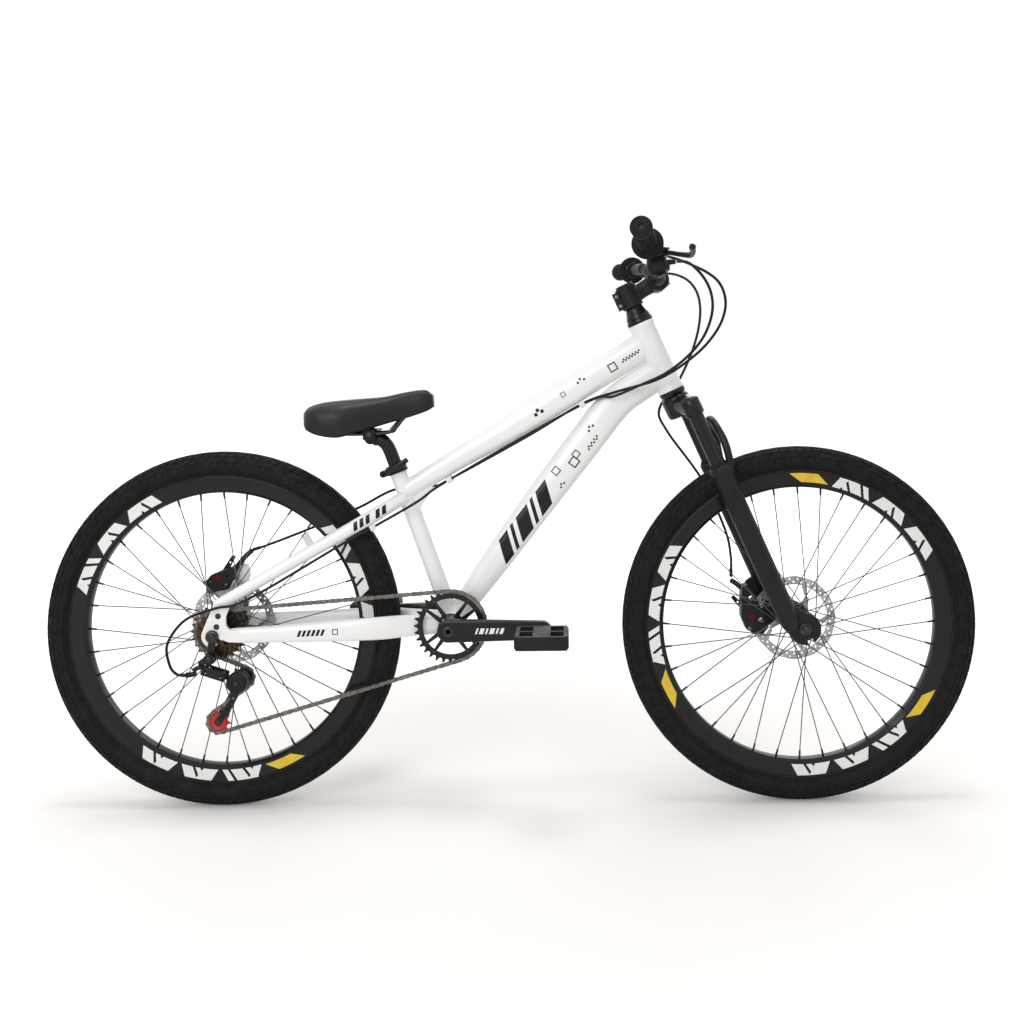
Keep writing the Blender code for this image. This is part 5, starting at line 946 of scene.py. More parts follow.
bpy.context.view_layer.update()
down_line = ((-0.0191, 0.4657), (0.1864, 0.7334))
top_line = ((-0.0169, 0.6921), (0.2659, 0.8620))
stay_line = ((-0.4280, 0.3330), (-0.2200, 0.3375))
marks = []
for near, far in ((0.02, 0.095), (0.120, 0.145), (0.175, 0.275), (0.300, 0.325), (0.355, 0.445)):
    marks += bar_mark(*down_line, near, far, -0.0190, 0.0190, slant=2.2, parts=12)
SQUARES = [(down_line, 0.56, 0.0140, 0.0120), (down_line, 0.66, 0.0170, -0.0050),
           (down_line, 0.70, 0.0130, 0.0010), (top_line, 0.74, 0.0160, -0.0030),
           (top_line, 0.42, 0.0090, 0.0020), (stay_line, 0.52, 0.0100, 0.0000)]
for line, start, size, across in SQUARES:
    length = (Vector(line[1]) - Vector(line[0])).length
    half = size / 2
    thick = size * 0.13
    for x0, x1, z0, z1 in ((-half, half, half - thick, half), (-half, half, -half, thick - half),
                           (-half, thick - half, -half, half), (half - thick, half, -half, half)):
        marks += bar_mark(*line, start + x0 / length, start + x1 / length, across + z0, across + z1,
                          parts=2)
CHECKS = [(down_line, 0.76, 0.012, 8, -0.0110, 0.0034), (down_line, 0.50, 0.014, 3, -0.0120, 0.0034),
          (down_line, 0.84, 0.018, 3, 0.0100, 0.0040), (top_line, 0.80, 0.010, 12, -0.0030, 0.0032),
          (top_line, 0.22, 0.020, 3, -0.0010, 0.0060), (top_line, 0.52, 0.020, 3, 0.0080, 0.0040)]
for line, start, gap, count, across, size in CHECKS:
    length = (Vector(line[1]) - Vector(line[0])).length
    for i in range(count):
        near = start + i * gap
        low = across + (size * 0.5 if i % 2 else -size * 0.5)
        marks += bar_mark(*line, near, near + size / length, low - size / 2, low + size / 2, parts=2)
for start in (0.20, 0.24, 0.28, 0.32, 0.36, 0.40):
    marks += bar_mark(*stay_line, start, start + 0.024, -0.0055, 0.0055, slant=2.0, parts=2)
seatstay_line = ((-0.5100, 0.4000), (-0.2936, 0.5209))
for start in (1.04, 1.09, 1.14, 1.22, 1.27):
    marks += bar_mark(*seatstay_line, start, start + 0.032, -0.0070, 0.0070, slant=2.0, parts=10)
shown("frame_side_marks", gathered(*marks), MARK_BLACK, "frame")
print("frame marks:", len(marks))

# %% [markdown]
# ## Tyres
#
# The tyre is a low smooth-rolling tread: long blocks parted by thin grooves that wave across it.
# One pitch of the tread is bent onto the carcass by a small function of angle and reach across the
# tyre, and the ring tree repeats it. So every block follows the curve of the tyre, which copies of a
# flat block wouldn't.

# %% Tyre tools
TREAD_PITCHES = 64
TREAD_HEIGHT = 0.0012
BELT_RADIUS = 0.3036
BELT_DEPTH = 0.0270
BELT_HALF = 0.0258
BELT_POWER = 2.2
TREAD_WAVE = 0.55


def belt_point(angle, reach, lift):
    """A point of the tread about the origin's Y axis; reach runs from -1 to 1 across the tyre."""
    c, s = cos(reach * pi / 2), sin(reach * pi / 2)
    grow = squared(c, s, BELT_POWER)
    radius = BELT_RADIUS + BELT_DEPTH * c * grow + lift * c
    return spun(radius, angle, BELT_HALF * s * grow + lift * s)


def tread_block(pitch, low, high, start, end, wave, cells=3):
    """One block of tread between two reaches, with leading and trailing edges that wave."""
    rings = []
    for lift in (-0.0006, TREAD_HEIGHT * 0.75, TREAD_HEIGHT):
        inset = 0.0 if lift < TREAD_HEIGHT else 0.06
        ring = []
        for i in range(cells + 1):
            reach = low + (high - low) * (inset + (1 - 2 * inset) * i / cells)
            ring.append((start + inset * (end - start), reach))
        for i in range(cells + 1):
            reach = high + (low - high) * (inset + (1 - 2 * inset) * i / cells)
            ring.append((end - inset * (end - start), reach))
        rings.append([belt_point(pitch * (share + wave * sin(pi * 1.6 * reach)), reach, lift)
                      for share, reach in ring])
    return loft(rings)


def tread_pitch():
    """The blocks of one pitch: six on one half of the tread, and six half a pitch on."""
    pitch = 2 * pi / TREAD_PITCHES
    rows = [(0.02, 0.24, 0.04, 0.92), (0.29, 0.50, 0.10, 0.52), (0.29, 0.50, 0.60, 1.02),
            (0.55, 0.76, 0.30, 1.20), (0.80, 0.98, 0.08, 0.44), (0.80, 0.98, 0.56, 0.92)]
    blocks = []
    for low, high, start, end in rows:
        blocks.append(tread_block(pitch, low, high, start, end, TREAD_WAVE))
        blocks.append(tread_block(pitch, -high, -low, start + 0.5, end + 0.5, TREAD_WAVE))
    return gathered(*blocks)


def carcass(centre):
    """The smooth skin of the tyre with its two moulded ribs and its beads."""
    wall = [(0.2800, 0.0104), (0.2866, 0.0121), (0.2885, 0.0137), (0.2900, 0.0153), (0.2906, 0.0165),
            (0.2914, 0.0168), (0.2935, 0.0198), (0.2965, 0.0226), (0.2972, 0.0237), (0.2980, 0.0238),
            (0.3005, 0.0250)]
    belt = [belt_point(0, reach / 14, 0) for reach in range(13, -14, -1)]
    outer = wall + [(point.x, point.y) for point in belt] + [(r, -y) for r, y in reversed(wall)]
    inner = [(0.2810, -0.0080), (0.2960, -0.0190), (0.3180, -0.0150), (0.3250, 0.0),
             (0.3180, 0.0150), (0.2960, 0.0190), (0.2810, 0.0080)]
    return turned([(r, y) for r, y in outer + inner], along_y(centre), WHEEL_SIDES)


print("tread pitch", round(2 * pi * (BELT_RADIUS + BELT_DEPTH) / TREAD_PITCHES, 4), "m")

# %% Tyres and beads
BEAD_PROFILE = [(0.2858, 0.0140), (0.2884, 0.0148), (0.2886, 0.0132), (0.2858, 0.0120)]
for end, centre in WHEELS:
    shown(f"{end}_tyre_carcass", carcass(centre), TYRE_RUBBER, f"{end}_wheel", (f"{end}_tyre",),
          angle=60)
    tread = ringed(f"{end}_tyre_tread", tread_pitch(), TREAD_PITCHES, centre, TYRE_RUBBER, f"{end}_wheel",
                   30)
    beads = []
    for side in (-1, 1):
        ring = [(r, side * y) for r, y in BEAD_PROFILE]
        beads.append(turned(ring, along_y(centre), WHEEL_SIDES))
    shown(f"{end}_tyre_bead_lines", gathered(*beads), BEAD_RUBBER, f"{end}_wheel")
print("tread faces a tyre:", len(tread.data.polygons))

# %% [markdown]
# ## Rims
#
# The rims are black and deep, with bright printed blocks in three groups around the axle. Yellow
# lozenges lie between the groups: three on each side of the front rim, one on each side of the rear.
# A printed block is film that stands a fifth of a millimetre proud, bent along the wall of the rim.

# %% Rims
WALL_LOW = (0.2610, 0.0138)
WALL_RISE, WALL_DEPTH = 0.0012, 0.0243
FILM_LIFT = 0.0002


def wall_point(angle, radius, side, lift):
    """A point of the rim's wall, or lifted off it."""
    y = WALL_LOW[1] + WALL_RISE * (radius - WALL_LOW[0]) / WALL_DEPTH + lift
    return spun(radius, angle, side * y)


def rim_mark(start, end, low, high, slant, side, steps=4):
    """A slanted block of film on the rim wall between two angles in degrees."""
    rings = []
    for lift in (-FILM_LIFT, FILM_LIFT):
        edge = [wall_point(radians(start + (end - start) * i / steps), low, side, lift)
                for i in range(steps + 1)]
        edge += [wall_point(radians(end + (start - end) * i / steps + slant), high, side, lift)
                 for i in range(steps + 1)]
        rings.append(edge)
    return loft(rings)


RIM_BLOCKS = [(-25.0, -20.2, 2.5), (-19.0, -16.8, 2.5), (-15.4, -9.2, -2.5), (-7.6, -3.0, 2.5),
              (-1.8, 0.2, 2.5), (1.6, 7.6, -2.5), (9.2, 11.4, 2.5), (12.6, 17.4, 2.5),
              (18.6, 20.8, 2.5), (22.0, 25.4, -2.5)]
for end, centre, turn in (("rear", REAR_AXLE, 140), ("front", FRONT_AXLE, 51)):
    half = [(0.2547, 0.0060), (0.2556, 0.0092), (0.2610, 0.0138), (0.2640, 0.01395), (0.2845, 0.01495),
            (0.2853, 0.0146), (0.2853, 0.0128), (0.2830, 0.0120), (0.2720, 0.0112)]
    hoop = turned(two_ended(half), along_y(centre), WHEEL_SIDES)
    shown(f"{end}_rim_hoop", hoop, GLOSS_BLACK, f"{end}_wheel", (f"{end}_rim",), angle=25)
    for side, word in ((-1, "near"), (1, "far")):
        blocks = []
        for start, stop, slant in RIM_BLOCKS:
            blocks.append(rim_mark(turn + start, turn + stop, 0.2632, 0.2838, slant, side))
        ringed(f"{end}_rim_blocks_{word}", gathered(*blocks), 3, centre, MARK_WHITE, f"{end}_wheel")
        lozenge = rim_mark(turn + 147.0, turn + 158.0, 0.2650, 0.2820, 4.5, side, 8)
        ringed(f"{end}_rim_lozenges_{word}", lozenge, 3 if end == "front" else 1, centre, MARK_YELLOW,
               f"{end}_wheel")
print("printed blocks on a side of a rim:", 3 * len(RIM_BLOCKS))

# %% [markdown]
# ## Spokes, hubs and discs
#
# Thirty-six spokes cross three times on their way to the rim. Four of them, a leading and a trailing
# one from each flange, make the pattern, and nine turns of those four make the wheel. The disc is
# one plate with a waved edge, cut by windows and two rings of vent holes.

# %% Spokes
SPOKE_COUNT = 36
FLANGE_RADIUS = 0.0290
HOLE_CIRCLE = 0.0255
SPOKE_LEAN = 62
SPOKE_OFFSET = 0.0011
NIPPLE_SEAT = 0.2550
FLANGES = {"rear": (-0.0225, 0.0330), "front": (-0.0340, 0.0200)}
ROTOR_PLANES = {"rear": 0.0520, "front": 0.0385}


def spoke_group(end):
    """Four spokes with their heads, and their nipples, about the origin's Y axis."""
    wires, nipples = [], []
    for i in range(4):
        rim_angle = 2 * pi * i / SPOKE_COUNT
        lean = radians(SPOKE_LEAN if i >= 2 else -SPOKE_LEAN)
        flange_y = FLANGES[end][i % 2]
        lift = SPOKE_OFFSET if i >= 2 else -SPOKE_OFFSET
        hub_angle = rim_angle + lean
        start = spun(HOLE_CIRCLE, hub_angle, flange_y + lift * 2)
        out = spun(1.0, rim_angle)
        stop = out * NIPPLE_SEAT + Y_AXIS * lift
        way = (stop - start).normalized()
        wires.append(rod(start, stop, 0.0010, 8))
        wires.append(rod(start - Y_AXIS * lift * 0.8, start + Y_AXIS * lift * 0.5, 0.0019, 8))
        nipples.append(rod(stop - way * 0.0125, stop, 0.0018, 8, 0.0021))
    return gathered(*wires), gathered(*nipples)


for end, centre in WHEELS:
    wires, nipples = spoke_group(end)
    turns = SPOKE_COUNT // 4
    ringed(f"{end}_spokes", wires, turns, centre, SPOKE_STEEL, f"{end}_wheel")
    ringed(f"{end}_spoke_nipples", nipples, turns, centre, DARK_STEEL, f"{end}_wheel")
print("spokes in a wheel:", SPOKE_COUNT)

# %% Hub shells
BOSSES = {"rear": [(0.0110, -0.0672), (0.0110, -0.0480), (0.0168, -0.0480), (0.0168, -0.0320),
                   (0.0200, -0.0315)],
          "front": [(0.0095, -0.0497), (0.0110, -0.0485), (0.0110, -0.0400), (0.0150, -0.0390)]}
HUB_HALVES = {"rear": 0.0672, "front": 0.0497}
for end, centre in WHEELS:
    near, far = FLANGES[end]
    disc, half = ROTOR_PLANES[end], HUB_HALVES[end]
    profile = [(0.0062, -half), *BOSSES[end],
               (0.0270, near - 0.0023), (FLANGE_RADIUS, near - 0.0016), (FLANGE_RADIUS, near + 0.0016),
               (0.0275, near + 0.0026), (0.0205, near + 0.0044), (0.0165, near + 0.0080),
               (0.0152, (near + far) / 2), (0.0165, far - 0.0080), (0.0205, far - 0.0044),
               (0.0275, far - 0.0026), (FLANGE_RADIUS, far - 0.0016), (FLANGE_RADIUS, far + 0.0016),
               (0.0270, far + 0.0023), (0.0215, far + 0.0040), (0.0215, disc - 0.0014),
               (0.0105, disc - 0.0012), (0.0105, half - 0.0010), (0.0095, half), (0.0062, half)]
    shown(f"{end}_hub_shell", turned(profile, along_y(centre)), SATIN_BLACK, f"{end}_wheel",
          (f"{end}_hub_and_spokes",))
print("hub flanges", 2 * FLANGE_RADIUS, "m across")

# %% Disc rotors
EDGE_POINTS = 180
EDGE_RADIUS = 0.0793
EDGE_WAVE = 0.0007
WAVES = 12
for end, centre in WHEELS:
    edge = []
    for i in range(EDGE_POINTS):
        angle = 2 * pi * i / EDGE_POINTS
        radius = EDGE_RADIUS + EDGE_WAVE * cos(WAVES * angle)
        edge.append((radius * cos(angle), radius * sin(angle)))
    plate = prism(edge, -0.0009, 0.0009, side_plane())
    tools = [cross_rod((0, 0, 0), 0.005, 0.0113)]
    for i in range(5):
        outline = arc((0, 0), 0.0640, 72 * i + 4, 72 * i + 66, 16)
        outline += arc((0, 0), 0.0480, 72 * i + 58, 72 * i + 52, 2)
        outline += arc((0, 0), 0.0290, 72 * i + 30, 72 * i - 12, 8)
        outline += arc((0, 0), 0.0480, 72 * i - 10, 72 * i - 6, 2)
        tools.append(prism(outline, -0.005, 0.005, side_plane()))
    for i in range(30):
        for reach, shift, size in ((0.0745, 0.0, 0.0017), (0.0690, 6.0, 0.0021)):
            angle = radians(12 * i + shift)
            spot = spun(reach, angle)
            tools.append(cross_rod(spot, 0.005, size, 10))
    plate = moved(cut(plate, gathered(*tools)), Matrix.Translation(centre + Y_AXIS * ROTOR_PLANES[end]))
    shown(f"{end}_disc_rotor", plate, GROUND_STEEL, f"{end}_wheel", (f"{end}_brake_rotor",))
    heads = []
    for i in range(6):
        angle = radians(60 * i + 12)
        heads.append(along_y(centre + spun(0.0165, angle, ROTOR_PLANES[end] + 0.0010)))
    screw = turned([(0, -0.0006), (0.0034, -0.0006), (0.0034, 0.0006), (0.0026, 0.0016), (0.0014, 0.0018),
                    (0.0012, 0.0006), (0, 0.0006)], UPRIGHT, 12)
    repeated(f"{end}_disc_screws", screw, heads, DARK_STEEL, f"{end}_wheel")
print("disc faces:", len(plate.data.polygons))

# %% [markdown]
# ## Fork and headset
#
# The fork is drawn upright in its own frame, with Z on the steering axis, and leaned over at the end.
# Crown and stanchions are gloss black, and the one-piece lower legs are satin, with an arch swept
# from leg to leg in front and the axle lugs as plates on the insides of the legs.

# %% Fork crown and stanchions
LEG_FORWARD = 0.0160
LEG_ASIDE = 0.0650
LOWER_TOP = -0.1590
LUG_INNER = 0.0503
LUG_OUTER = 0.0620
local_axle = STEERING.inverted() @ FRONT_AXLE


def leg_place(side):
    return Matrix.Translation((LEG_FORWARD, side * LEG_ASIDE, 0))


crown = [turned([(0, -0.0120), (0.0235, -0.0120), (0.0258, -0.0140), (0.0265, -0.0170),
                 (0.0265, -0.0440), (0.0250, -0.0500), (0.0220, -0.0520), (0, -0.0520)], UPRIGHT, 64),
         rod((0, 0, -0.0300), (0, 0, 0.2115), STEERER_RADIUS, 48),
         swept([((0.0160, -0.0650, -0.0420), 0.0300, 0.0300),
                ((0.0120, -0.0420, -0.0360), 0.0350, 0.0330), ((0.0060, 0, -0.0310), 0.0460, 0.0350),
                ((0.0120, 0.0420, -0.0360), 0.0350, 0.0330),
                ((0.0160, 0.0650, -0.0420), 0.0300, 0.0300)], 32, 2.6, X_AXIS, 6)]
for side in (-1, 1):
    crown.append(turned([(0, -0.0240), (0.0140, -0.0240), (0.0166, -0.0256), (0.0178, -0.0275),
                         (0.0178, -0.0540), (0.0170, -0.0560), (0.0140, -0.0564), (0, -0.0564)],
                        leg_place(side), 48))
    crown.append(turned([(0, -0.0225), (0.0105, -0.0225), (0.0112, -0.0232), (0.0112, -0.0250),
                         (0, -0.0250)], leg_place(side), 24))
shown("fork_crown_forging", moved(gathered(*crown), STEERING), GLOSS_BLACK, "steering",
      ("fork_crown_and_steerer",), angle=40)
stanchions = [turned([(0, -0.0500), (0.0140, -0.0500), (0.0140, -0.3290), (0.0130, -0.3300),
                      (0, -0.3300)], leg_place(side), 48) for side in (-1, 1)]
shown("fork_stanchions", moved(gathered(*stanchions), STEERING), GLOSS_BLACK, "steering")
print("fork legs", 2 * LEG_ASIDE, "m apart")

# %% Fork lower legs
ARCH = [((0.0250, 0.0650, -0.1900), 0.0130, 0.0200), ((0.0375, 0.0655, -0.1600), 0.0135, 0.0200),
        ((0.0440, 0.0600, -0.1250), 0.0140, 0.0200), ((0.0440, 0.0440, -0.0970), 0.0140, 0.0210),
        ((0.0440, 0.0200, -0.0855), 0.0140, 0.0220)]
lowers, wipers = [], []
x, z = local_axle.x, local_axle.z
slot_half = 0.0054
for side in (-1, 1):
    lowers.append(turned([(0.0143, LOWER_TOP), (0.0182, LOWER_TOP), (0.0198, LOWER_TOP - 0.0014),
                          (0.0204, LOWER_TOP - 0.0030), (0.0204, LOWER_TOP - 0.0140),
                          (0.0197, LOWER_TOP - 0.0165), (0.0192, LOWER_TOP - 0.0180), (0.0192, -0.4300),
                          (0.0182, -0.4560), (0.0165, -0.4760), (0.0140, -0.4830), (0.0110, -0.4860),
                          (0.0040, -0.4860), (0.0040, -0.4500), (0.0143, -0.4500)], leg_place(side), 56))
    outline = [(0.0020, -0.4380), (0.0290, -0.4380)]
    outline += arc((x, z), 0.0290, 60, -78, 24) + [(x + slot_half, z - 0.0284)]
    outline += arc((x, z), slot_half, 0, 180, 12) + [(x - slot_half, z - 0.0284)]
    outline += arc((x, z), 0.0290, 258, 200, 10) + [(0.0010, -0.4700)]
    low, high = sorted((-side * LUG_INNER, -side * LUG_OUTER))
    lowers.append(prism(outline, low, high, side_plane()))
    wipers.append(turned([(0.0141, LOWER_TOP + 0.0060), (0.0152, LOWER_TOP + 0.0060),
                          (0.0165, LOWER_TOP + 0.0030), (0.0180, LOWER_TOP + 0.0020),
                          (0.0182, LOWER_TOP - 0.0005), (0.0141, LOWER_TOP - 0.0005)], leg_place(side),
                         48))
arch = [(on_side(point, -1), deep, wide) for point, deep, wide in ARCH] + ARCH[::-1]
lowers.append(swept(arch, 32, 3.0, X_AXIS, 5))
lowers.append(prism([(0.0100, -0.3930), (-0.0160, -0.3980), (-0.0260, -0.4060), (-0.0260, -0.4150),
                     (-0.0110, -0.4260), (-0.0110, -0.4700), (-0.0240, -0.4860), (-0.0180, -0.4960),
                     (0.0060, -0.4900), (0.0160, -0.4600)], -0.0620, -0.0565, side_plane()))
shown("fork_lower_legs", moved(gathered(*lowers), STEERING), SATIN_BLACK, "fork_slider",
      ("fork_lowers",), bevel=0.0010, angle=45)
shown("fork_dust_wipers", moved(gathered(*wipers), STEERING), SOFT_RUBBER, "fork_slider")
print("room between the axle lugs", 2 * LUG_INNER, "m")

# %% Headset
top = HEAD_TUBE_LENGTH
bore = STEERER_RADIUS + 0.0006
lower_cup = [(bore, 0.010), (0.0164, 0.010), (0.0164, -GAP), (0.0244, -GAP), (0.0250, -0.0009),
             (0.0250, -0.0056), (0.0244, -0.0070), (0.0226, -0.0110), (0.0222, -0.0115), (bore, -0.0115)]
upper_cup = [(bore, top - 0.010), (0.0164, top - 0.010), (0.0164, top + GAP), (0.0244, top + GAP),
             (0.0250, top + 0.0009), (0.0250, top + 0.0052), (0.0240, top + 0.0084),
             (0.0233, top + 0.0090), (bore, top + 0.0090)]
cone = [(bore, top + 0.0095), (0.0226, top + 0.0095), (0.0232, top + 0.0101), (0.0228, top + 0.0135),
        (0.0205, top + 0.0190), (0.0182, top + 0.0255), (0.0166, top + 0.0318), (0.0161, top + 0.0325),
        (bore, top + 0.0325)]
shown("headset_lower_cup_ring", turned(lower_cup, STEERING), GLOSS_BLACK, "frame", ("headset_lower_cup",))
shown("headset_upper_cup_ring", turned(upper_cup, STEERING), GLOSS_BLACK, "frame", ("headset_upper_cup",))
shown("headset_cone", turned(cone, STEERING), GLOSS_BLACK, "steering", ("headset_cone_spacer",))
print("fork axle is", round(-z, 4), "m below the head tube")

# %% [markdown]
# ## Stem, handlebar and grips
#
# The stem is forged in two parts that clamp the bar with four small bolts. The bar rises from its
# clamp in two bends, and its ends carry rubber grips with a wide flange and fine rings. The rings
# repeat along the grip, so they are copies of one thin ring at even places.

# %% Stem
BAR_RADIUS = 0.0111
BAR_CENTRE = Vector((0.2800, 0, 0.9770))
local_bar = STEERING.inverted() @ BAR_CENTRE
STEM_LOW = 0.1720
STEM_HIGH = 0.2130
bar_place = Matrix.Translation((local_bar.x, 0, local_bar.z)) @ along_y()
clamp_profile = two_ended([(0, 0.0260), (0.0198, 0.0260), (0.0205, 0.0253)])
bar_tool = (Vector((local_bar.x, -0.04, local_bar.z)), Vector((local_bar.x, 0.04, local_bar.z)), 0.0129)
body = fused(turned([(0, STEM_LOW), (0.0197, STEM_LOW), (0.0202, STEM_LOW + 0.0006),
                     (0.0202, STEM_HIGH - 0.0006), (0.0197, STEM_HIGH), (0, STEM_HIGH)],
                    UPRIGHT, 48),
             swept([((0.0050, 0, 0.1920), 0.0330, 0.0330), ((0.0180, 0, 0.1932), 0.0296, 0.0310),
                    ((0.0300, 0, 0.1950), 0.0280, 0.0300), ((0.0440, 0, 0.1968), 0.0340, 0.0318),
                    ((0.0560, 0, 0.1985), 0.0420, 0.0340)], 28, 3.5, steps=3),
             box((-0.0220, 0, 0.1925), (0.0110, 0.0200, 0.0340)),
             turned(clamp_profile, bar_place, 48))
body = cut(body, rod((0, 0, 0.15), (0, 0, 0.24), STEERER_RADIUS + GAP, 48), rod(*bar_tool, 48),
           box((local_bar.x + 0.0306, 0, local_bar.z), (0.06, 0.08, 0.08)),
           box((-0.0250, 0, 0.1925), (0.0240, 0.0016, 0.0600)))
shown("stem_body", moved(body, STEERING), SATIN_BLACK, "steering", ("stem",), bevel=0.0006,
      angle=38)
plate = cut(turned(clamp_profile, bar_place, 48), rod(*bar_tool, 48),
            box((local_bar.x - 0.0286, 0, local_bar.z), (0.06, 0.08, 0.08)),
            box((local_bar.x + 0.0200, 0, local_bar.z), (0.0220, 0.0220, 0.0600)))
shown("stem_faceplate_casting", moved(plate, STEERING), SATIN_BLACK, "steering", ("stem_faceplate",),
      bevel=0.0006, angle=38)
cap = turned([(0, STEM_HIGH + GAP), (0.0172, STEM_HIGH + GAP), (0.0172, STEM_HIGH + 0.0035),
              (0.0160, STEM_HIGH + 0.0046), (0.0060, STEM_HIGH + 0.0048), (0.0052, STEM_HIGH + 0.0040),
              (0, STEM_HIGH + 0.0038)], UPRIGHT, 48)
shown("stem_cap_disc", moved(cap, STEERING), GLOSS_BLACK, "steering", ("stem_top_cap",))


def socket_screw(radius, height):
    """A domed screw head with a hexagon recess, its seat at the origin and its Z outwards."""
    head = turned([(0, -0.0006), (radius, -0.0006), (radius, height * 0.7), (radius * 0.85, height),
                   (radius * 0.5, height * 1.05), (0, height * 1.05)], UPRIGHT, 20)
    hexagon = prism(circle((0, 0), radius * 0.48, 6), height * 0.35, height * 2, UPRIGHT)
    return cut(head, hexagon)


def screws(name, radius, height, places, material, body):
    """Socket screws of one size at places, as one piece."""
    repeated(name, socket_screw(radius, height), places, material, body)


seats = []
for aside in (-0.0190, 0.0190):
    for rise in (-0.0130, 0.0130):
        spot = Vector((local_bar.x + 0.0150, aside, local_bar.z + rise))
        seats.append(STEERING @ pointing(spot, X_AXIS))
for rise in (0.1830, 0.2020):
    seats.append(STEERING @ pointing(Vector((-0.0220, -0.0100, rise)), -Y_AXIS))
screws("stem_screws", 0.0038, 0.0026, seats, BRIGHT_PLATE, "steering")
print("stem screws:", len(seats))

# %% Handlebar and grips
GRIP_INNER = Vector((0.2470, 0.2050, 1.0200))
GRIP_OUTER = Vector((0.2270, 0.3300, 1.0300))
GRIP_RUN = (GRIP_OUTER - GRIP_INNER).normalized()
GRIP_LENGTH = (GRIP_OUTER - GRIP_INNER).length
half = [Vector(point) for point in (
    (0.2800, 0.0000, 0.9770), (0.2800, 0.0380, 0.9770), (0.2795, 0.0520, 0.9800),
    (0.2770, 0.0670, 0.9880), (0.2710, 0.0900, 1.0030), (0.2660, 0.1080, 1.0105),
    GRIP_INNER - GRIP_RUN * 0.0750, GRIP_INNER + GRIP_RUN * 0.1230)]
stations = []
for point in [on_side(point, -1) for point in reversed(half[1:])] + half:
    radius = 0.0127 if abs(point.y) < 0.050 else BAR_RADIUS
    stations.append((point, 2 * radius, 2 * radius))
shown("handlebar_tube", swept(stations, 32, 2.0, X_AXIS, 5), SATIN_BLACK, "steering", ("handlebar",),
      angle=60)
ring = turned([(0.0159, -0.0010), (0.0170, -0.0007), (0.0172, 0.0), (0.0170, 0.0007), (0.0159, 0.0010)],
              UPRIGHT, 32)
for side, word in HANDS:
    inner = on_side(GRIP_INNER, side)
    place = pointing(inner, on_side(GRIP_OUTER, side) - inner)
    profile = [(0.0114, 0), (0.0262, 0), (0.0270, 0.0007), (0.0275, 0.0024), (0.0272, 0.0031),
               (0.0262, 0.0034), (0.0180, 0.0042), (0.0166, 0.0058), (0.0160, 0.0100), (0.0160, 0.0900),
               (0.0168, GRIP_LENGTH - 0.0160), (0.0181, GRIP_LENGTH - 0.0080),
               (0.0184, GRIP_LENGTH - 0.0035), (0.0180, GRIP_LENGTH - 0.0008), (0.0172, GRIP_LENGTH),
               (0.0056, GRIP_LENGTH), (0.0050, GRIP_LENGTH - 0.0008), (0.0050, GRIP_LENGTH - 0.0025),
               (0.0114, GRIP_LENGTH - 0.0025)]
    shown(f"grip_rubber_{word}", turned(profile, place, 56), SOFT_RUBBER, "steering", (f"grip_{word}",),
          angle=45)
    rows = [place @ Matrix.Translation((0, 0, 0.0110 + 0.0038 * i)) for i in range(26)]
    repeated(f"grip_rings_{word}", linked("ring", ring.data.copy()), rows, SOFT_RUBBER, "steering")
bpy.data.objects.remove(ring, do_unlink=True)
print("grip length", round(GRIP_LENGTH, 4))

# %% [markdown]
# ## Brake levers and shifter
#
# Each lever works in its own axes: outboard along the bar, ahead to the fingers, and up along its
# pivot. A casting clamps to the bar, the blade lies in the casting's fork, and a threaded barrel
# takes the cable. The shifter hangs under the bar on the chain side.

# %% Brake levers
def bar_point(distance, side):
    """A point on the bar inboard of a grip, and the way outboard."""
    outboard = (on_side(GRIP_OUTER, side) - on_side(GRIP_INNER, side)).normalized()
    return on_side(GRIP_INNER, side) - outboard * distance, outboard


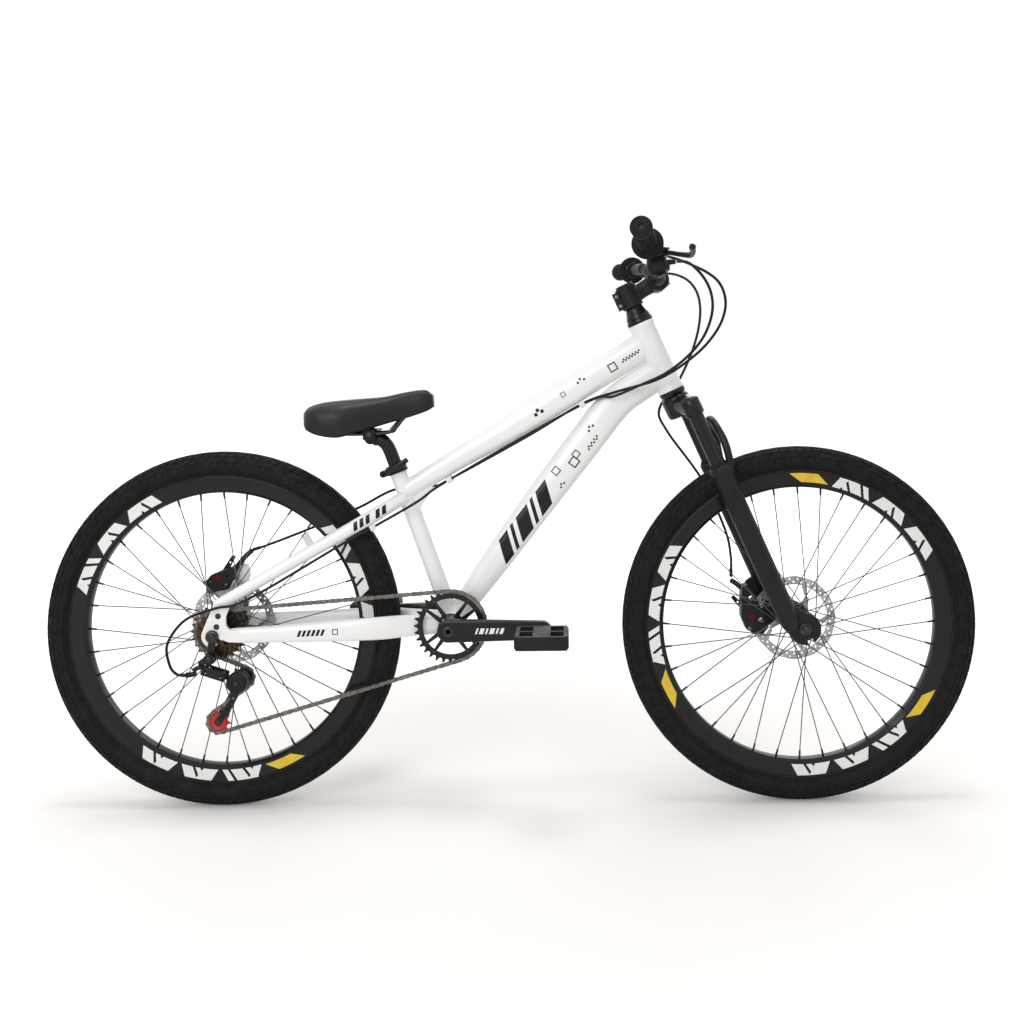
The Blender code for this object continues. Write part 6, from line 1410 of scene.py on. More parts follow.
LEVER_REACH = Vector((0.935, 0, -0.355)).normalized()
for side, word in HANDS:
    centre, out = bar_point(0.0160, side)
    ahead = (LEVER_REACH - out * LEVER_REACH.dot(out)).normalized()
    up = out.cross(ahead)
    axes = Matrix.Translation(centre) @ Matrix((out, ahead, up)).transposed().to_4x4()

    def at(outward, forward, upward=0.0):
        return axes @ Vector((outward, forward, upward))

    ring = turned(two_ended([(0.0114, 0.0060), (0.0155, 0.0060), (0.0162, 0.0053)]),
                  pointing(centre, out), 40)
    perch = swept([(at(0, 0.0140), 0.0110, 0.0160), (at(-0.0040, 0.0240), 0.0150, 0.0150),
                   (at(-0.0070, 0.0330), 0.0190, 0.0145)], 28, 3.0, out, 5)
    slot = prism([(-0.0130, 0.0255), (0.0200, 0.0255), (0.0200, 0.0500), (-0.0130, 0.0500)], -0.0045,
                 0.0045, axes)
    perch = cut(perch, slot)
    shown(f"lever_casting_{word}", gathered(perch, ring), SATIN_BLACK, "steering",
          (f"brake_lever_bracket_{word}",), bevel=0.0006, angle=40)
    barrel = [rod(at(-0.0120, 0.0300), at(-0.0230, 0.0300), 0.0046, 20),
              rod(at(-0.0230, 0.0300), at(-0.0270, 0.0300), 0.0048, 12),
              rod(at(-0.0270, 0.0300), at(-0.0340, 0.0300), 0.0040, 20)]
    shown(f"lever_barrel_{word}", gathered(*barrel), DARK_RED, "steering",
          bevel=0.0003)
    blade = swept([(at(-0.0080, 0.0320), 0.0085, 0.0075), (at(0.0040, 0.0420), 0.0115, 0.0075),
                   (at(0.0180, 0.0590), 0.0105, 0.0080), (at(0.0420, 0.0770), 0.0100, 0.0100),
                   (at(0.0800, 0.0840), 0.0090, 0.0105), (at(0.1120, 0.0835), 0.0085, 0.0095),
                   (at(0.1200, 0.0850), 0.0110, 0.0100), (at(0.1250, 0.0860), 0.0060, 0.0060)],
                  28, 2.4, ahead, 6)
    shown(f"lever_blade_{word}", blade, SATIN_BLACK, f"{word}_lever", (f"brake_lever_blade_{word}",),
          bevel=0.0008)
    pins = [pointing(at(-0.0060, 0.0325, 0.0072), up), pointing(at(-0.0060, 0.0325, -0.0072), -up),
            pointing(at(0.0040, -0.0150, 0.0), -ahead)]
    screws(f"lever_screws_{word}", 0.0032, 0.0018, pins, BRIGHT_PLATE, "steering")
print("levers:", [word for side, word in HANDS])

# %% Shifter
centre, out = bar_point(0.0420, -1)
down = Vector((0.42, 0, -0.91)).normalized()
down = (down - out * down.dot(out)).normalized()
ahead = out.cross(down)
outlet = (centre + down * 0.0340 + ahead * 0.0140, centre + down * 0.0400 + ahead * 0.0310)
clamp_ring = two_ended([(0.0114, 0.0055), (0.0154, 0.0055), (0.0160, 0.0049)])
pod = [turned(clamp_ring, pointing(centre, out), 40),
       swept([(centre + down * 0.0140, 0.0160, 0.0240), (centre + down * 0.0200, 0.0340, 0.0300),
              (centre + down * 0.0300, 0.0370, 0.0380), (centre + down * 0.0420, 0.0350, 0.0380),
              (centre + down * 0.0480, 0.0290, 0.0320)], 32, 2.8, out, 4),
       rod(outlet[0], outlet[0].lerp(outlet[1], 0.62), 0.0050, 20, 0.0047),
       rod(outlet[0].lerp(outlet[1], 0.60), outlet[1], 0.0046, 20, 0.0043)]
shown("shifter_pod", gathered(*pod), BLACK_PLASTIC, "steering", ("shifter_body",),
      bevel=0.0008, angle=40)
pivot = centre + down * 0.0485
hub = swept([(pivot + down * 0.0010, 0.0180, 0.0180), (pivot + down * 0.0045, 0.0180, 0.0180)],
            32, 2.0, out)
paddle = swept([(pivot + down * 0.0028 + out * 0.002, 0.0100, 0.0035),
                (pivot + down * 0.0040 + out * 0.0150 - ahead * 0.0100, 0.0110, 0.0035),
                (pivot + down * 0.0070 + out * 0.0300 - ahead * 0.0200, 0.0130, 0.0040)],
               24, 2.6, ahead, 5)
shown("shifter_paddle", gathered(hub, paddle), BLACK_PLASTIC, "thumb_lever", ("shifter_thumb_lever",),
      bevel=0.0006)
print("levers and shifter done")

# %% [markdown]
# ## Chain line
#
# One closed line runs round the chainring, the sprocket in use and both pulleys. It is worked out
# from four circles and their common tangents. Links are then set on it at even spacing, outer
# plates and inner plates by turns, and every toothed wheel is phased so that rollers lie in its gaps.
# The upper part stays with the frame. The stretches round the two pulleys are separate fixed pieces.

# %% Chain line
CHAIN_PITCH = 0.0127
CHAIN_PLANE = -0.0445
CHAINRING_TEETH = 32
COG_TEETH = (12, 14, 16, 18, 20, 22, 24)
COG_IN_USE = 4
COG_SPACING = 0.0048
PULLEY_TEETH = 10
CRANK_LENGTH = 0.170
CAGE_PIVOT = Vector((-0.4950, 0, 0.2490))
TENSION_CENTRE = Vector((-0.5390, 0, 0.1686))


def pitch_radius(teeth):
    """The radius on which a chain's rollers lie round a wheel."""
    return CHAIN_PITCH / (2 * sin(pi / teeth))


CHAIN_WHEELS = [(BOTTOM_BRACKET, pitch_radius(CHAINRING_TEETH), 1),
                (REAR_AXLE, pitch_radius(COG_TEETH[COG_IN_USE]), 1),
                (CAGE_PIVOT, pitch_radius(PULLEY_TEETH), -1),
                (TENSION_CENTRE, pitch_radius(PULLEY_TEETH), 1)]


def chain_segments():
    """Straight runs and wraps of the chain's pitch line, in order, seen from the right."""
    runs = []
    for i, (start, start_radius, start_turn) in enumerate(CHAIN_WHEELS):
        end, end_radius, end_turn = CHAIN_WHEELS[(i + 1) % len(CHAIN_WHEELS)]
        dx, dz = end.x - start.x, end.z - start.z
        near, far = start_radius * start_turn, end_radius * end_turn
        heading = atan2(dz, dx) - (pi / 2 - acos((far - near) / hypot(dx, dz)))
        left = (-sin(heading), cos(heading))
        runs.append(((start.x - left[0] * near, start.z - left[1] * near),
                     (end.x - left[0] * far, end.z - left[1] * far)))
    segments = []
    for i, (leave, arrive) in enumerate(runs):
        segments.append(("run", leave, arrive, hypot(arrive[0] - leave[0], arrive[1] - leave[1])))
        centre, radius, turn = CHAIN_WHEELS[(i + 1) % len(CHAIN_WHEELS)]
        next_leave = runs[(i + 1) % len(runs)][0]
        first = atan2(arrive[1] - centre.z, arrive[0] - centre.x)
        last = atan2(next_leave[1] - centre.z, next_leave[0] - centre.x)
        sweep = (last - first) * turn % (2 * pi) * turn
        segments.append(("wrap", (centre.x, centre.z, radius, first), sweep, radius * abs(sweep)))
    return segments


SEGMENTS = chain_segments()
CHAIN_LENGTH = sum(segment[3] for segment in SEGMENTS)
CHAIN_LINKS = 2 * round(CHAIN_LENGTH / CHAIN_PITCH / 2)
SPACING = CHAIN_LENGTH / CHAIN_LINKS


def chain_point(distance):
    """The point of the pitch line at a distance along it."""
    distance %= CHAIN_LENGTH
    for kind, start, end, length in SEGMENTS:
        if distance <= length:
            break
        distance -= length
    share = distance / length
    if kind == "run":
        return Vector((start[0] + (end[0] - start[0]) * share, 0, start[1] + (end[1] - start[1]) * share))
    x, z, radius, first = start
    angle = first + end * share
    return Vector((x + radius * cos(angle), 0, z + radius * sin(angle)))


def tooth_phase(centre, radius):
    """Angle of a gap between teeth, so that the chain's rollers lie in the gaps."""
    for i in range(CHAIN_LINKS):
        offset = chain_point(i * SPACING) - centre
        if abs(hypot(offset.x, offset.z) - radius) < 1e-6:
            return atan2(offset.z, offset.x)
    return 0.0


print("chain links:", CHAIN_LINKS, "pitch", round(SPACING * 1000, 3), "mm")

# %% Chain links
def plate_outline(length, wide, waist):
    """The peanut outline of a chain plate between two pins."""
    outline = arc((0, 0), wide, 115, 245, 6) + [(length / 2, -waist)]
    outline += arc((length, 0), wide, -65, 65, 6) + [(length / 2, waist)]
    return outline


def outer_link():
    plates = [prism(plate_outline(SPACING, 0.0041, 0.0030), y, y + 0.0009, side_plane())
              for y in (0.0024, -0.0033)]
    pin = two_ended([(0, 0.0037), (0.0014, 0.0037), (0.0018, 0.0034)])
    pins = [turned(pin, side_plane((x, 0, 0)), 8) for x in (0, SPACING)]
    return gathered(*plates, *pins)


def inner_link():
    plates = [prism(plate_outline(SPACING, 0.0039, 0.0029), y, y + 0.0008, side_plane())
              for y in (0.0015, -0.0023)]
    rollers = [cross_rod((x, 0, 0), 0.0014, 0.0038, 10) for x in (0, SPACING)]
    return gathered(*plates, *rollers)


def along_chain(segment, share=1.0):
    """Distance to a share of the way along one segment of the pitch line."""
    return sum(SEGMENTS[i][3] for i in range(segment)) + SEGMENTS[segment][3] * share


def chain_stretch(start, end):
    """The links that begin between two distances along the pitch line."""
    outer_places, inner_places = [], []
    for i in range(CHAIN_LINKS):
        if start <= i * SPACING < end:
            here, ahead = chain_point(i * SPACING), chain_point((i + 1) * SPACING)
            heading = atan2(ahead.z - here.z, ahead.x - here.x)
            place = Matrix.Translation(here + Y_AXIS * CHAIN_PLANE) @ Matrix.Rotation(-heading, 4, "Y")
            (inner_places if i % 2 else outer_places).append(place)
    return gathered(at_places(outer_link(), outer_places, CHAIN_STEEL),
                    at_places(inner_link(), inner_places, CHAIN_STEEL))


def bent_chain(name, piece, start, end):
    """A stretch of chain, dressed and fixed in place; start and end are not used."""
    dress(name, piece, CHAIN_STEEL, 32)
    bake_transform(piece)


SPROCKET_WRAP, GUIDE_RUN, GUIDE_WRAP, PULLEY_RUN, LOWER_RUN = 1, 2, 3, 4, 6
leaves_sprocket, mid_cage = along_chain(SPROCKET_WRAP), along_chain(PULLEY_RUN, 0.5)
reaches_chainring = along_chain(LOWER_RUN)
chain = gathered(chain_stretch(0, leaves_sprocket), chain_stretch(reaches_chainring, CHAIN_LENGTH))
shown("chain_links", chain, CHAIN_STEEL, "frame", ("chain",))
guide_links = chain_stretch(leaves_sprocket, mid_cage)
bent_chain("chain_guide_links", guide_links, chain_point(along_chain(GUIDE_RUN)),
           chain_point(along_chain(GUIDE_WRAP)))
lower_links = chain_stretch(mid_cage, reaches_chainring)
bent_chain("chain_lower_links", lower_links, (TENSION_CENTRE.x, 0, 0),
           (2 * CAGE_PIVOT.x - TENSION_CENTRE.x, 0, 0))
print("chain faces:", sum(len(piece.data.polygons) for piece in (chain, guide_links, lower_links)))

# %% [markdown]
# ## Chainring and cranks
#
# The chainring is stamped plate with pointed teeth, four wide and four slim windows, and rivets. The
# crank arms are forgings with rounded edges and a long shallow hollow on the outside, drawn here by
# cutting a slim outline out of the arm.

# %% Toothed plates
CHAIN_TOOTH = ((-0.22, -0.0032), (-0.10, -0.0040), (0.0, -0.0042), (0.10, -0.0040), (0.22, -0.0032),
               (0.34, 0.0010), (0.44, 0.0034), (0.50, 0.0037), (0.56, 0.0034), (0.66, 0.0010))
PULLEY_TOOTH = ((-0.20, -0.0034), (0.0, -0.0042), (0.20, -0.0034), (0.36, -0.0002), (0.45, 0.0018),
                (0.55, 0.0018), (0.64, -0.0002))


def toothed(phase, teeth, radius, tooth=CHAIN_TOOTH):
    """The outline of a chain wheel: one gap and one tooth, as (share of a pitch, height), repeated."""
    outline = []
    for i in range(teeth):
        for share, height in tooth:
            angle = phase + 2 * pi * (i + share) / teeth
            outline.append(((radius + height) * cos(angle), (radius + height) * sin(angle)))
    return outline


ring_radius = pitch_radius(CHAINRING_TEETH)
ring_outline = toothed(tooth_phase(BOTTOM_BRACKET, ring_radius), CHAINRING_TEETH, ring_radius)
ring = prism(ring_outline, -0.0011, 0.0011, side_plane())
tools = [cross_rod((0, 0, 0), 0.005, 0.0136)]
for i in range(4):
    wide = arc((0, 0), 0.0515, 90 * i - 31, 90 * i + 31, 14)
    wide += arc((0, 0), 0.0235, 90 * i + 20, 90 * i - 20, 8)
    slim = arc((0, 0), 0.0515, 90 * i + 37, 90 * i + 53, 5)
    slim += arc((0, 0), 0.0255, 90 * i + 50, 90 * i + 40, 3)
    tools += [prism(wide, -0.005, 0.005, side_plane()), prism(slim, -0.005, 0.005, side_plane())]
ring = moved(cut(ring, gathered(*tools)), Matrix.Translation(BOTTOM_BRACKET + Y_AXIS * CHAIN_PLANE))
shown("chainring_plate", ring, GLOSS_BLACK, "crank_set", ("chainring",), bevel=0.0003)
rivets = []
for i in range(8):
    angle = radians(90 * (i // 2) + (34 if i % 2 else 56))
    spot = BOTTOM_BRACKET + spun(0.0555, angle, CHAIN_PLANE - 0.0010)
    rivets.append(pointing(spot, -Y_AXIS))
screws("chainring_rivets", 0.0028, 0.0012, rivets, DARK_STEEL, "crank_set")
print("chainring teeth:", CHAINRING_TEETH, "radius", round(ring_radius, 4), "m")

# %% Crank arms
for side, word in HANDS:
    direction = 1 if side < 0 else -1
    rings = []
    for reach, shrink in ((0.0725, 0.0026), (0.0732, 0.0010), (0.0745, 0), (0.0858, 0), (0.0872, 0.0008),
                          (0.0880, 0.0024)):
        outline = arc((0, 0), 0.0205 - shrink, 95, 265, 24)
        outline += arc((CRANK_LENGTH, 0), 0.0165 - shrink, -85, 85, 24)
        rings.append([Vector((x * direction, side * reach, z)) for x, z in outline])
    arm = loft(rings)
    start, radius = (0.0461, 0.0225) if side < 0 else (0.0560, 0.0175)
    hollow = [(x * direction, z) for x, z in arc((0.034, 0), 0.0098, 100, 260, 10)
              + arc((0.142, 0), 0.0072, -80, 80, 10)]
    low, high = sorted((-side * 0.0868, -side * 0.1000))
    arm = fused(arm, rod((0, side * start, 0), (0, side * 0.0750, 0), radius, 48, 0.0195))
    if side < 0:
        arm = fused(arm, rod((0, -0.0425, 0), (0, -0.0500, 0), 0.0128, 32))
    arm = cut(arm, box((0, side * 0.065, 0), (0.0131, 0.070, 0.0131)),
              rod((CRANK_LENGTH * direction, side * 0.060, 0),
                  (CRANK_LENGTH * direction, side * 0.100, 0), 0.0074, 32),
              prism(hollow, low, high, side_plane()))
    shown(f"crank_forging_{word}", moved(arm, Matrix.Translation(BOTTOM_BRACKET)), GLOSS_BLACK,
          "crank_set", (f"crank_arm_{word}",), bevel=0.0008, angle=30)
    if side < 0:
        film = []
        for x, width in ((0.048, 0.0034), (0.055, 0.0074), (0.066, 0.0034), (0.073, 0.0084),
                         (0.085, 0.0034), (0.092, 0.0060)):
            film.append(prism([(x, -0.0052), (x + width, -0.0052), (x + width + 0.0036, 0.0052),
                               (x + 0.0036, 0.0052)], 0.0864, 0.08695, side_plane(BOTTOM_BRACKET)))
        shown("crank_side_marks", gathered(*film), MARK_WHITE, "crank_set")
spindle = gathered(cross_rod((0, 0, 0), 0.0415, 0.0086),
                   box((0, 0, 0), (0.0125, 0.1790, 0.0125)))
caps = []
for side in (-1, 1):
    caps.append(turned([(0, 0.0884), (0.0094, 0.0884), (0.0098, 0.0890), (0.0094, 0.0906),
                        (0.0084, 0.0912), (0.0045, 0.0912), (0.0045, 0.0895), (0, 0.0895)],
                       outward(side), 32))
shown("crank_axle_core", moved(gathered(spindle, *caps), Matrix.Translation(BOTTOM_BRACKET)), DARK_STEEL,
      "crank_set", ("crank_spindle",), bevel=0.0004)
cups = turned([(0.0095, -0.0363), (0.0190, -0.0363), (0.0195, -0.0359), (0.0195, -0.0343),
               (0.0164, -0.0343), (0.0164, 0.0343), (0.0190, 0.0343), (0.0190, 0.0360),
               (0.0186, 0.0363), (0.0095, 0.0363)], along_y(BOTTOM_BRACKET))
shown("bottom_bracket_cups", cups, DARK_STEEL, "frame", ("bottom_bracket_cartridge",))
print("crank length", CRANK_LENGTH, "m")

# %% [markdown]
# ## Pedals
#
# The pedals are moulded platforms with four windows, a notch in the front and rear edge, and short
# steel studs. One stud is turned, and copies of it stand in three rows on both faces.

# %% Pedals
PEDAL_INNER = 0.0980
PEDAL_OUTER = 0.1880
PEDAL_HALF_LENGTH = 0.0480
for side, word in HANDS:
    direction = 1 if side < 0 else -1
    centre = BOTTOM_BRACKET + Vector((CRANK_LENGTH * direction, 0, 0))
    long, corner, inner, outer = PEDAL_HALF_LENGTH, 0.010, PEDAL_INNER, PEDAL_OUTER
    outline = arc((long - corner, inner + corner), corner, -90, 0, 5)
    outline += arc((long - corner, outer - corner), corner, 0, 90, 5)
    outline += arc((corner - long, outer - corner), corner, 90, 180, 5)
    outline += arc((corner - long, inner + corner), corner, 180, 270, 5)
    rings = []
    for height, shrink in ((-0.0118, 0.94), (-0.0090, 0.985), (0.0090, 0.985), (0.0118, 0.94)):
        rings.append([Vector((x * shrink, side * y, height)) for x, y in outline])
    windows = []
    for x in (-0.0270, 0.0270):
        for y in (inner + 0.0250, outer - 0.0250):
            windows.append(box((x, side * y, 0), (0.0230, 0.0340, 0.050)))
    for x in (-0.0600, 0.0600):
        windows.append(box((x, side * (inner + outer) / 2, 0), (0.0300, 0.0560, 0.0090)))
    body = cut(loft(rings), *windows,
               rod((0, side * 0.09, 0), (0, side * 0.183, 0), 0.0063, 24))
    barrel = rod((0, side * (inner + 0.0004), 0), (0, side * (outer - 0.0010), 0), 0.0112, 24)
    barrel = cut(barrel, rod((0, side * 0.09, 0), (0, side * 0.183, 0), 0.0063, 24))
    body = moved(gathered(body, barrel), Matrix.Translation(centre))
    shown(f"pedal_platform_{word}", body, BLACK_PLASTIC, f"{word}_pedal", (f"pedal_body_{word}",),
          bevel=0.0007)
    studs = []
    for face in (-1, 1):
        for x in (-0.0425, -0.0135, 0.0135, 0.0425):
            for y in (inner + 0.0042, (inner + outer) / 2, outer - 0.0045):
                spot = centre + Vector((x, side * y, face * 0.0116))
                studs.append(pointing(spot, Z_AXIS * face))
    stud = turned([(0, -0.0006), (0.0017, -0.0006), (0.0014, 0.0010), (0.0009, 0.0013), (0, 0.0013)],
                  UPRIGHT, 10)
    repeated(f"pedal_studs_{word}", stud, studs, DARK_STEEL, f"{word}_pedal")
    stub = turned([(0, 0.0740), (0.0070, 0.0740), (0.0070, 0.0883), (0.0088, 0.0883), (0.0092, 0.0890),
                   (0.0092, 0.0970), (0.0088, 0.0975), (0.0060, 0.0975), (0.0060, 0.1815), (0, 0.1815)],
                  outward(side, centre), 32)
    shown(f"pedal_spindle_{word}", stub, DARK_STEEL, "crank_set", (f"pedal_axle_{word}",))
print("studs on a pedal:", len(studs))

# %% [markdown]
# ## Sprockets
#
# Seven sprockets get larger towards the wheel. Each is one toothed plate, and the three largest have
# round lightening holes. The bronze colour is their plating.

# %% Sprockets
cogs = []
for i, teeth in enumerate(COG_TEETH):
    plane = CHAIN_PLANE + (i - COG_IN_USE) * COG_SPACING
    radius = pitch_radius(teeth)
    phase = tooth_phase(REAR_AXLE, radius) if i == COG_IN_USE else 0.37 * i
    cog = prism(toothed(phase, teeth, radius), -plane - 0.0009, -plane + 0.0009, side_plane())
    if i >= COG_IN_USE:
        holes = []
        for k in range(8):
            angle = 2 * pi * k / 8 + 0.2 * i
            spot = spun(0.0270, angle, plane)
            holes.append(cross_rod(spot, 0.002, 0.0033, 16))
        cog = cut(cog, gathered(*holes))
    cogs.append(cog)
core = turned([(0.0113, -0.0662), (0.0190, -0.0662), (0.0198, -0.0655), (0.0198, -0.0335),
               (0.0171, -0.0335), (0.0171, -0.0560), (0.0113, -0.0560)], along_y(), 48)
stack = moved(gathered(core, *cogs), Matrix.Translation(REAR_AXLE))
shown("sprocket_stack", stack, BRONZE_STEEL, "freewheel_stack", ("freewheel",),
      bevel=0.0002)
print("sprocket faces:", len(stack.data.polygons))

# %% [markdown]
# ## Rear derailleur
#
# A derailleur is a leaning parallelogram. A fixed knuckle under the axle and a moving knuckle are
# joined by two links, and a sprung cage with two pulleys hangs from the moving one. Each part turns
# on its own pin, so each is its own piece here. The drum of the moving knuckle and the red lower
# pulley are what the eye finds first in the picture.

# %% Links and knuckles
LINK_START = Vector((-0.5530, 0, 0.2730))
LINK_END = Vector((-0.5165, 0, 0.2610))
LINK_RUN = (LINK_END - LINK_START).normalized()
LINK_LENGTH = (LINK_END - LINK_START).length
LINK_OUTER_Y = -0.0850
LINK_INNER_Y = -0.0680
HANGER_PIVOT = Vector((-0.5430, 0, 0.2930))
LINK_TURN = Matrix((LINK_RUN, Y_AXIS, LINK_RUN.cross(Y_AXIS))).transposed().to_4x4()


def link_place(corner, y):
    """A place at a link pivot: X along the link, Y across the bicycle, Z on the pivot axis."""
    return Matrix.Translation((corner.x, y, corner.z)) @ LINK_TURN


def barrels(corner):
    """The two hollow pivot barrels of a knuckle and the web between them."""
    middle = (LINK_OUTER_Y + LINK_INNER_Y) / 2
    parts = [prism([(-0.0025, -0.0050), (0.0025, -0.0050), (0.0025, 0.0050), (-0.0025, 0.0050)],
                   -0.0044, 0.0044, link_place(corner, middle))]
    barrel = two_ended([(0.0020, 0.0048), (0.0037, 0.0048), (0.0040, 0.0045)])
    for y in (LINK_OUTER_Y, LINK_INNER_Y):
        parts.append(turned(barrel, link_place(corner, y), 28))
    return parts


claw_x, claw_z = HANGER_PIVOT.x - REAR_AXLE.x, HANGER_PIVOT.z - REAR_AXLE.z
claw = prism(arc((0, 0), 0.0118, -60, 235, 36) + [(-0.0074, -0.0170), (-0.0084, -0.0290)]
             + arc((claw_x, claw_z), 0.0110, 170, 360, 24) + [(0.0042, -0.0250), (0.0064, -0.0150)],
             0.0743, 0.0773, side_plane(REAR_AXLE))
claw = cut(claw, rod(REAR_AXLE - Y_AXIS * 0.07, REAR_AXLE - Y_AXIS * 0.08, 0.0055, 28))
shown("derailleur_claw", claw, GLOSS_BLACK, "frame", ("derailleur_hanger",), bevel=0.0005)

boss = turned([(0, 0.0776), (0.0102, 0.0776), (0.0105, 0.0780), (0.0101, 0.0870), (0.0092, 0.0896),
               (0.0084, 0.0900), (0.0050, 0.0900), (0.0046, 0.0888), (0, 0.0888)],
              side_plane(HANGER_PIVOT), 40)
arm = swept([(HANGER_PIVOT - Y_AXIS * 0.0840, 0.0080, 0.0150),
             ((-0.5530, -0.0830, 0.2890), 0.0070, 0.0120), ((-0.5600, -0.0770, 0.2840), 0.0070, 0.0100),
             ((LINK_START.x - 0.0010, -0.0765, 0.2740), 0.0070, 0.0080)], 24, 2.6, steps=5)
heel = swept([((LINK_START.x, -0.0768, 0.2760), 0.0080, 0.0070),
              ((-0.5640, -0.0790, 0.2770), 0.0080, 0.0080),
              ((-0.5730, -0.0790, 0.2720), 0.0080, 0.0090)], 24, 2.6, steps=5)
shown("derailleur_fixed_knuckle", gathered(*barrels(LINK_START), arm, heel, boss), GLOSS_BLACK, "frame",
      ("derailleur_bracket",), bevel=0.0004, angle=40)
start, stop = Vector((-0.5680, -0.0790, 0.2660)), Vector((-0.5880, -0.0790, 0.2635))
run = stop - start
adjuster = []
for i in range(9):
    adjuster.append((0.0050 if i % 2 else 0.0045, 0.0100 + 0.0011 * i))
adjuster = [(0, 0), (0.0044, 0), (0.0044, 0.0098)] + adjuster + [(0.0040, 0.0192), (0.0036, run.length),
                                                                 (0, run.length)]
shown("derailleur_adjuster", turned(adjuster, pointing(start, run), 20), BLACK_PLASTIC, "frame")

LINKS = (("outer", LINK_OUTER_Y, 0.0034, GLOSS_BLACK, "gloss_black"),
         ("inner", LINK_INNER_Y, 0.0030, DARK_STEEL, "dark_steel"))
for word, y, half_width, material, slot_name in LINKS:
    place = link_place(LINK_START, y)
    outline = [(0.0, -half_width), (LINK_LENGTH, -half_width)]
    outline += [(LINK_LENGTH + 0.0036 * cos(radians(a)), half_width * sin(radians(a)))
                for a in range(-60, 61, 20)]
    outline += [(LINK_LENGTH, half_width), (0.0, half_width)]
    outline += [(-0.0036 * cos(radians(a)), half_width * sin(radians(a))) for a in range(60, -61, -20)]
    bar = prism(outline, -0.0078, 0.0078, place)
    notches = []
    for low, high in ((-0.0100, 0.0062), (LINK_LENGTH - 0.0062, LINK_LENGTH + 0.0100)):
        notches.append(prism([(low, -0.02), (high, -0.02), (high, 0.02), (low, 0.02)], -0.0051, 0.0051,
                             place))
    bar = cut(bar, *notches)
    pin = two_ended([(0, 0.0082), (0.0022, 0.0082), (0.0024, 0.0078), (0.0018, 0.0074)])
    pins = [turned(pin, place @ Matrix.Translation((x, 0, 0)), 20) for x in (0, LINK_LENGTH)]
    shown(f"derailleur_link_{word}", gathered(bar, *pins), material, f"{word}_link",
          (f"derailleur_{word}_link",), bevel=0.0004, angle=40)

drum_place = side_plane(CAGE_PIVOT)
drum = turned([(0.0061, 0.0545), (0.0160, 0.0545), (0.0165, 0.0548), (0.0190, 0.0570), (0.0190, 0.0662),
               (0.0186, 0.0668), (0.0186, 0.0684), (0.0190, 0.0690), (0.0190, 0.0800), (0.0182, 0.0830),
               (0.0165, 0.0850), (0.0120, 0.0858), (0.0074, 0.0862), (0.0066, 0.0850), (0.0042, 0.0846),
               (0.0040, 0.0730), (0.0061, 0.0725)], drum_place, 56)
knuckle_arm = swept([((LINK_END.x, -0.0765, LINK_END.z), 0.0090, 0.0070),
                     ((LINK_END.x + 0.0100, -0.0765, LINK_END.z - 0.0050), 0.0140, 0.0120)], 24, 2.6)
shown("derailleur_drum", gathered(drum, *barrels(LINK_END), knuckle_arm), BLACK_PLASTIC, "knuckle",
      ("derailleur_knuckle",), bevel=0.0003, angle=40)
bolt = [pointing(CAGE_PIVOT - Y_AXIS * 0.0848, -Y_AXIS)]
screws("derailleur_drum_bolt", 0.0040, 0.0012, bolt, DARK_STEEL, "knuckle")
bolt = [pointing(HANGER_PIVOT - Y_AXIS * 0.0890, -Y_AXIS)]
screws("derailleur_hanger_bolt", 0.0044, 0.0010, bolt, DARK_STEEL, "frame")
print("link length", round(LINK_LENGTH, 4), "m")

# %% Cage and pulleys
run = TENSION_CENTRE - CAGE_PIVOT
heading = atan2(run.z, run.x) * 180 / pi
length = hypot(run.x, run.z)
waist = Vector((run.x, run.z))
aside = Vector((-waist.y, waist.x)).normalized()
rear_edge = Y_AXIS.cross(run).normalized()
for word, y, aft, fore, end_radius, material, slot_name in (
        ("inner", -0.0398, 0.0085, 0.0090, 0.0120, DARK_STEEL, "dark_steel"),
        ("outer", -0.0492, 0.0015, 0.0085, 0.0065, GLOSS_BLACK, "gloss_black")):
    outline = arc((0, 0), 0.0125, heading + 90, heading + 270, 18)
    outline += [tuple(waist * share - aside * aft) for share in (0.35, 0.525, 0.70)]
    outline += arc((run.x, run.z), end_radius, heading - 80, heading + 80, 18)
    outline += [tuple(waist * share + aside * fore) for share in (0.70, 0.525, 0.35)]
    tools = []
    for share, size in ((0.34, 0.0020), (0.44, 0.0028), (0.58, 0.0024), (0.69, 0.0018)):
        spot = CAGE_PIVOT + run * share - rear_edge * 0.0036
        tools.append(rod(spot - Y_AXIS * 0.03, spot - Y_AXIS * 0.06, size, 24))
    for angle in (0, 72, 144, 216, 288):
        spot = CAGE_PIVOT + spun(0.0078, radians(angle))
        tools.append(rod(spot - Y_AXIS * 0.03, spot - Y_AXIS * 0.06, 0.0015, 12))
    plate = prism(outline, -y - 0.00075, -y + 0.00075, side_plane(CAGE_PIVOT))
    plate = cut(plate, *tools)
    stands = ("derailleur_cage",) if word == "outer" else ()
    shown(f"derailleur_cage_{word}_plate", plate, material, "cage", stands, bevel=0.0003,
          angle=40)
bolts = []
for spot in (CAGE_PIVOT, TENSION_CENTRE):
    bolts.append(rod(spot - Y_AXIS * 0.0378, spot - Y_AXIS * 0.0512, 0.0024, 24))
    bolts.append(turned([(0, 0.0498), (0.0046, 0.0498), (0.0046, 0.0510), (0.0040, 0.0516),
                         (0.0020, 0.0516), (0.0018, 0.0508), (0, 0.0508)], side_plane(spot), 24))
bolts.append(rod(CAGE_PIVOT - Y_AXIS * 0.0492, CAGE_PIVOT - Y_AXIS * 0.0690, 0.0057, 28))
shown("derailleur_cage_bolts", gathered(*bolts), DARK_STEEL, "cage")
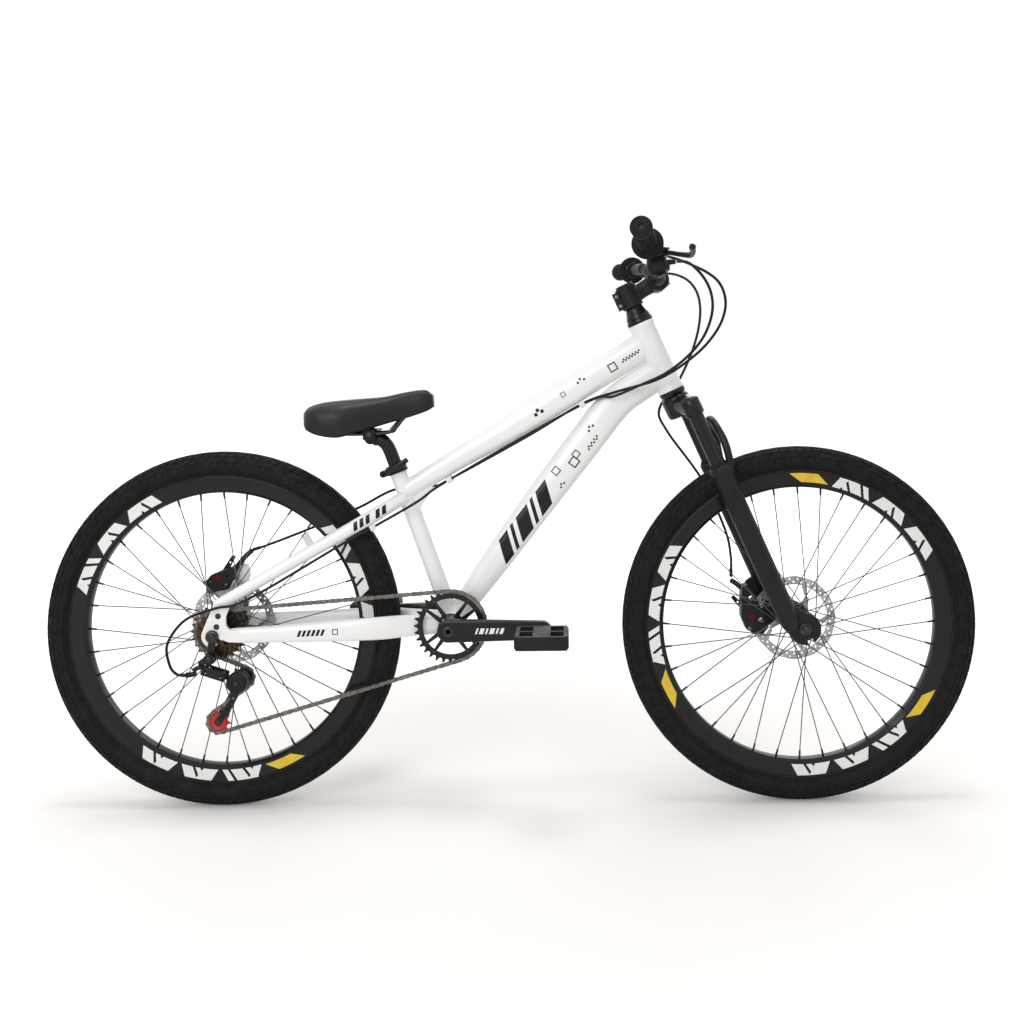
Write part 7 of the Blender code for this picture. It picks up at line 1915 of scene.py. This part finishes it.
for word, node, centre, material, slot_name in (
        ("upper", "guide_pulley", CAGE_PIVOT, BLACK_PLASTIC, "black_plastic"),
        ("lower", "tension_pulley", TENSION_CENTRE, RED_PLASTIC, "red_plastic")):
    radius = pitch_radius(PULLEY_TEETH)
    outline = toothed(tooth_phase(centre, radius), PULLEY_TEETH, radius, PULLEY_TOOTH)
    body = turned(two_ended([(0.0026, 0.0036), (0.0060, 0.0036), (0.0066, 0.0030), (0.0122, 0.0026),
                             (0.0141, 0.0036), (0.0147, 0.0033)]), along_y(), 48)
    teeth = cut(prism(outline, -0.0010, 0.0010, side_plane()), cross_rod((0, 0, 0), 0.002, 0.0120))
    wheel = moved(gathered(body, teeth), Matrix.Translation(centre + Y_AXIS * CHAIN_PLANE))
    shown(f"derailleur_pulley_{word}", wheel, material, f"{word}_pulley", (node,),
          bevel=0.0002)
print("cage length", round(length, 4), "m")

# %% [markdown]
# ## Disc brake calipers
#
# Both brakes are worked by a cable. The body straddles the disc, a round cam housing stands on its
# outside, and a short arm on that housing is pulled by the inner wire. The body's outline is worked
# in the side view and cut by the slot that the disc runs in.

# %% Calipers
REAR_CALIPER = [(-0.0500, 0.0680), (-0.0470, 0.0570), (-0.0380, 0.0550), (-0.0300, 0.0600),
                (-0.0100, 0.0630), (-0.0040, 0.0760), (0.0040, 0.0920), (0.0060, 0.1030),
                (-0.0020, 0.1070), (-0.0120, 0.1020), (-0.0400, 0.0920), (-0.0500, 0.0800)]
FRONT_CALIPER = [(-0.0500, 0.0800), (-0.0560, 0.0970), (-0.0680, 0.0960), (-0.0800, 0.0720),
                 (-0.0920, 0.0450), (-0.0930, 0.0200), (-0.0820, 0.0040), (-0.0660, -0.0010),
                 (-0.0530, 0.0050), (-0.0500, 0.0300)]


CALIPER_HOLES = {
    "rear": (((-0.0430, 0.0780), 0.0036), ((-0.0140, 0.0715), 0.0046), ((-0.0070, 0.0880), 0.0034)),
    "front": (((-0.0600, 0.0700), 0.0052), ((-0.0860, 0.0180), 0.0040), ((-0.0600, 0.0240), 0.0052))}
CALIPER_BOLTS = {"rear": ((-0.0430, 0.0640), (0.0000, 0.1000)),
                 "front": ((-0.0580, 0.0900), (-0.0660, 0.0060))}


def caliper(end, carrier, place, outline, low, high, pivot, arm_low, arm_end, stop):
    """One brake: low and high bound the casting across the disc, pivot and arm_end place its arm."""
    pivot_place = place @ Matrix.Translation((*pivot, 0))
    body = prism(outline, -high, -low, place)
    plane = -ROTOR_PLANES[end]
    slot = prism(circle((0, 0), 0.0830, 120), plane - 0.0024, plane + 0.0024, place)
    housing = turned([(0, -arm_low + 0.0004), (0.0088, -arm_low + 0.0004), (0.0095, -arm_low + 0.0012),
                      (0.0095, -high + 0.004), (0, -high + 0.004)], pivot_place, 40)
    lug = swept([(place @ Vector((x, z, -y)), 0.0100, 0.0100) for x, z, y in stop], 24, 2.0, X_AXIS, 4)
    hollows = [prism(circle(spot, size, 24), -high - 0.01, 0.01 - low, place)
               for spot, size in CALIPER_HOLES[end]]
    hollows.append(prism(circle(pivot, 0.0078, 36), -low - 0.0030, 0.01 - low, place))
    shown(f"{end}_caliper_casting", gathered(cut(body, slot, *hollows), housing, lug), SATIN_BLACK,
          carrier, (f"{end}_caliper_body",), bevel=0.0012, angle=25, segments=3)
    disc = turned([(0, -arm_low - 0.0050), (0.0092, -arm_low - 0.0050), (0.0100, -arm_low - 0.0042),
                   (0.0100, -arm_low - 0.0006), (0.0094, -arm_low), (0, -arm_low)],
                  pivot_place, 40)
    centre, tip = Vector(pivot), Vector(arm_end)
    run = (tip - centre).normalized()
    aside = Vector((-run.y, run.x))
    outline = [tuple(centre + aside * 0.0060), tuple(centre - aside * 0.0060)]
    angle = atan2(run.y, run.x) * 180 / pi
    outline += arc(arm_end, 0.0040, angle - 90, angle + 90, 12)
    blade = prism(outline, -arm_low - 0.0042, -arm_low - 0.0008, place)
    blade = cut(blade, prism(circle(tuple(centre.lerp(tip, 0.72)), 0.0020, 12), -0.1, 0.1, place))
    shown(f"{end}_caliper_lever", gathered(disc, blade), ANODISED, f"{end}_arm", (f"{end}_caliper_arm",),
          bevel=0.0004, angle=40)
    seat = place @ Matrix.Translation((*pivot, -arm_low - 0.0048)) @ Matrix.Rotation(pi, 4, "X")
    pinch = place @ Matrix.Translation((*arm_end, -arm_low - 0.0040)) @ Matrix.Rotation(pi, 4, "X")
    screws(f"{end}_caliper_lever_screws", 0.0040, 0.0022, [seat, pinch], DARK_RED, f"{end}_arm")
    collar = turned([(0.0088, -arm_low + 0.0010), (0.0099, -arm_low + 0.0014),
                     (0.0099, -arm_low + 0.0040), (0.0088, -arm_low + 0.0044)], pivot_place, 40)
    piston = turned([(0, -low - 0.0034), (0.0074, -low - 0.0034), (0.0074, -low - 0.0008),
                     (0.0066, -low - 0.0002), (0.0030, -low - 0.0002), (0.0026, -low - 0.0016),
                     (0, -low - 0.0016)], pivot_place, 40)
    shown(f"{end}_caliper_collar", gathered(collar, piston), DARK_RED, carrier)
    mounts = []
    for spot in CALIPER_BOLTS[end]:
        mounts.append(place @ Matrix.Translation((*spot, -high + 0.0004)) @ Matrix.Rotation(pi, 4, "X"))
    screws(f"{end}_caliper_bolts", 0.0042, 0.0030, mounts, DARK_STEEL, carrier)


caliper("rear", "frame", side_plane(REAR_AXLE), REAR_CALIPER, 0.0410, 0.0636, (-0.0280, 0.0860), 0.0740,
        (-0.0080, 0.1200), ((0.0000, 0.0990, 0.0570), (0.0220, 0.1250, 0.0590), (0.0290, 0.1330, 0.0740)))
front_place = Matrix.Translation(FRONT_AXLE) @ Matrix.Rotation(HEAD_ANGLE - pi / 2, 4, "Y") @ side_plane()
caliper("front", "fork_slider", front_place, FRONT_CALIPER, 0.0280, 0.0561, (-0.0740, 0.0360), 0.0645,
        (-0.0880, 0.0760), ((-0.0660, 0.0880, 0.0500), (-0.0730, 0.1020, 0.0560),
                            (-0.0780, 0.1080, 0.0660)))
print("caliper holes:", {end: len(holes) for end, holes in CALIPER_HOLES.items()})

# %% [markdown]
# ## Seat collar, post and rails
#
# The post is bent back at its top and ends in a clamp that grips two steel rails. The quick release
# under it pinches the seat tube: a collar with a slit, and a cam lever on a pin.

# %% Seat collar and lever
CLAMP_CENTRE = Vector((-0.2604, 0, 0.6860))
collar = turned([(0.0163, -0.0130), (0.0195, -0.0130), (0.0200, -0.0125), (0.0200, 0.0020),
                 (0.0193, 0.0034), (0.0185, 0.0040), (0.0163, 0.0040)], SEAT_TOP, 64)
ears = moved(box((-0.0235, 0, -0.0055), (0.0120, 0.0180, 0.0130)), SEAT_TOP)
slit = moved(box((-0.0240, 0, -0.0055), (0.0220, 0.0030, 0.0400)), SEAT_TOP)
hole = moved(rod((-0.0245, -0.02, -0.0055), (-0.0245, 0.02, -0.0055), 0.0032, 24), SEAT_TOP)
collar = cut(fused(collar, ears), slit, hole)
shown("seat_collar", collar, GLOSS_BLACK, "frame", ("seat_clamp_collar",), bevel=0.0006,
      angle=38)
pin = rod((-0.0245, 0.0105, -0.0055), (-0.0245, -0.0150, -0.0055), 0.0026, 20)
nut = rod((-0.0245, 0.0095, -0.0055), (-0.0245, 0.0150, -0.0055), 0.0060, 28)
cam = rod((-0.0245, -0.0095, -0.0055), (-0.0245, -0.0190, -0.0055), 0.0065, 32)
handle = swept([((-0.0245, -0.0160, -0.0055), 0.0060, 0.0090),
                ((-0.0120, -0.0265, -0.0040), 0.0060, 0.0100),
                ((0.0120, -0.0300, 0.0000), 0.0060, 0.0110),
                ((0.0300, -0.0290, 0.0050), 0.0050, 0.0090)], 28, 2.6, steps=6)
shown("seat_quick_release", moved(gathered(cam, pin, nut, handle), SEAT_TOP), GLOSS_BLACK, "seat_lever",
      ("seat_clamp_lever",), bevel=0.0006)
print("seat tube top", round(SEAT_TUBE_TOP.z, 4), "m above the floor")

# %% Seatpost, clamp and rails
post = swept([(SEAT_TUBE_TOP - SEAT_UP * 0.1100, 0.0254, 0.0254),
              (SEAT_TUBE_TOP - SEAT_UP * 0.0300, 0.0254, 0.0254),
              (SEAT_TUBE_TOP + SEAT_UP * 0.0300, 0.0254, 0.0254),
              ((-0.2345, 0, 0.6760), 0.0254, 0.0254), ((-0.2440, 0, 0.6835), 0.0254, 0.0254),
              ((-0.2560, 0, 0.6850), 0.0254, 0.0254)], 48, steps=4)
head = turned(two_ended([(0, 0.0170), (0.0104, 0.0170), (0.0110, 0.0164)]), along_y(CLAMP_CENTRE), 40)
shown("seatpost_tube", gathered(post, head), GLOSS_BLACK, "seat", ("seatpost",), angle=45)
RAIL_HEIGHT = 0.6950
RAIL_ASIDE = 0.0220
half = [Vector(point) for point in (
    (-0.3300, 0.0300, 0.7075), (-0.3150, 0.0270, 0.6990), (-0.2950, RAIL_ASIDE, RAIL_HEIGHT),
    (-0.2300, RAIL_ASIDE, RAIL_HEIGHT + 0.0020), (-0.2180, 0.0200, 0.7050), (-0.2050, 0.0140, 0.7200),
    (-0.1900, 0.0080, 0.7345), (-0.1800, 0.0000, 0.7410))]
shown("saddle_rail_wire", tube(half + [on_side(point, -1) for point in reversed(half[:-1])], 0.0035, 20,
                               5), DARK_STEEL, "seat", ("saddle_rails",), angle=60)
middle = RAIL_HEIGHT + 0.0008
clamp = [box((CLAMP_CENTRE.x, 0, middle + 0.0062), (0.0300, 0.0560, 0.0040))]
clamp += [box((CLAMP_CENTRE.x, side * 0.0300, middle - 0.0020), (0.0220, 0.0060, 0.0190))
          for side in (-1, 1)]
grooves = [rod((-0.2900, side * RAIL_ASIDE, RAIL_HEIGHT),
               (-0.2300, side * RAIL_ASIDE, RAIL_HEIGHT + 0.002), 0.0039, 24) for side in (-1, 1)]
clamp = cut(fused(*clamp), *grooves)
bolt = prism(circle((0, 0), 0.0058, 6), 0, 0.0065,
             Matrix.Translation((CLAMP_CENTRE.x, 0, middle + 0.0040)))
shown("saddle_clamp_head", gathered(clamp, bolt), GLOSS_BLACK, "seat", ("saddle_clamp",),
      bevel=0.0008, angle=38)
side_nuts = [pointing((CLAMP_CENTRE.x, side * 0.0328, middle - 0.0020), Y_AXIS * side)
             for side in (-1, 1)]
screws("saddle_clamp_nuts", 0.0052, 0.0022, side_nuts, DARK_STEEL, "seat")
print("seat parts done")

# %% [markdown]
# ## Saddle
#
# The cover is vinyl drawn tight over foam: wide and round behind, narrow and raised at the nose. It is
# lofted through oval rings whose under side is drawn in. A sewn seam runs along each shoulder, so the
# surface dips there, and the dip is part of the form. Of the plastic pan below the cover only the
# rim is made, which shows as a thin edge.

# %% Saddle cover with its seams
SADDLE_STATIONS = [
    (-0.3790, 0.7280, 0.0800, 0.0130, 0.0130), (-0.3700, 0.7240, 0.1120, 0.0260, 0.0200),
    (-0.3450, 0.7200, 0.1360, 0.0375, 0.0255), (-0.3100, 0.7190, 0.1400, 0.0425, 0.0280),
    (-0.2750, 0.7240, 0.1180, 0.0400, 0.0220), (-0.2350, 0.7330, 0.0820, 0.0340, 0.0195),
    (-0.1950, 0.7420, 0.0560, 0.0330, 0.0175), (-0.1600, 0.7520, 0.0440, 0.0270, 0.0155),
    (-0.1450, 0.7560, 0.0280, 0.0140, 0.0110)]
SEAM_ANGLE = 52
SEAM_DEPTH = 0.0011
SEAM_SPREAD = 3.0
RIM_ANGLE = -32
SADDLE_SIDES = 120
SADDLE_POWER = 2.6
CHANNEL_DEPTH = 0.0035


def skirt(across):
    """How far the underside hangs: a little in the hollow middle, 1 at the skirt's lower edge."""
    inside = (across - 0.28) / 0.59
    outside = (max(0.0, 1 - across) / 0.13) ** 0.5
    return max(0.05, min(1.0, inside, outside))


def saddle_point(station, angle, inset=0.0):
    """A point on the saddle's ring: angle in degrees, 0 on the left side and 90 on top."""
    x, z, width, rise, hang = station
    c, s = cos(radians(angle)), sin(radians(angle))
    reach = squared(c, s, SADDLE_POWER)
    if s > 0:
        height = s * reach * (rise - inset) - CHANNEL_DEPTH * (1 - abs(c * reach))
    else:
        height = -(hang - inset) * skirt(abs(c))
    return Vector((x, c * reach * (width / 2 - inset), z + height))


saddle_rows = [tuple(row) for row in curved(SADDLE_STATIONS, 7)]
back, nose = SADDLE_STATIONS[0], SADDLE_STATIONS[-1]
closing = [(back[0] - 0.0008, back[1], back[2] * 0.90, back[3] * 0.72, back[4] * 0.72),
           (back[0] - 0.0004, back[1], back[2] * 0.97, back[3] * 0.92, back[4] * 0.92)]
opening = [(nose[0] + 0.0010, nose[1], nose[2] * 0.90, nose[3] * 0.86, nose[4] * 0.86),
           (nose[0] + 0.0016, nose[1], nose[2] * 0.62, nose[3] * 0.56, nose[4] * 0.56)]
saddle_rows = closing + saddle_rows + opening
rings = []
for row in saddle_rows:
    fade = min(1.0, row[3] / 0.0160)
    ring = []
    for i in range(SADDLE_SIDES):
        angle = 360 * (i + 0.5) / SADDLE_SIDES
        off = min(abs(angle - SEAM_ANGLE), abs(angle - (180 - SEAM_ANGLE)))
        sink = SEAM_DEPTH * fade * exp(-(off / SEAM_SPREAD) ** 2)
        ring.append(saddle_point(row, angle, sink))
    rings.append(ring)
cover = shown("saddle_cover", loft(rings), SEAT_VINYL, "seat", ("saddle",), angle=60)
rim = []
for row in saddle_rows[1:-1]:
    rim.append(saddle_point(row, RIM_ANGLE, -0.0004))
for row in reversed(saddle_rows[1:-1]):
    rim.append(saddle_point(row, 180 - RIM_ANGLE, -0.0004))
rim.append(rim[0])
shown("saddle_pan_rim", tube(rim, 0.0012, 10, 1), BLACK_PLASTIC, "seat", angle=60)
stitches = []
for angle in (SEAM_ANGLE, 180 - SEAM_ANGLE):
    line = [saddle_point(row, angle, SEAM_DEPTH * 0.7) for row in saddle_rows[6:-6]]
    for first, second in zip(line, line[1:]):
        steps = max(1, round((second - first).length / 0.0042))
        for i in range(steps):
            stitches.append(pointing(first.lerp(second, i / steps), second - first))
thread = rod((0, 0, -0.0013), (0, 0, 0.0013), 0.00042, 6)
repeated("saddle_stitches", thread, stitches, SEAT_VINYL, "seat")
print("saddle rings", len(rings), "stitches", len(stitches))

# %% [markdown]
# ## Axles and nuts
#
# A solid axle passes through each hub, and a flanged nut clamps each dropout. The short threaded
# ends stand out past the nuts.

# %% Axles
AXLE_RADIUS = 0.0050
THREAD_PITCH = 0.0010


def threaded_end(inner, outer):
    """The profile of a threaded rod from inner to outer, with a chamfered end."""
    profile = [(0, inner), (AXLE_RADIUS - 0.0003, inner)]
    ridges = int((outer - inner - 0.0010) / THREAD_PITCH)
    for i in range(ridges):
        profile.append((AXLE_RADIUS - 0.0005, inner + THREAD_PITCH * (i + 0.1)))
        profile.append((AXLE_RADIUS, inner + THREAD_PITCH * (i + 0.5)))
    profile += [(AXLE_RADIUS - 0.0012, outer), (0, outer)]
    return profile


def axle_set(name, node, centre, low, high, nut_low, nut_high, body):
    """The axle bar with its threaded ends, and a flanged hexagon nut against each dropout."""
    pieces = [rod(centre + Y_AXIS * (low + 0.016), centre + Y_AXIS * (high - 0.016), AXLE_RADIUS, 28)]
    nuts = []
    for side, inner, end in ((-1, nut_low, -low), (1, nut_high, high)):
        place = outward(side, centre)
        pieces.append(turned(threaded_end(end - 0.017, end), place, 28))
        flange = turned([(0, inner), (0.0110, inner), (0.0112, inner + 0.0004), (0.0111, inner + 0.0016),
                         (0.0098, inner + 0.0024), (0, inner + 0.0024)], place, 44)
        hexagon = prism(circle((0, 0), 0.0088, 6), inner + 0.0010, inner + 0.0090, place)
        crown = turned([(0, inner + 0.0005), (0.0090, inner + 0.0005), (0.0090, inner + 0.0078),
                        (0.0076, inner + 0.0090), (0, inner + 0.0090)], place, 44)
        hexagon = combine(hexagon, [crown], "INTERSECT")
        nuts += [flange, hexagon]
    shown(name, gathered(*pieces, *nuts), DARK_STEEL, body, (node,), bevel=0.0003, angle=40)


axle_set("rear_axle_and_nuts", "rear_axle", REAR_AXLE, -0.0880, 0.0860, 0.0776, 0.0743, "frame")
axle_set("front_axle_and_nuts", "front_axle", FRONT_AXLE, -0.0740, 0.0740, 0.0623, 0.0623, "fork_slider")
print("axles done")

# %% [markdown]
# ## Cables
# Three black housings leave the levers and the shifter, cross in front of the head tube and run to
# the brakes and the derailleur. Their routes are listed points, the same ones that the solid model
# uses, drawn through by a smooth curve. Each housing is one fixed tube along its route. Both ends are
# held, so each housing bends between the
# bars, which turn, and the part it is clipped to: a blend shares the bend out along the free stretch.

# %% Housings
HOUSING_RADIUS = 0.0025
HOUSING_SIDES = 14
HOUSING_STEPS = 7
REAR_BRAKE_ROUTE = [
    (0.2826, -0.1603, 1.0056), (0.2890, -0.1450, 1.0050), (0.3110, -0.1320, 1.0000),
    (0.3369, -0.1240, 0.9900), (0.3600, -0.1160, 0.9795), (0.3795, -0.1100, 0.9645),
    (0.3908, -0.1040, 0.9440), (0.3938, -0.0980, 0.9205), (0.3878, -0.0910, 0.8948),
    (0.3743, -0.0830, 0.8701), (0.3544, -0.0740, 0.8462), (0.3299, -0.0640, 0.8249),
    (0.2998, -0.0520, 0.8040), (0.2638, -0.0410, 0.7870), (0.1950, -0.0290, 0.7680),
    (0.1358, -0.0060, 0.7470), (0.0350, -0.0060, 0.6880), (-0.1131, -0.0040, 0.6080),
    (-0.1480, 0.0200, 0.5930), (-0.2230, 0.0330, 0.5860), (-0.2960, 0.0520, 0.5500),
    (-0.3960, 0.0590, 0.5080), (-0.4800, 0.0710, 0.4760), (-0.5050, 0.0745, 0.4680)]
SHIFT_ROUTE = [
    (0.2988, -0.1728, 0.9935), (0.3180, -0.1732, 0.9915), (0.3369, -0.1650, 0.9780),
    (0.3530, -0.1540, 0.9590), (0.3632, -0.1420, 0.9365), (0.3660, -0.1300, 0.9128),
    (0.3617, -0.1170, 0.8880), (0.3516, -0.1040, 0.8639), (0.3352, -0.0900, 0.8413),
    (0.3121, -0.0760, 0.8193), (0.2822, -0.0630, 0.7988), (0.2464, -0.0510, 0.7828),
    (0.1950, -0.0380, 0.7610), (0.1358, -0.0180, 0.7460),
    (-0.1131, -0.0210, 0.6080), (-0.1712, -0.0310, 0.5690), (-0.2518, -0.0470, 0.5240),
    (-0.3032, -0.0580, 0.4970), (-0.4727, -0.0760, 0.4000), (-0.5310, -0.0840, 0.3850),
    (-0.5861, -0.0830, 0.3640), (-0.6188, -0.0810, 0.3212), (-0.6160, -0.0795, 0.2830),
    (-0.6040, -0.0790, 0.2660), (-0.5892, -0.0790, 0.2632)]
FRONT_BRAKE_ROUTE = [(0.2826, 0.1597, 1.0056), (0.2890, 0.1460, 1.0060), (0.3100, 0.1360, 1.0060),
                     (0.3330, 0.1270, 1.0010), (0.3540, 0.1140, 0.9870), (0.3681, 0.1010, 0.9626),
                     (0.3722, 0.0890, 0.9299), (0.3674, 0.0770, 0.8938), (0.3569, 0.0660, 0.8582),
                     (0.3426, 0.0550, 0.8249)]
FRONT_BRAKE_FORK_ROUTE = [
    (0.0220, 0.0420, 0.0080), (-0.0320, 0.0440, -0.0250), (-0.0360, 0.0460, -0.0700),
    (-0.0120, 0.0640, -0.1850), (-0.0110, 0.0650, -0.2900), (-0.0220, 0.0655, -0.3430),
    (-0.0370, 0.0665, -0.3780)]
front_route = FRONT_BRAKE_ROUTE + [tuple(STEERING @ Vector(point)) for point in FRONT_BRAKE_FORK_ROUTE]
FREE_STRETCH = (Vector((0.3000, 0, 0.9300)), Vector((0.3000, 0, 0.8000)))
FORK_STRETCH = (STEERING @ Vector((-0.0360, 0.0460, -0.0700)),
                STEERING @ Vector((-0.0360, 0.0460, -0.1850)))


def housing(name, node, route, carrier, stretch):
    """A cable housing along a route, dressed, fixed in place and standing for its node; carrier and
    stretch are not used.
    """
    piece = tube(route, HOUSING_RADIUS, HOUSING_SIDES, HOUSING_STEPS)
    dress(name, piece, CABLE_COVER)
    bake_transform(piece)
    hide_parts(node)
    length = sum((Vector(second) - Vector(first)).length for first, second in zip(route, route[1:]))
    print(name, "about", round(length, 2), "m")


housing("rear_brake_housing", "rear_brake_cable", REAR_BRAKE_ROUTE, "frame", FREE_STRETCH)
housing("shift_housing", "shift_cable", SHIFT_ROUTE, "frame", FREE_STRETCH)
housing("front_brake_housing", "front_brake_cable", front_route, "fork_slider", FORK_STRETCH)

# %% Clips and ferrules
CLIP_LENGTH = 0.0110


def clip(name, where, along, width, height):
    """A white nylon saddle clip that holds the housings against a frame tube."""
    block = prism(rounded_corners(width, height, 0.0022), -CLIP_LENGTH / 2, CLIP_LENGTH / 2,
                  pointing(where, along))
    shown(name, block, CLEAR_NYLON, "frame", bevel=0.0006)


def rounded_corners(width, height, radius):
    """The outline of a rounded rectangle about its own centre."""
    points = []
    for x, y, start in ((1, 1, 0), (-1, 1, 90), (-1, -1, 180), (1, -1, 270)):
        centre = (x * (width / 2 - radius), y * (height / 2 - radius))
        points += arc(centre, radius, start, start + 90, 5)
    return points


def ferrule(name, route, from_end, length, body, lead=0.0004):
    """The pressed metal cap at the end of a housing; lead is how far it reaches past the end."""
    points = [Vector(point) for point in route]
    if from_end:
        points.reverse()
    end, after = points[0], points[1]
    place = pointing(end, after - end)
    cap = turned([(0.0010, -lead), (0.0030, -lead), (0.0033, 0.0004 - lead), (0.0033, length - 0.0006),
                  (0.0029, length), (0.0026, length)], place, 24)
    shown(name, cap, BLACK_PLASTIC, body, bevel=0.0002)


for name, first, second in (("clip_top_tube_front", (0.1358, -0.0120, 0.7465),
                             (0.0350, -0.0120, 0.6880)), ("clip_top_tube_rear",
                                                          (-0.1131, -0.0125, 0.6080),
                                                          (0.0350, -0.0125, 0.6880))):
    clip(name, Vector(first), Vector(second) - Vector(first), 0.0120, 0.0260)
clip("clip_stay", Vector((-0.2518, -0.0470, 0.5240)), Vector((-0.3032, -0.0580, 0.4970))
     - Vector((-0.2518, -0.0470, 0.5240)), 0.0110, 0.0120)
ferrule("ferrule_rear_brake", REAR_BRAKE_ROUTE, True, 0.0120, "frame", 0.0038)
ferrule("ferrule_shift", SHIFT_ROUTE, True, 0.0080, "frame")
ferrule("ferrule_front_brake", front_route, True, 0.0120, "fork_slider", 0.0038)
print("cables done")
